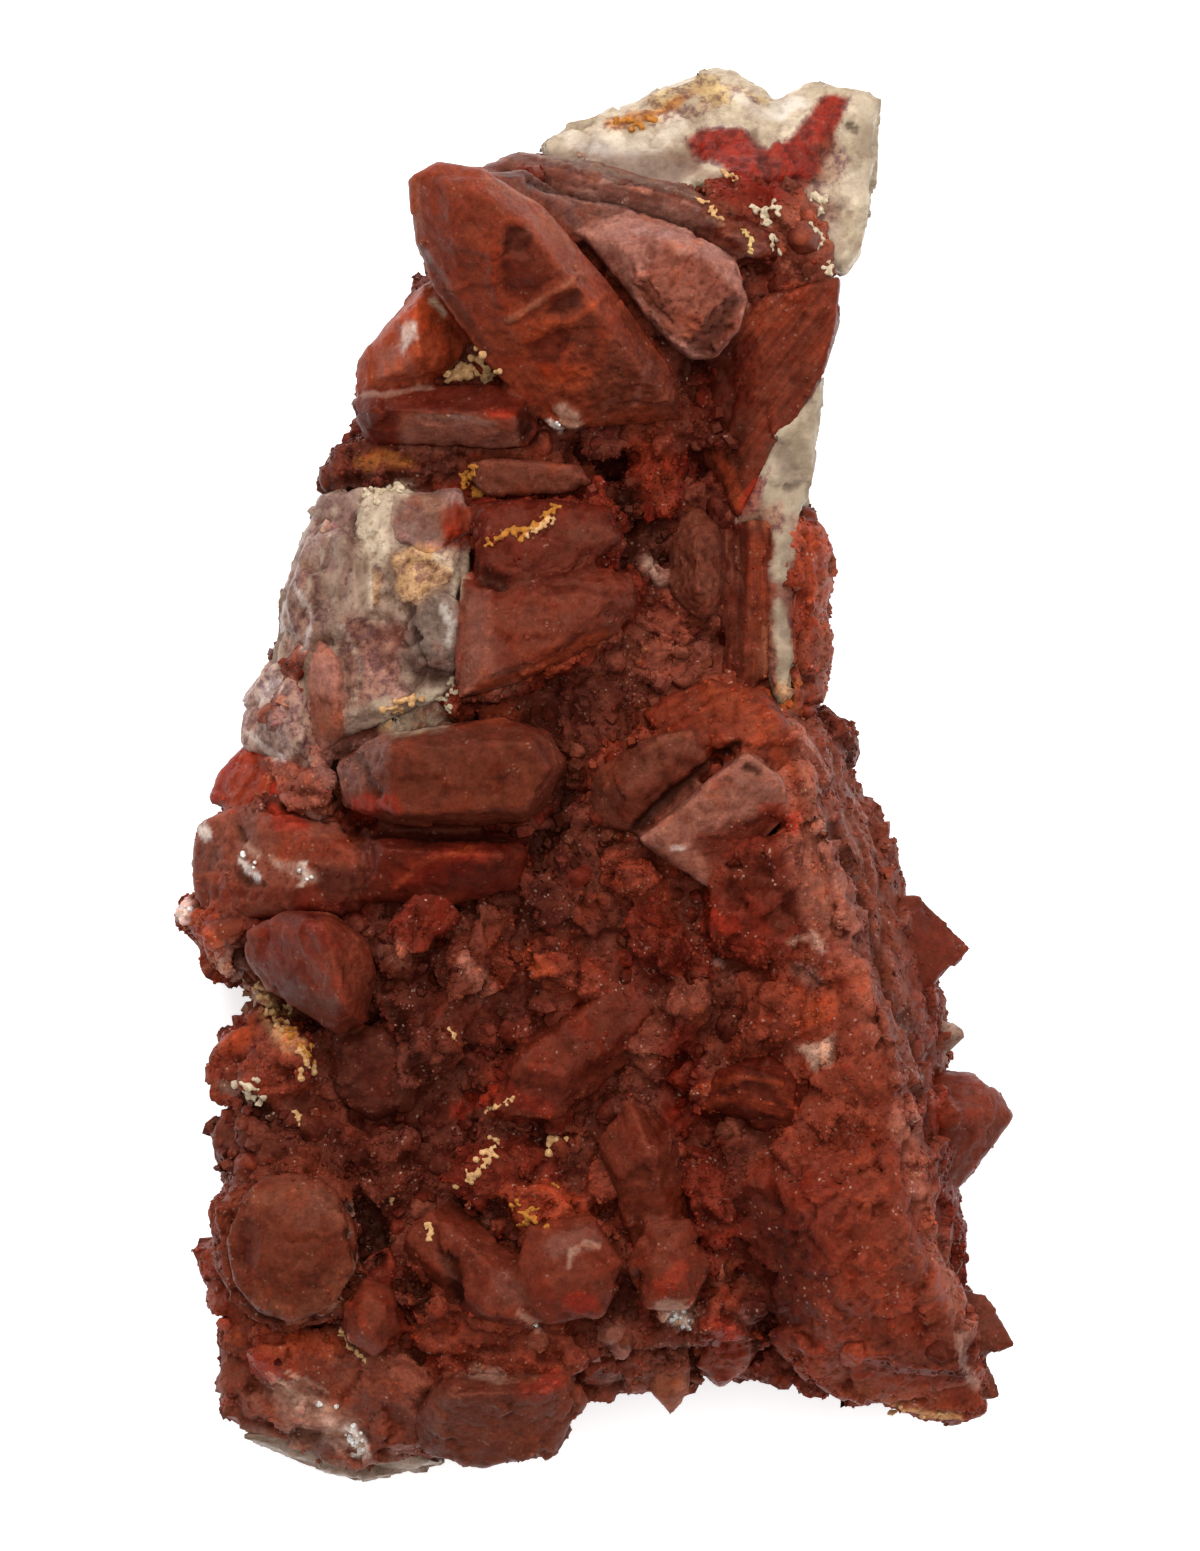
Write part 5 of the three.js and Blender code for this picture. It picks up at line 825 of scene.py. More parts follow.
# Stretches of the stone with their own druse cover: (cover, half width of the edge, outline in plan).
CRUSTS = [
    (0.6, 0.4, [(-32, -40), (-30.4, -35.4), (-26, -33), (-21.6, -35), (-19.6, -40), (-21, -45),
      (-25.6, -47.2), (-30.4, -45)]),
    (0.6, 0.4, [(-24, 0.6), (-21.6, 2.8), (-17.6, 3.2), (-18, 0), (-20, -1.8), (-23.4, -1.6)]),
    (0.02, 0.5, [(-29.8, -40.4), (-28.4, -37), (-25.4, -35.2), (-22.6, -36.4), (-21.4, -40), (-22.6, -43.6),
      (-26, -45.2), (-29, -43.6)]),
    (0.45, 0.5, [(9.4, -5), (15.6, -3), (16.4, -6), (9.6, -9)]),
    (0.15, 1, [(13, -33), (22, -32), (26, -35), (29, -42), (32, -50), (31.4, -53.4), (22, -52), (15, -48.6),
      (14, -42), (12, -38)]),
    (0.3, 1, [(17, -4), (21.4, -2), (26, -10), (28.4, -18), (28.4, -27), (22, -28), (18.6, -18),
      (17.6, -10)]),
    (0.2, 1, [(-30.6, -49), (-17, -50), (-4, -51), (-4, -57), (-20, -59.6), (-30.6, -57)]),
    (0.15, 0.8, [(9, -7.4), (16, -5), (17.4, -14), (9.6, -14)]),
    (0.2, 0.8, [(-33.6, -3), (-20, -4), (-19, -12), (-34, -12)]),
]

# ---- shapes from points

def centre_of(outline):
    """The middle of an outline's corners, in plan."""
    return Vector((sum(p[0] for p in outline), sum(p[1] for p in outline))) / len(outline)


def drawn_in(corner, centre, distance, height):
    """A corner of an outline, moved towards the middle by a distance."""
    inward = (centre - Vector(corner[:2])).normalized() * distance
    return Vector((corner[0] + inward.x, corner[1] + inward.y, height))


def rock_points(height, outline):
    """A rock mass, widest at its belly."""
    centre = centre_of(outline)
    top = BED + height + (ROCK_RISE if centre.y < 45 else -1)
    rings = ((UNDERCUT, -CUT_DEPTH), (BACKSET, top * BELLY), (SHOULDER, top))
    return [drawn_in(corner, centre, inset, z) for corner in outline for inset, z in rings]


def block_points(bevel, depth, outline, crest):
    """A crystal or a lump seen on its broad face, with its rim bevelled."""
    centre = centre_of(outline)
    points = [Vector((x, y, z + BED)) for x, y, z in crest]
    for index, (x, y, z) in enumerate(outline):
        points.append(drawn_in((x, y), centre, bevel, z + BED))
        points.append(drawn_in((x, y), centre, 0, z + BED - bevel * 0.8))
        foot = BED + min(z - depth, ROOT) - RAGGED * (2 * index % 3)
        for share, height in ((HIP, 0.45 * (z + BED) + 0.55 * foot), (TAPER, foot)):
            corner = centre.lerp(Vector((x, y)), share)
            points.append(Vector((corner.x, corner.y, height)))
    return points


def bud_points(x, y, height, half_width, half_length, turn, sides=6):
    """A crystal that faces up and shows its low cap."""
    points = []
    for side in range(sides):
        angle = math.radians(turn) + side * 2 * math.pi / sides
        for share, fall in ((0.45, 0), (1, 1.6), (0.94, 7)):
            across = half_width * share * math.cos(angle)
            along = half_length * share * math.sin(angle)
            points.append(Vector((x + across, y + along, BED + height - fall)))
    return points


def prism_points(root, tip, width, thickness, roll):
    """A six-sided prism with a six-sided point, in real heights."""
    root = Vector(root)
    tip = Vector(tip)
    axis = (tip - root).normalized()
    length = (tip - root).length
    across = Vector((0, 0, 1)).cross(axis)
    if across.length < 0.05:
        across = Vector((1, 0, 0)).cross(axis)
    across = Matrix.Rotation(math.radians(roll), 3, axis) @ across.normalized()
    up = axis.cross(across)
    point = min(0.62 * width, 0.5 * length)
    points = [tip]
    for side in range(6):
        angle = side * math.pi / 3
        reach = length - point * (1.25 if side % 2 else 0.8)
        offset = across * (width / 2 * math.cos(angle))
        offset += up * (thickness / 2 / math.sin(math.pi / 3) * math.sin(angle))
        points += [root + offset, root + offset + axis * reach]
    return points


def hull(points, planes=()):
    """The closed solid that just holds the points, cut by planes (place, way that is taken off)."""
    bm = bmesh.new()
    for point in points:
        bm.verts.new(point)
    wrap(bm)
    for place, way in planes:
        if all((vert.co - place).dot(way) <= 0 for vert in bm.verts):
            continue
        whole = bm.verts[:] + bm.edges[:] + bm.faces[:]
        bmesh.ops.bisect_plane(bm, geom=whole, plane_co=place, plane_no=way, clear_outer=True)
        bmesh.ops.delete(bm, geom=bm.edges[:] + bm.faces[:], context="EDGES_FACES")
        if len(bm.verts) < 4:
            bm.free()
            return [], []
        wrap(bm)
    bmesh.ops.recalc_face_normals(bm, faces=bm.faces)
    bm.verts.index_update()
    verts = [v.co.copy() for v in bm.verts]
    faces = [[v.index for v in f.verts] for f in bm.faces]
    bm.free()
    return verts, faces


def wrap(bm):
    """Makes the mesh its own convex hull."""
    bmesh.ops.convex_hull(bm, input=bm.verts)
    loose = [vert for vert in bm.verts if not vert.link_faces]
    bmesh.ops.delete(bm, geom=loose, context="VERTS")


# ---- the bodies of the cluster

DOWN = Vector((0, 0, -1))
FLOOR_CUT = (Vector((0, 0, 0)), DOWN)


class Body:
    """One crystal or rock: its solid, its finish, how much druse covers it and its growth lines."""

    def __init__(self, points, finish, cover, name=""):
        self.points = points
        self.shell = hull(points, [FLOOR_CUT])
        self.verts = self.shell[0]
        self.finish = finish
        self.cover = cover
        self.growth = GROWTH.get(name, (0, 0))
        self.middle = sum(self.verts, Vector()) / max(1, len(self.verts))

    def reaches(self, low, high):
        """Whether some of the body lies between two places along Y."""
        return min(v.y for v in self.verts) < high and max(v.y for v in self.verts) > low


def listed_bodies():
    """The rocks and crystals of the lists."""
    bodies = [Body(rock_points(height, outline), "dusk", 0.9) for height, outline in ROCKS]
    for name, finish, cover, bevel, depth, outline, crest in BLOCKS:
        bodies.append(Body(block_points(bevel, depth, outline, crest), finish, cover, name))
    for name, finish, cover, *size in BUDS:
        bodies.append(Body(bud_points(*size), finish, cover, name))
    for name, finish, cover, root, tip, *size in PRISMS:
        lifted = [Vector(end) + Vector((0, 0, BED)) for end in (root, tip)]
        bodies.append(Body(prism_points(*lifted, *size), finish, cover, name))
    return bodies


def gathered(shells):
    """The vertices and faces of several shells in one list each, and the shell of each face."""
    verts = []
    faces = []
    owners = []
    for index, (shell_verts, shell_faces) in enumerate(shells):
        start = len(verts)
        verts += shell_verts
        faces += [[start + corner for corner in face] for face in shell_faces]
        owners += [index] * len(shell_faces)
    return verts, faces, owners


def tree_of(bodies):
    """A search tree over the faces of all bodies, and the body that each face belongs to."""
    verts, faces, owners = gathered([body.shell for body in bodies])
    return BVHTree.FromPolygons(verts, faces), owners


def within(places, outline):
    """How deep each place lies inside an outline in plan, or below 0 how far outside."""
    places = np.asarray(places)
    x, y = places[:, 0], places[:, 1]
    inside = np.zeros(len(places), bool)
    for (x1, y1), (x2, y2) in zip(outline, outline[1:] + outline[:1]):
        if y1 != y2:
            inside ^= ((y1 > y) != (y2 > y)) & (x < (x2 - x1) * (y - y1) / (y2 - y1) + x1)
    away = distances(places, outline + outline[:1])
    return np.where(inside, away, -away)


def distances(places, points):
    """How far each place is from a line through the points, in plan."""
    nearest = np.full(len(places), 1e9)
    for first, last in zip(points, points[1:]):
        first = np.array(first)
        side = np.array(last) - first
        share = np.clip(((places - first) @ side) / (side @ side), 0, 1)
        nearest = np.minimum(nearest, np.linalg.norm(places - first - share[:, None] * side, axis=1))
    return nearest


def inside_rim(points, slack=0.0):
    """Whether all of the points lie inside the cluster's rim in plan."""
    return within([(point.x, point.y) for point in points], RIM).min() > -slack


def skirts(bodies, rng):
    """The crust that climbs the sides of the smooth crystals, as a wider and lower copy of each."""
    grown = []
    for body in bodies:
        if body.cover >= CRUSTED or body.cover == 0 or body.finish in PALE:
            continue
        reach = SKIRT * rng.uniform(0.6, 1.4)
        drop = Vector((0, 0, SKIRT_DROP * rng.uniform(0.8, 1.4)))
        ring = [Vector((reach * math.cos(turn), reach * math.sin(turn), 0)) for turn in range(6)]
        points = [point - drop + step for point in body.points for step in ring]
        points = [point for point in points if inside_rim([point], -1.3)]
        finish = rng.choice(("garnet", "brick", "dusk", "satin"))
        if len(points) > 12:
            grown.append(Body(points, finish, rng.uniform(0.6, 0.95)))
    return [body for body in grown if body.verts]


def wall_crystals(rng):
    """Crystals and broken lumps that stand out of the side walls, in three rows."""
    bodies = []
    for row, height in enumerate(WALL_ROWS):
        for index, (x, y) in enumerate(RIM):
            nx, ny = RIM[(index + 1) % len(RIM)]
            steps = max(1, round(math.hypot(nx - x, ny - y) / WALL_STEP))
            for step in range(steps):
                share = (step + 0.5 * (row % 2) + rng.uniform(-0.2, 0.2)) / steps
                lift = height + rng.uniform(-1.5, 1.5)
                if y > CROWN:
                    lift *= 0.45
                edge = Vector((x + (nx - x) * share, y + (ny - y) * share, lift))
                outward = Vector((-(ny - y), nx - x, 0)).normalized()
                outward = Matrix.Rotation(rng.uniform(-0.5, 0.5), 3, "Z") @ outward
                outward.z = rng.uniform(-0.1, 0.5)
                width = rng.uniform(3.4, 6.6)
                roll = rng.uniform(0, 60)
                finish = rng.choice(("brick", "dusk", "garnet", "umber", "ember", "oxblood"))
                if edge.y > CROWN and edge.x > -6 or edge.y > 21 and edge.x > 15:
                    finish = rng.choice(("milk", "cream", "grey"))
                elif rng.random() < 0.1:
                    finish = "grey"
                reach = rng.uniform(0.3, 1.5)
                for _ in range(5):
                    tip = edge - outward * reach
                    points = prism_points(edge - outward * (reach + 6), tip, width, width * 0.9, roll)
                    if inside_rim(points):
                        bodies.append(Body(points, finish, 0.1 if finish in PALE else 0.75))
                        break
                    reach += 0.7
                    width *= 0.92
    return [body for body in bodies if body.verts]


def field_crystals(bodies, rng):
    """Middling crystals that fill the druse between the large ones, no two very near each other."""
    tree, owners = tree_of(bodies)
    grown = []
    for _ in range(FIELD_TRIES):
        start = Vector((rng.uniform(LOW[0], HIGH[0]) / MM, rng.uniform(LOW[1], HIGH[1]) / MM, ABOVE))
        place, normal, face, _ = tree.ray_cast(start, DOWN)
        width = rng.triangular(1.6, 4.2, 2.2)
        if place is None or bodies[owners[face]].cover < 0.7 or place.z < 9:
            continue
        if any((body.middle - place).length < 0.62 * (width + 3) for body in grown):
            continue
        drift = Vector([rng.gauss(0, 1) for _ in range(3)]) * 0.5
        aim = (normal + drift).normalized()
        if aim.z < 0:
            continue
        root = place - aim * width
        tip = place + aim * width * rng.uniform(0.2, 0.65)
        points = prism_points(root, tip, width, width * rng.uniform(0.75, 1), rng.uniform(0, 60))
        finish = rng.choice(NEIGHBOURS.get(bodies[owners[face]].finish, ("brick", "garnet")))
        if inside_rim(points):
            grown.append(Body(points, finish, 0.3))
    return grown


# ---- meshes

def new_mesh(name, verts, faces):
    """A mesh of that name, from its vertices and faces."""
    mesh = bpy.data.meshes.new(name)
    mesh.from_pydata(verts, [], faces)
    return mesh


def poured(bm, name):
    """A new object with the shape of a bmesh, which is freed."""
    mesh = bpy.data.meshes.new(name)
    bm.to_mesh(mesh)
    bm.free()
    return held(mesh, name)


def held(mesh, name):
    """An object that holds a mesh, linked to the scene."""
    thing = bpy.data.objects.new(name, mesh)
    bpy.context.scene.collection.objects.link(thing)
    return thing


def settled(thing):
    """The object's modifiers made into its mesh, and taken off."""
    scene_graph = bpy.context.evaluated_depsgraph_get()
    mesh = bpy.data.meshes.new_from_object(thing.evaluated_get(scene_graph))
    old = thing.data
    thing.modifiers.clear()
    thing.data = mesh
    bpy.data.meshes.remove(old)
    return thing


def fused(shells, name, grain):
    """Closed shells, each (vertices, faces), joined in one skin without sealed pockets."""
    verts, faces, _ = gathered(shells)
    thing = held(new_mesh(name, verts, faces), name)
    skin = thing.modifiers.new("skin", "REMESH")
    skin.mode = "VOXEL"
    skin.voxel_size = grain
    settled(thing)
    bm = bmesh.new()
    bm.from_mesh(thing.data)
    drop_pockets(bm)
    bm.to_mesh(thing.data)
    bm.free()
    return thing


def faceted(bodies, name):
    """The bodies as sharp crystals with chamfered edges, side by side in one piece."""
    whole = bmesh.new()
    for body in bodies:
        mesh = new_mesh(name, *body.shell)
        bm = bmesh.new()
        bm.from_mesh(mesh)
        bmesh.ops.dissolve_limit(bm, angle_limit=0.02, verts=bm.verts, edges=bm.edges)
        bmesh.ops.bevel(bm, geom=bm.edges[:], offset=CHAMFER, segments=2, affect="EDGES")
        bmesh.ops.triangulate(bm, faces=bm.faces)
        for _ in range(2):
            long = [edge for edge in bm.edges if edge.calc_length() > LONGEST]
            bmesh.ops.subdivide_edges(bm, edges=long, cuts=1)
            bmesh.ops.triangulate(bm, faces=bm.faces)
        bm.to_mesh(mesh)
        bm.free()
        whole.from_mesh(mesh)
        bpy.data.meshes.remove(mesh)
    return poured(whole, name)


def drop_pockets(bm):
    """Takes out closed shells that are inside out or too small to see."""
    seen = set()
    for first in bm.faces:
        if first in seen:
            continue
        shell = [first]
        seen.add(first)
        for face in shell:
            for edge in face.edges:
                for other in edge.link_faces:
                    if other not in seen:
                        seen.add(other)
                        shell.append(other)
        volume = sum(face.calc_center_median().dot(face.normal) * face.calc_area() for face in shell) / 3
        if volume < CRUMB:
            bmesh.ops.delete(bm, geom=list({v for face in shell for v in face.verts}), context="VERTS")
            return drop_pockets(bm)
    return None


# ---- paint

def smooth_step(low, high, values):
    """0 at low, 1 at high, and a smooth step between them."""
    share = np.clip((values - low) / (high - low), 0, 1)
    return share * share * (3 - 2 * share)


def wobble(places, size, seed):
    """A cheap smooth unevenness between -1 and 1 whose lumps are about size across."""
    rng = np.random.default_rng(seed)
    total = np.zeros(len(places))
    for _ in range(7):
        way = rng.normal(size=3)
        way *= 2 * math.pi / (2.2 * size * rng.uniform(0.6, 1.5) * np.linalg.norm(way))
        total += np.sin(places @ way + rng.uniform(0, 2 * math.pi))
    return total / 3.5


def nearness(places, points, width):
    """How near each place is to a line through the points, in plan: 1 on it, 0 at width."""
    return 1 - smooth_step(0.45 * width, width, distances(places, points))


def vertex_rows(mesh, field, kind):
    """The places or the normals of a mesh's vertices, one to a row."""
    values = np.empty(len(mesh.vertices) * 3, kind)
    mesh.vertices.foreach_get(field, values)
    return values.reshape(-1, 3)


def paint(thing, bodies):
    """Gives a skin the finish, druse cover and growth lines of its bodies, then the stain patches and marks,
    painted shade and highlights among them.
    """
    tree, owners = tree_of(bodies)
    mesh = thing.data
    count = len(mesh.vertices)
    places = vertex_rows(mesh, "co", np.float64)
    normals = vertex_rows(mesh, "normal", np.float32)
    owner = np.array([owners[tree.find_nearest(vertex.co)[2]] for vertex in mesh.vertices])
    finishes = np.array([LIGHT[body.finish] for body in bodies])
    tones = finishes[owner] * 0.5
    rng = np.random.default_rng(SEED)
    for spread in (0.4, 0.8):
        near = places + rng.normal(scale=spread, size=places.shape)
        tones += finishes[[owners[tree.find_nearest(place)[2]] for place in near]] * 0.25
    cover = np.array([body.cover for body in bodies])[owner]
    streak = np.array([body.growth[1] for body in bodies])[owner]
    turn = np.radians([body.growth[0] for body in bodies])[owner]
    along = places[:, 0] * np.cos(turn) + places[:, 1] * np.sin(turn)
    across = places[:, 1] * np.cos(turn) - places[:, 0] * np.sin(turn)
    sawn = (places[:, 2] < 0.12) & (normals[:, 2] < -0.7)
    tones[sawn] = LIGHT["cut"]
    cover[sawn] = 0
    upward = smooth_step(0.0, 0.25, normals[:, 2])
    ragged = 1 + 0.35 * wobble(places, 1.1, SEED) + 0.2 * wobble(places, 0.4, SEED + 1)
    rise = np.zeros(count)
    plan = places[:, :2]
    stains_and_painted_light = [(True, *patch) for patch in PATCHES] + [(False, *mark) for mark in MARKS]
    for broad, finish, strength, width, lift, points in stains_and_painted_light:
        reach = width if broad else 2 * width
        low = np.min(points, axis=0) - reach
        high = np.max(points, axis=0) + reach
        here = np.flatnonzero(np.all((plan > low) & (plan < high), axis=1) & (upward > 0))
        if not len(here):
            continue
        if broad:
            deep = within(plan[here], points) + 0.5 * (ragged[here] - 1)
            share = smooth_step(-width, width, deep)
        else:
            share = nearness(plan[here], points, width * 1.15 * ragged[here])
        share = share * upward[here]
        tones[here] += (LIGHT[finish] - tones[here]) * (share * strength)[:, None]
        rise[here] += share * lift
    for crust, edge, outline in CRUSTS:
        share = smooth_step(-edge, edge, within(plan, outline) + 0.5 * (ragged - 1)) * upward
        cover += (crust - cover) * share
    pits = np.zeros(count)
    for strength, outline in PITS:
        deep = within(plan, outline) + ragged - 1
        pits = np.maximum(pits, strength * smooth_step(-0.4, 0.4, deep) * upward)
    places += normals * rise[:, None]
    mesh.vertices.foreach_set("co", places.ravel())
    lay = np.column_stack((along, across, places[:, 2])) * MM
    for name, kind, field, values in (
            ("tone", "FLOAT_COLOR", "color", np.column_stack((tones, np.ones(count)))),
            ("cover", "FLOAT", "value", cover), ("streak", "FLOAT", "value", streak),
            ("pits", "FLOAT", "value", pits),
            ("lay", "FLOAT_VECTOR", "vector", lay)):
        attribute = mesh.attributes.new(name, kind, "POINT")
        attribute.data.foreach_set(field, values.astype(np.float32).ravel())
    mesh.update()


# ---- node graphs

def maths(operation, turned=False):
    """A method of a wire that puts a maths node between it and another value."""
    def method(self, other):
        pair = (other, self) if turned else (self, other)
        return self.graph.add("ShaderNodeMath", {"operation": operation}, *pair)
    return method


class Wire:
    """An output socket that takes part in sums."""

    def __init__(self, graph, socket):
        self.graph = graph
        self.socket = socket

    __add__ = __radd__ = maths("ADD")
    __sub__ = maths("SUBTRACT")
    __rsub__ = maths("SUBTRACT", True)
    __mul__ = __rmul__ = maths("MULTIPLY")
    __pow__ = maths("POWER")
    least = maths("MINIMUM")

    def between(self, low, high):
        """0 below low, 1 above high, and a smooth step from one to the other."""
        return self.graph.add(
            "ShaderNodeMapRange", {"interpolation_type": "SMOOTHSTEP"}, self, low, high, 0.0, 1.0)


class Graph:
    """A node tree and the one way nodes are put in it. A millimetre is unit long in its coordinates."""

    def __init__(self, tree, unit):
        self.tree = tree
        self.unit = unit
        tree.nodes.clear()

    def add(self, kind, settings=None, *values, out=0, **named):
        """A node with its settings, then its sockets by order or by name. Gives one output."""
        node = self.tree.nodes.new(kind)
        for name, value in (settings or {}).items():
            setattr(node, name, value)
        sockets = [socket for socket in node.inputs if socket.enabled]
        pairs = list(zip(sockets, values))
        pairs += [(self.find(node.inputs, name), value) for name, value in named.items()]
        for socket, value in pairs:
            if isinstance(value, Wire):
                self.tree.links.new(value.socket, socket)
            elif value is not None:
                socket.default_value = value
        outputs = [socket for socket in node.outputs if socket.enabled]
        if not outputs:
            return None
        chosen = outputs[out] if isinstance(out, int) else self.find(node.outputs, out)
        return Wire(self, chosen)

    def find(self, sockets, name):
        """The enabled socket of that name. An underline stands for a space."""
        wanted = name.replace("_", " ").lower()
        return next(socket for socket in sockets if socket.enabled and socket.name.lower() == wanted)

    def twin(self, wire, name):
        """Another output of the node that a wire comes from."""
        return Wire(self, self.find(wire.socket.node.outputs, name))

    def vector(self, operation, first, second=None, out=0, **named):
        """Vector maths."""
        return self.add("ShaderNodeVectorMath", {"operation": operation}, first, second, out=out, **named)

    def blend(self, share, first, second, how="MIX"):
        """Two colours mixed by a share."""
        node = {"data_type": "RGBA", "blend_type": how, "clamp_factor": True}
        return self.add("ShaderNodeMix", node, share, first, second)

    def tinted(self, colour, red, green, blue):
        """A colour made warmer, cooler, lighter or darker."""
        return self.blend(1.0, colour, (red, green, blue, 1), "MULTIPLY")

    def tinted_over(self, colour, share, *tint):
        """A colour that is tinted over a share of the surface."""
        return self.blend(share, colour, self.tinted(colour, *tint))

    def noise(self, place, size, detail=3.0, rough=0.5, stretch=None):
        """Noise whose lumps are about size millimetres across."""
        if stretch:
            place = self.add("ShaderNodeMapping", {}, place, Scale=stretch)
        return self.add("ShaderNodeTexNoise", {}, out="Fac", Vector=place, Scale=1 / (size * self.unit),
                        Detail=detail, Roughness=rough)

    def cells(self, place, size, out="Distance"):
        """Cells about size millimetres across."""
        return self.add("ShaderNodeTexVoronoi", {}, out=out, Vector=place, Scale=1 / (size * self.unit))

    def facets(self, place, size):
        """The height of little tilted faces about size millimetres across, one to a cell."""
        middle = self.cells(place, size, out="Position")
        tilt = self.vector("SUBTRACT", self.twin(middle, "Color"), (0.5, 0.5, 0.5))
        away = self.vector("SUBTRACT", place, middle)
        return self.vector("DOT_PRODUCT", away, tilt, out="Value")

    def height(self, vector):
        """The Z of a place or a direction."""
        return self.add("ShaderNodeSeparateXYZ", {}, vector, out="Z")

    def store(self, mesh, name, value, kind="FLOAT"):
        """Puts a value in an attribute of the mesh."""
        settings = {"data_type": kind, "domain": "POINT"}
        return self.add("GeometryNodeStoreNamedAttribute", settings, mesh, Name=name, Value=value)

    def attribute(self, name, out="Fac"):
        """A value that the mesh carries, in a shader."""
        return self.add("ShaderNodeAttribute", {"attribute_name": name}, out=out)

    def carried(self, name, kind="FLOAT"):
        """A value that the mesh carries, in geometry."""
        return self.add("GeometryNodeInputNamedAttribute", {"data_type": kind}, name)

    def drawn(self, seed, low, high, kind="FLOAT"):
        """A random value for each point."""
        return self.add("FunctionNodeRandomValue", {"data_type": kind}, low, high, Seed=seed)


def linear(colour):
    """An sRGB colour, 0 to 255, as linear light."""
    return [(c / 255 / 12.92) if c < 10 else ((c / 255 + 0.055) / 1.055) ** 2.4 for c in colour]


LIGHT = {name: np.array(linear(colour)) for name, colour in TONES.items()}


def geometry_tree(name, inputs):
    """A new geometry tree with named inputs, its graph and its input geometry."""
    tree = bpy.data.node_groups.new(name, "GeometryNodeTree")
    faces = tree.interface
    faces.new_socket("Geometry", in_out="INPUT", socket_type="NodeSocketGeometry")
    for socket, kind in inputs.items():
        faces.new_socket(socket, in_out="INPUT", socket_type="NodeSocket" + kind)
    faces.new_socket("Geometry", in_out="OUTPUT", socket_type="NodeSocketGeometry")
    graph = Graph(tree, 1)
    return tree, graph, graph.add("NodeGroupInput", out="Geometry")


def run_tree(thing, tree, **values):
    """Runs a geometry tree on an object with the values of its inputs, and keeps the mesh."""
    step = thing.modifiers.new(tree.name, "NODES")
    step.node_group = tree
    for item in tree.interface.items_tree:
        if item.name in values:
            step[item.identifier] = values[item.name]
    return settled(thing)


# ---- weathering of the skins

def weathering_tree():
    """Uneven, worn faces: the skin moves along its normal, and how far each place stands out from the
    smoothed skin is kept, for painted shade in the hollows and lighter rims.
    """
    tree, graph, start = geometry_tree("weathering", dict.fromkeys(WEARS, "Float"))
    size = {name: graph.twin(start, name) for name in WEARS}
    place = graph.add("GeometryNodeInputPosition")
    crust = 0.45 + 0.8 * graph.carried("cover")
    rise = (graph.noise(place, 7, 2) - 0.5) * size["Swell"]
    rise = rise + (graph.noise(place, 1.6, 2) - 0.5) * size["Ripple"] * crust
    rise = rise + (graph.noise(place, 0.5, 3) - 0.5) * size["Grit"] * crust
    rise = rise + graph.facets(place, 3.2) * size["Facets"] * crust
    rise = rise + graph.facets(place, 1.3) * size["Chips"] * crust
    holes = graph.noise(place, 0.62, 3, 0.6).between(0.5, 0.62)
    rise = rise - graph.carried("pits") * holes * 0.34
    rise = rise * graph.height(place).between(0.0, 0.8)
    normal = graph.add("GeometryNodeInputNormal")
    move = graph.vector("SCALE", normal, Scale=rise)
    even = graph.add("GeometryNodeBlurAttribute", {"data_type": "FLOAT_VECTOR"}, place, 2)
    moved = graph.add("GeometryNodeSetPosition", {}, start, Position=even, Offset=move)
    soft = graph.add("GeometryNodeBlurAttribute", {"data_type": "FLOAT_VECTOR"}, place, 8)
    bulge = graph.vector("SUBTRACT", place, soft)
    wear = graph.vector("DOT_PRODUCT", bulge, normal, out="Value")
    graph.add("NodeGroupOutput", {}, graph.store(moved, "wear", wear))
    return tree


# ---- druse

def solid_shape(name, verts, faces):
    """A small closed shape for the druse, outside the scene."""
    return bpy.data.objects.new(name, new_mesh(name, verts, faces))


def grain_shape():
    """A druse grain: a low six-sided point over a hidden root."""
    turns = [math.radians(60 * side) for side in range(6)]
    verts = [(0, 0, -0.6), (0.06, 0.03, 0.5)]
    verts += [(0.5 * math.cos(turn), 0.5 * math.sin(turn), 0) for turn in turns]
    faces = [(2 + n, 2 + (n + 1) % 6, 1) for n in range(6)]
    faces += [(2 + (n + 1) % 6, 2 + n, 0) for n in range(6)]
    return solid_shape("grain", verts, faces)


def point_shape(name, shoulder, skew):
    """A small crystal: a six-sided prism whose faces end at uneven heights in a point."""
    verts = []
    for z, radius in ((-0.7, 0.5), (0, 0.48)):
        for side in range(6):
            angle = math.radians(60 * side)
            top = shoulder[side % len(shoulder)] if z == 0 else z
            verts.append((radius * math.cos(angle), radius * 0.86 * math.sin(angle), top))
    verts, faces = hull([Vector(vert) for vert in verts + [(skew, skew * 0.6, 0.72)]])
    return solid_shape(name, verts, faces)


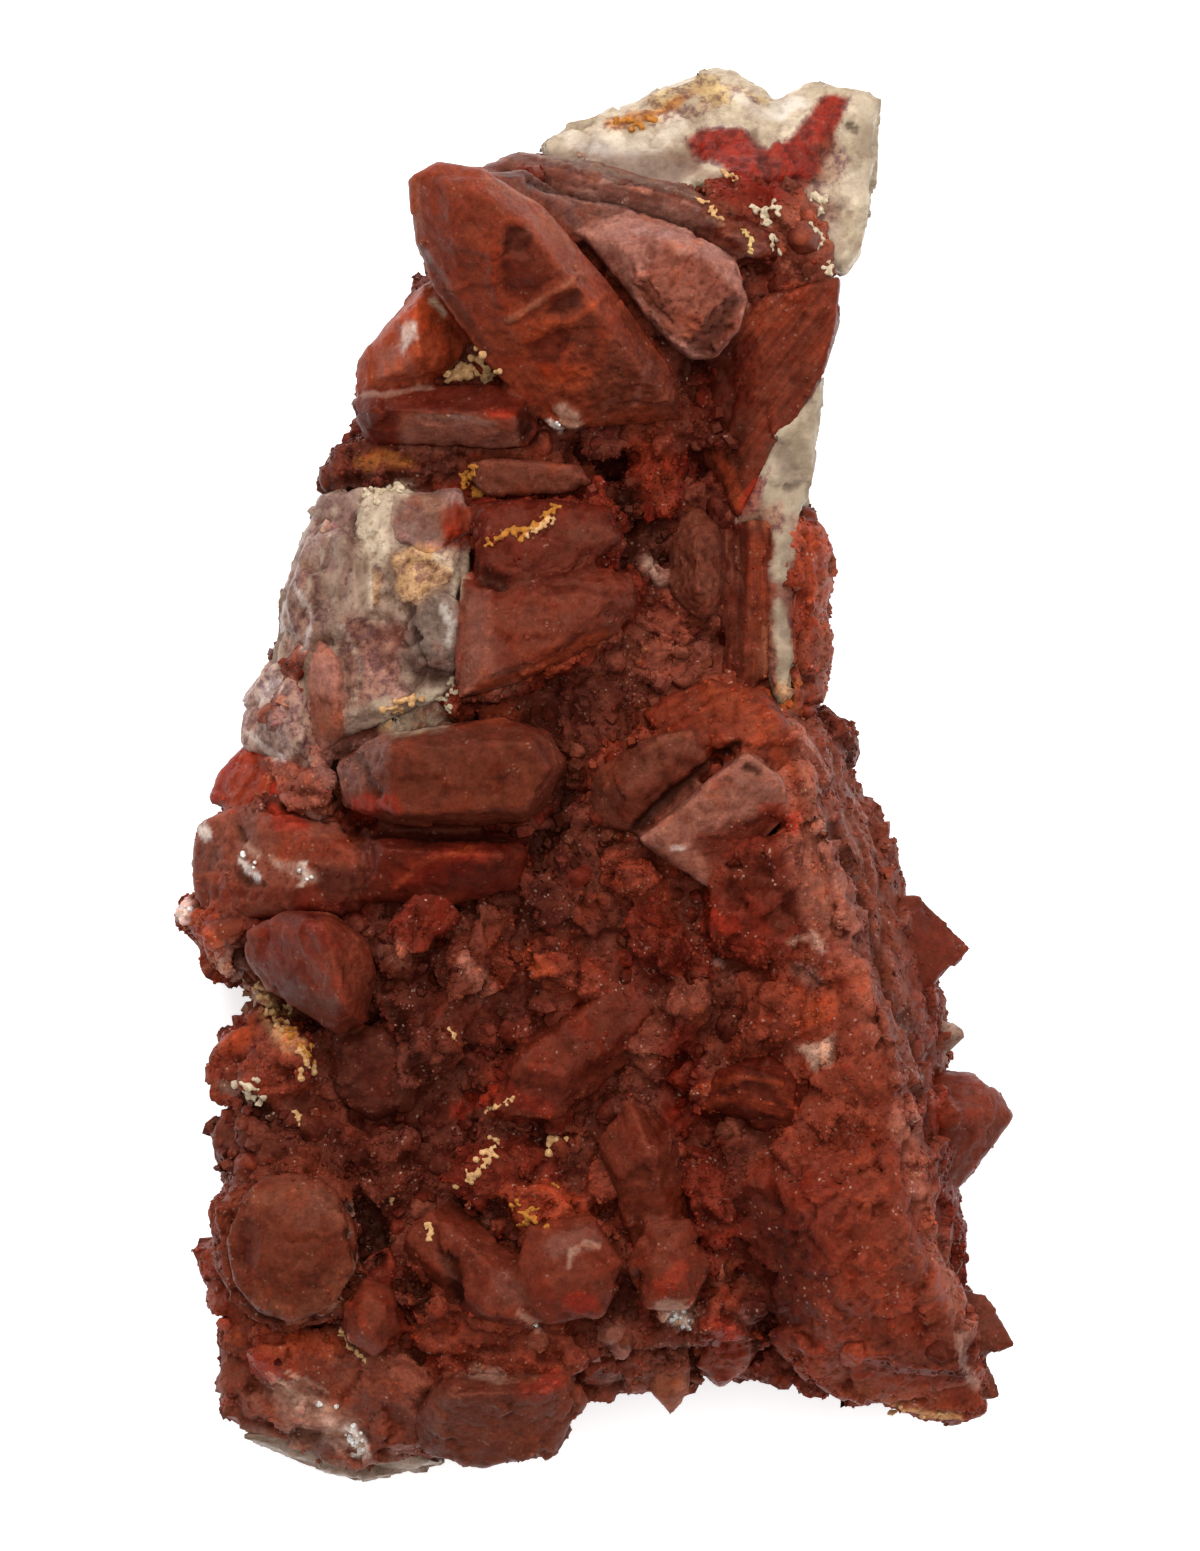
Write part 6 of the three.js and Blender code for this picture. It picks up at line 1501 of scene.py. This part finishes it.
def druse_tree():
    """Druse: crystals of many sizes stand on the covered stretches of a skin."""
    tree, graph, start = geometry_tree("druse", {
        "Shape": "Object", "Density": "Float", "Smallest": "Float", "Largest": "Float", "Lean": "Float",
        "Least": "Float", "Seed": "Int", "Finish": "Material"})
    seed = graph.twin(start, "Seed")
    place = graph.add("GeometryNodeInputPosition")
    height = graph.height(place)
    normal = graph.add("GeometryNodeInputNormal")
    upward = graph.height(normal)
    patches = graph.noise(place, 3.4, 2).between(0.36, 0.6)
    cover = graph.carried("cover") - graph.twin(start, "Least")
    density = graph.twin(start, "Density") * cover.between(0.0, 0.4) * (0.35 + patches)
    density = density * (0.25 + 0.75 * upward.between(0.0, 0.5)) * upward.between(-0.7, -0.3)
    density = density * height.between(0.3, 1.2)
    scatter = {"distribute_method": "RANDOM"}
    points = graph.add("GeometryNodeDistributePointsOnFaces", scatter, start, Density=density, Seed=seed)
    spread = graph.twin(start, "Lean")
    lean = [graph.drawn(seed + n, 0.0 - spread, spread) for n in (1, 2)]
    angles = graph.add("ShaderNodeCombineXYZ", {}, lean[0], lean[1], graph.drawn(seed + 3, 0.0, 6.28))
    tilt = graph.add("FunctionNodeEulerToRotation", {}, angles)
    upright = graph.twin(points, "Rotation")
    turned = graph.add("FunctionNodeRotateRotation", {"rotation_space": "LOCAL"}, upright, tilt)
    low = graph.twin(start, "Smallest")
    size = low + graph.drawn(seed + 4, 0.0, 1.0) ** 2.2 * (graph.twin(start, "Largest") - low)
    size = size.least(height * 0.8) * (0.75 + upward.between(-0.2, 0.6) * 0.25)
    tall = size * graph.drawn(seed + 5, 0.5, 1.0)
    scale = graph.add("ShaderNodeCombineXYZ", {}, size, size * 0.85, tall)
    tint = graph.drawn(seed + 6, (0.88, 0.83, 0.8), (1.18, 1.12, 1.08), "FLOAT_VECTOR")
    shade = graph.vector("SCALE", tint, Scale=graph.drawn(seed + 7, 0.78, 1.16))
    toned = graph.vector("MULTIPLY", graph.carried("tone", "FLOAT_COLOR"), shade)
    marked = graph.store(points, "tone", toned, "FLOAT_COLOR")
    shape = graph.add("GeometryNodeObjectInfo", {}, graph.twin(start, "Shape"), out="Geometry")
    grown = graph.add(
        "GeometryNodeInstanceOnPoints", {}, marked, Instance=shape, Rotation=turned, Scale=scale)
    real = graph.add("GeometryNodeRealizeInstances", {}, grown)
    done = graph.add("GeometryNodeSetMaterial", {}, real, Material=graph.twin(start, "Finish"))
    graph.add("NodeGroupOutput", {}, done)
    return tree


def druse_on(skins, name, **values):
    """The druse of some skins, as one mesh of its own."""
    grown = [run_tree(held(skin.data.copy(), name), druse, Finish=druse_finish, **values) for skin in skins]
    return joined(grown, name)


def joined(things, name):
    """Several meshes made one piece."""
    bm = bmesh.new()
    for thing in things:
        bm.from_mesh(thing.data)
    whole = things[0]
    bm.to_mesh(whole.data)
    bm.free()
    for thing in things[1:]:
        bpy.data.objects.remove(thing)
    whole.name = name
    return whole


# ---- clay and clear crystals

def ground(skins, x, y):
    """The height of the stone at a place in plan."""
    hits = [skin.ray_cast(Vector((x, y, ABOVE)), DOWN) for skin in skins]
    return max([BED] + [place.z for found, place, _, _ in hits if found])


def lump(place, radius, rng):
    """A small uneven lump, as vertices and faces."""
    bm = bmesh.new()
    bmesh.ops.create_icosphere(bm, subdivisions=1, radius=radius)
    verts = [vert.co * rng.uniform(0.75, 1.2) + place for vert in bm.verts]
    faces = [[vert.index for vert in face.verts] for face in bm.faces]
    bm.free()
    return verts, faces


def clay_piece(skins, rng):
    """Crumbly clay, as threads of lumps pressed into the clefts."""
    shells = []
    tones = []
    for finish, radius, points in CLAY:
        for (x1, y1), (x2, y2) in zip(points, points[1:]):
            steps = max(1, round(math.hypot(x2 - x1, y2 - y1) / (0.75 * radius)))
            for step in range(steps + 1):
                if rng.random() < 0.15:
                    continue
                sizes = (radius * rng.uniform(0.6, 1.1), radius * rng.uniform(0.35, 0.7), 0.35 * radius)
                for size in sizes:
                    x = x1 + (x2 - x1) * step / steps + rng.gauss(0, 0.8 * radius)
                    y = y1 + (y2 - y1) * step / steps + rng.gauss(0, 0.8 * radius)
                    place = Vector((x, y, ground(skins, x, y) + 0.05 + 0.15 * size))
                    shells.append(lump(place, size, rng))
                    tones.append((place, finish))
    piece = fused(shells, "clay_threads", CLAY_GRAIN)
    middles = np.array([place[:] for place, _ in tones])
    nearest = [int(np.argmin(((middles - np.array(vertex.co)) ** 2).sum(axis=1)))
               for vertex in piece.data.vertices]
    colours = [(*LIGHT[tones[index][1]], 1.0) for index in nearest]
    tone = piece.data.attributes.new("tone", "FLOAT_COLOR", "POINT")
    tone.data.foreach_set("color", np.array(colours, np.float32).ravel())
    return piece


def glint_piece(skins, shape, rng):
    """Clusters of little clear crystals."""
    bm = bmesh.new()
    for width, number, (first, last) in GLINTS:
        for _ in range(number):
            share = rng.random()
            x = first[0] + (last[0] - first[0]) * share + rng.uniform(-width, width)
            y = first[1] + (last[1] - first[1]) * share + rng.uniform(-width, width)
            turn = Matrix.Rotation(rng.uniform(0, 6.28), 4, "Z")
            turn = turn @ Matrix.Rotation(rng.uniform(0, 0.9), 4, "X")
            size = Matrix.Diagonal((*[rng.uniform(0.25, 0.5)] * 3, 1))
            place = Matrix.Translation((x, y, ground(skins, x, y) + 0.15))
            grown = shape.data.copy()
            grown.transform(place @ turn @ size)
            bm.from_mesh(grown)
            bpy.data.meshes.remove(grown)
    return poured(bm, "clear_points")


# ---- finishes

def principled(name):
    """A new material and its graph, in metres."""
    material = bpy.data.materials.new(name)
    material.use_nodes = True
    graph = Graph(material.node_tree, MM)
    return material, graph, graph.add("ShaderNodeTexCoord", {}, out="Object")


def finish_with(graph, height=None, **sockets):
    """The material's one shader, with the bumps of a height, and its output."""
    if height is not None:
        sockets["Normal"] = graph.add("ShaderNodeBump", {}, Strength=0.8, Distance=1.0, Height=height)
    shader = graph.add("ShaderNodeBsdfPrincipled", {}, **sockets)
    graph.add("ShaderNodeOutputMaterial", {}, shader)


def opaque(name):
    """A finish's colour as a shader takes it."""
    return (*LIGHT[name], 1)


def rust_quartz(name, rough, facet, relief, grains, grit, depth, painted_glints, speckle, blots):
    """Iron-stained quartz: mottled and grained, darker in its hollows as painted shade, and lighter on its
    edges where they are worn, together with a painted highlight on the rims.
    """
    material, graph, place = principled(name)
    tone = graph.tinted(graph.attribute("tone", "Color"), depth, depth, depth)
    wear = graph.attribute("wear")
    streak = graph.attribute("streak")
    cloud = graph.noise(place, 6, 3).between(0.32, 0.68)
    mottle = graph.noise(place, 1.3, 4, 0.62).between(0.32, 0.68)
    fine = graph.noise(place, 0.3, 3, 0.6)
    lay = graph.attribute("lay", "Vector")
    lines = graph.noise(lay, 1, 4, 0.6, (0.12, 2.2, 0.4)).between(0.34, 0.66)
    cell = graph.add("ShaderNodeSeparateColor", {}, graph.cells(place, 0.7, "Color"))
    share = cloud * 0.35 + mottle * (0.65 - grains) + cell * grains
    base = graph.blend(share, graph.tinted(tone, 0.6, 0.48, 0.46), graph.tinted(tone, 1.28, 1.24, 1.2))
    stains_and_painted_light = (
        # warm, cool and rusty clouds
        (graph.noise(place, 3.1, 3).between(0.54, 0.68) * 0.6, (1.3, 0.95, 0.68)),
        (graph.noise(place, 4.3, 4).between(0.54, 0.7) * 0.5, (0.9, 1.08, 1.35)),
        (graph.noise(place, 1.7, 4, 0.65).between(0.54, 0.66) * 0.6, (1.12, 0.72, 0.58)),
        # growth lines; edges lighter, worn and with painted highlight; hollows darker, as painted shade
        (streak * (1 - lines) * 0.75, (0.45, 0.36, 0.34)), (streak * lines * 0.5, (1.4, 1.3, 1.1)),
        (wear.between(0.02, 0.16) * 0.5, (1.4, 1.4, 1.4)),
        (wear.between(-0.02, -0.2) * 0.6, (0.55, 0.36, 0.28)),
        # blots, dark speckles and light ones
        (graph.noise(place, 0.9, 4, 0.62).between(0.52, 0.62) * blots, (0.62, 0.4, 0.36)),
        (fine.between(0.46, 0.36) * speckle, (0.5, 0.42, 0.42)),
        (fine.between(0.55, 0.66) * speckle, (1.5, 1.45, 1.35)))
    for share, tint in stains_and_painted_light:
        base = graph.tinted_over(base, share, *tint)
    # painted glints: tiny pale dots in the colour, a little glossier there
    cell = graph.add("ShaderNodeSeparateColor", {}, graph.cells(place, 0.2, "Color"))
    painted_glint = cell.between(0.955, 0.975) * mottle * graph.noise(place, 2.2, 3).between(0.46, 0.6)
    base = graph.blend(painted_glint * painted_glints, base, opaque("blush"))
    height = graph.facets(place, facet) * relief + graph.facets(place, 2.4 * facet) * (0.8 * relief)
    height = height + (graph.noise(place, 0.4, 4, 0.65) - 0.5) * (grit * MM)
    finish_with(graph, height, Base_Color=base, Roughness=rough + mottle * 0.12 - painted_glint * 0.3, IOR=1.54,
                Specular_IOR_Level=0.2, Specular_Tint=(1, 0.42, 0.26, 1))
    return material


def pale_quartz(name, clear, rough, contrast, relief):
    """Milky broken quartz: white and grey, stained in places."""
    material, graph, place = principled(name)
    tone = graph.attribute("tone", "Color")
    wear = graph.attribute("wear")
    cloud = graph.noise(place, 3.2, 4, 0.6).between(0.36, 0.62)
    vein = graph.noise(place, 0.9, 5, 0.7).between(0.42, 0.62)
    parts = graph.add("ShaderNodeSeparateColor", {}, tone)
    stain = (parts - graph.twin(parts, "Green")).between(0.08, 0.14)
    base = graph.blend(cloud, graph.tinted(tone, 0.68, 0.64, 0.6), graph.tinted(tone, 1.08, 1.08, 1.08))
    base = graph.tinted_over(base, stain * vein, 0.4, 0.3, 0.4)
    base = graph.tinted_over(base, vein * (0.4 * contrast), 1.3, 1.3, 1.3)
    rust = graph.noise(place, 2.4, 5, 0.7).between(0.58, 0.7)
    base = graph.blend(rust * (1 - stain) * (0.4 * contrast), base, opaque("tan"))
    purple = graph.noise(place, 1.5, 5, 0.7).between(0.52, 0.64)
    base = graph.tinted_over(base, purple * (0.4 * contrast), 0.72, 0.56, 0.56)
    # painted shade: darker in the hollows
    base = graph.tinted_over(base, wear.between(-0.02, -0.16) * (0.8 * contrast), 0.5, 0.4, 0.34)
    fine = graph.noise(place, 0.35, 3, 0.6)
    base = graph.tinted_over(base, fine.between(0.44, 0.36) * contrast, 0.6, 0.48, 0.44)
    base = graph.blend(fine.between(0.58, 0.66) * (1 - stain) * (0.3 * contrast), base, opaque("blush"))
    height = graph.facets(place, 1.1) * relief + (graph.noise(place, 0.5, 4, 0.6) - 0.5) * (0.12 * MM)
    finish_with(graph, height, Base_Color=base, Roughness=rough + vein * 0.2, IOR=1.54,
                Transmission_Weight=clear, Specular_IOR_Level=0.22, Specular_Tint=(1, 0.8, 0.62, 1))
    return material


def clay_finish():
    """Dry cream to ochre clay."""
    material, graph, place = principled("dry_clay")
    tone = graph.attribute("tone", "Color")
    mottle = graph.noise(place, 0.5, 4, 0.6).between(0.34, 0.66)
    base = graph.blend(mottle, graph.tinted(tone, 0.68, 0.62, 0.54), graph.tinted(tone, 1.1, 1.1, 1.1))
    height = (graph.noise(place, 0.25, 4, 0.65) - 0.5) * (0.15 * MM)
    finish_with(graph, height, Base_Color=base, Roughness=0.85, Specular_IOR_Level=0.2)
    return material


def clear_quartz():
    """Clear quartz, a little frosted inside."""
    material, graph, place = principled("clear_quartz")
    cloud = graph.noise(place, 0.6, 3).between(0.4, 0.6)
    base = graph.blend(cloud, (0.98, 0.96, 0.92, 1), (0.86, 0.82, 0.78, 1))
    finish_with(graph, Base_Color=base, Roughness=0.08 + cloud * 0.1, IOR=1.54, Transmission_Weight=0.35)
    return material


# ---- studio

def studio():
    """A pale floor, soft light from beyond the narrow top, and the camera straight above."""
    corners = [(-1, -1), (1, -1), (1, 1), (-1, 1)]
    verts = [(FLOOR_SIZE * x, FLOOR_SIZE * y, LOW[2] - FLOOR_GAP) for x, y in corners]
    mesh = new_mesh("floor", verts, [(0, 1, 2, 3)])
    material, graph, place = principled("pale_floor")
    base = graph.blend(graph.noise(place, 300, 2), (0.93, 0.93, 0.93, 1), (0.97, 0.97, 0.97, 1))
    finish_with(graph, Base_Color=base, Roughness=0.9, Specular_IOR_Level=0.1,
                Emission_Color=(1, 1, 1, 1), Emission_Strength=0.5)
    mesh.materials.append(material)
    held(mesh, "floor")

    middle = Vector([(a + b) / 2 for a, b in zip(LOW, HIGH)])
    for name, place, width, power in (
            ("key", (-0.06, 0.55, 0.62), 0.45, 5.6),
            ("side", (0.5, 0.1, 0.6), 0.4, 1.2),
            ("top", (0.0, 0.08, 1.2), 0.7, 5.2)):
        lamp = bpy.data.lights.new(name, "AREA")
        lamp.size = width
        lamp.energy = power
        light = held(lamp, name)
        light.location = place
        light.rotation_euler = (middle - Vector(place)).to_track_quat("-Z", "Y").to_euler()
    world = bpy.data.worlds.new("room")
    world.use_nodes = True
    sky = world.node_tree.nodes["Background"]
    sky.inputs["Color"].default_value = (1, 1, 1, 1)
    sky.inputs["Strength"].default_value = 0.56
    bpy.context.scene.world = world
    bpy.context.scene.view_settings.view_transform = "Standard"

    lens = bpy.data.cameras.new("camera")
    lens.lens = LENS
    lens.sensor_width = SENSOR
    lens.clip_start = 0.01
    eye = held(lens, "camera")
    distance = FRAME_HEIGHT * lens.lens / lens.sensor_width
    eye.location = (middle.x + SHIFT, middle.y - SHIFT, FOCUS + distance)
    bpy.context.scene.camera = eye


# ---- making

rng = random.Random(SEED)
studio()
listed = listed_bodies()
bodies = listed + wall_crystals(rng) + skirts(listed, rng)
field = field_crystals(bodies, rng)
bodies += field
weathering = weathering_tree()
druse = druse_tree()
rock_finish = rust_quartz("rust_rock", 0.5, 0.8, 0.8, 0.25, 0.05, 1, 0.7, 0.5, 0.3)
crystal_finish = rust_quartz("rust_crystal", 0.44, 1.1, 0.25, 0.2, 0.06, 0.68, 0.25, 0.45, 0.4)
druse_finish = rust_quartz("rust_druse", 0.46, 0.5, 0.3, 0.15, 0.03, 0.97, 0.6, 0.4, 0.15)
milky_finish = pale_quartz("milky_quartz", 0.12, 0.4, 0.3, 0.12)
grey_finish = pale_quartz("grey_quartz", 0.15, 0.3, 0.8, 0.3)
grain = grain_shape()
point = point_shape("point", (0.34, 0.2, 0.4, 0.16), 0.05)


def coated(skin, own, finish, crisp=False, **wear):
    """Paints and weathers a skin of some bodies and gives it its material."""
    paint(skin, own)
    run_tree(skin, weathering, **wear)
    dressed(skin, finish)
    if crisp:
        skin.data.set_sharp_from_angle(angle=CRISP)
    return skin


def dressed(thing, finish):
    """Gives a piece its one material and smooth shading."""
    thing.data.materials.clear()
    thing.data.materials.append(finish)
    thing.data.shade_smooth()
    return thing


def side_cut(y, way):
    """A cut across the cluster that takes off what lies beyond y, up (1) or down (-1) the Y axis."""
    return (Vector((0, y, 0)), Vector((0, way, 0)))


rocks = []
masses = [body for body in bodies if body.cover >= CRUSTED]
for name, low, high in SLABS:
    low -= LAP
    high += LAP
    near = [body for body in masses if body.reaches(low, high)]
    cuts = [FLOOR_CUT, side_cut(high, 1), side_cut(low, -1)]
    shells = [hull(body.points, cuts) for body in near]
    skin = fused([shell for shell in shells if shell[0]], "rock_" + name, ROCK_GRAIN)
    rocks.append(coated(skin, masses, rock_finish, Swell=1.2, Ripple=0.3, Grit=0.22, Facets=0.75, Chips=0.3))

crystals = []
smooth = [body for body in listed if body.cover < CRUSTED and body.finish not in PALE]
for name, fits in (
        ("crown", lambda p: p.y > 24), ("waist", lambda p: -12 < p.y <= 24),
        ("left", lambda p: p.y <= -12 and p.x < 1), ("right", lambda p: p.y <= -12 and p.x >= 1)):
    near = [body.shell for body in smooth if fits(body.middle)]
    skin = fused(near, name + "_crystals", GRAIN)
    crystals.append(coated(
        skin, smooth, crystal_finish, Swell=0.5, Ripple=0.24, Grit=0.2, Facets=0.3, Chips=0.24))
crystals.append(coated(
    faceted(field, "field_crystals"), field, rock_finish, True,
    Swell=0.3, Ripple=0.3, Grit=0.1, Facets=0.2, Chips=0.1))

pale = []
for name, finishes, finish in (
        ("milky_quartz", ("cream", "milk", "blush"), milky_finish),
        ("grey_quartz", ("grey", "glass"), grey_finish)):
    mine = [body for body in bodies if body.finish in finishes]
    skin = fused([body.shell for body in mine], name, PALE_GRAIN)
    pale.append(coated(skin, mine, finish, Swell=0.8, Ripple=0.28, Grit=0.21, Facets=0.63, Chips=0.42))

skins = rocks + crystals + pale
pieces = skins[:]
for number, (skin, (name, _, _)) in enumerate(zip(rocks, SLABS)):
    pieces += [
        druse_on([skin], "small_crystals_" + name, Shape=point, Density=0.42, Smallest=0.8, Largest=2.2,
                 Lean=0.6, Least=0.62, Seed=20 + number),
        druse_on([skin], "druse_" + name, Shape=grain, Density=2.5, Smallest=0.35, Largest=0.9,
                 Lean=0.8, Least=0.1, Seed=40 + number)]
pieces.append(druse_on(crystals, "druse_on_crystals", Shape=grain, Density=0.9, Smallest=0.3, Largest=0.75,
                       Lean=0.7, Least=0.1, Seed=60))
bpy.context.view_layer.update()
pieces.append(dressed(clay_piece(skins, rng), clay_finish()))
glints = glint_piece(skins, point, rng)
glints.data.materials.append(clear_quartz())
pieces.append(glints)

for piece in pieces:
    piece.data.transform(Matrix.Scale(MM, 4))
    piece.data.update()
    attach(piece, "root")
    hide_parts("quartz_cluster")
for shape in (grain, point):
    bpy.data.objects.remove(shape)
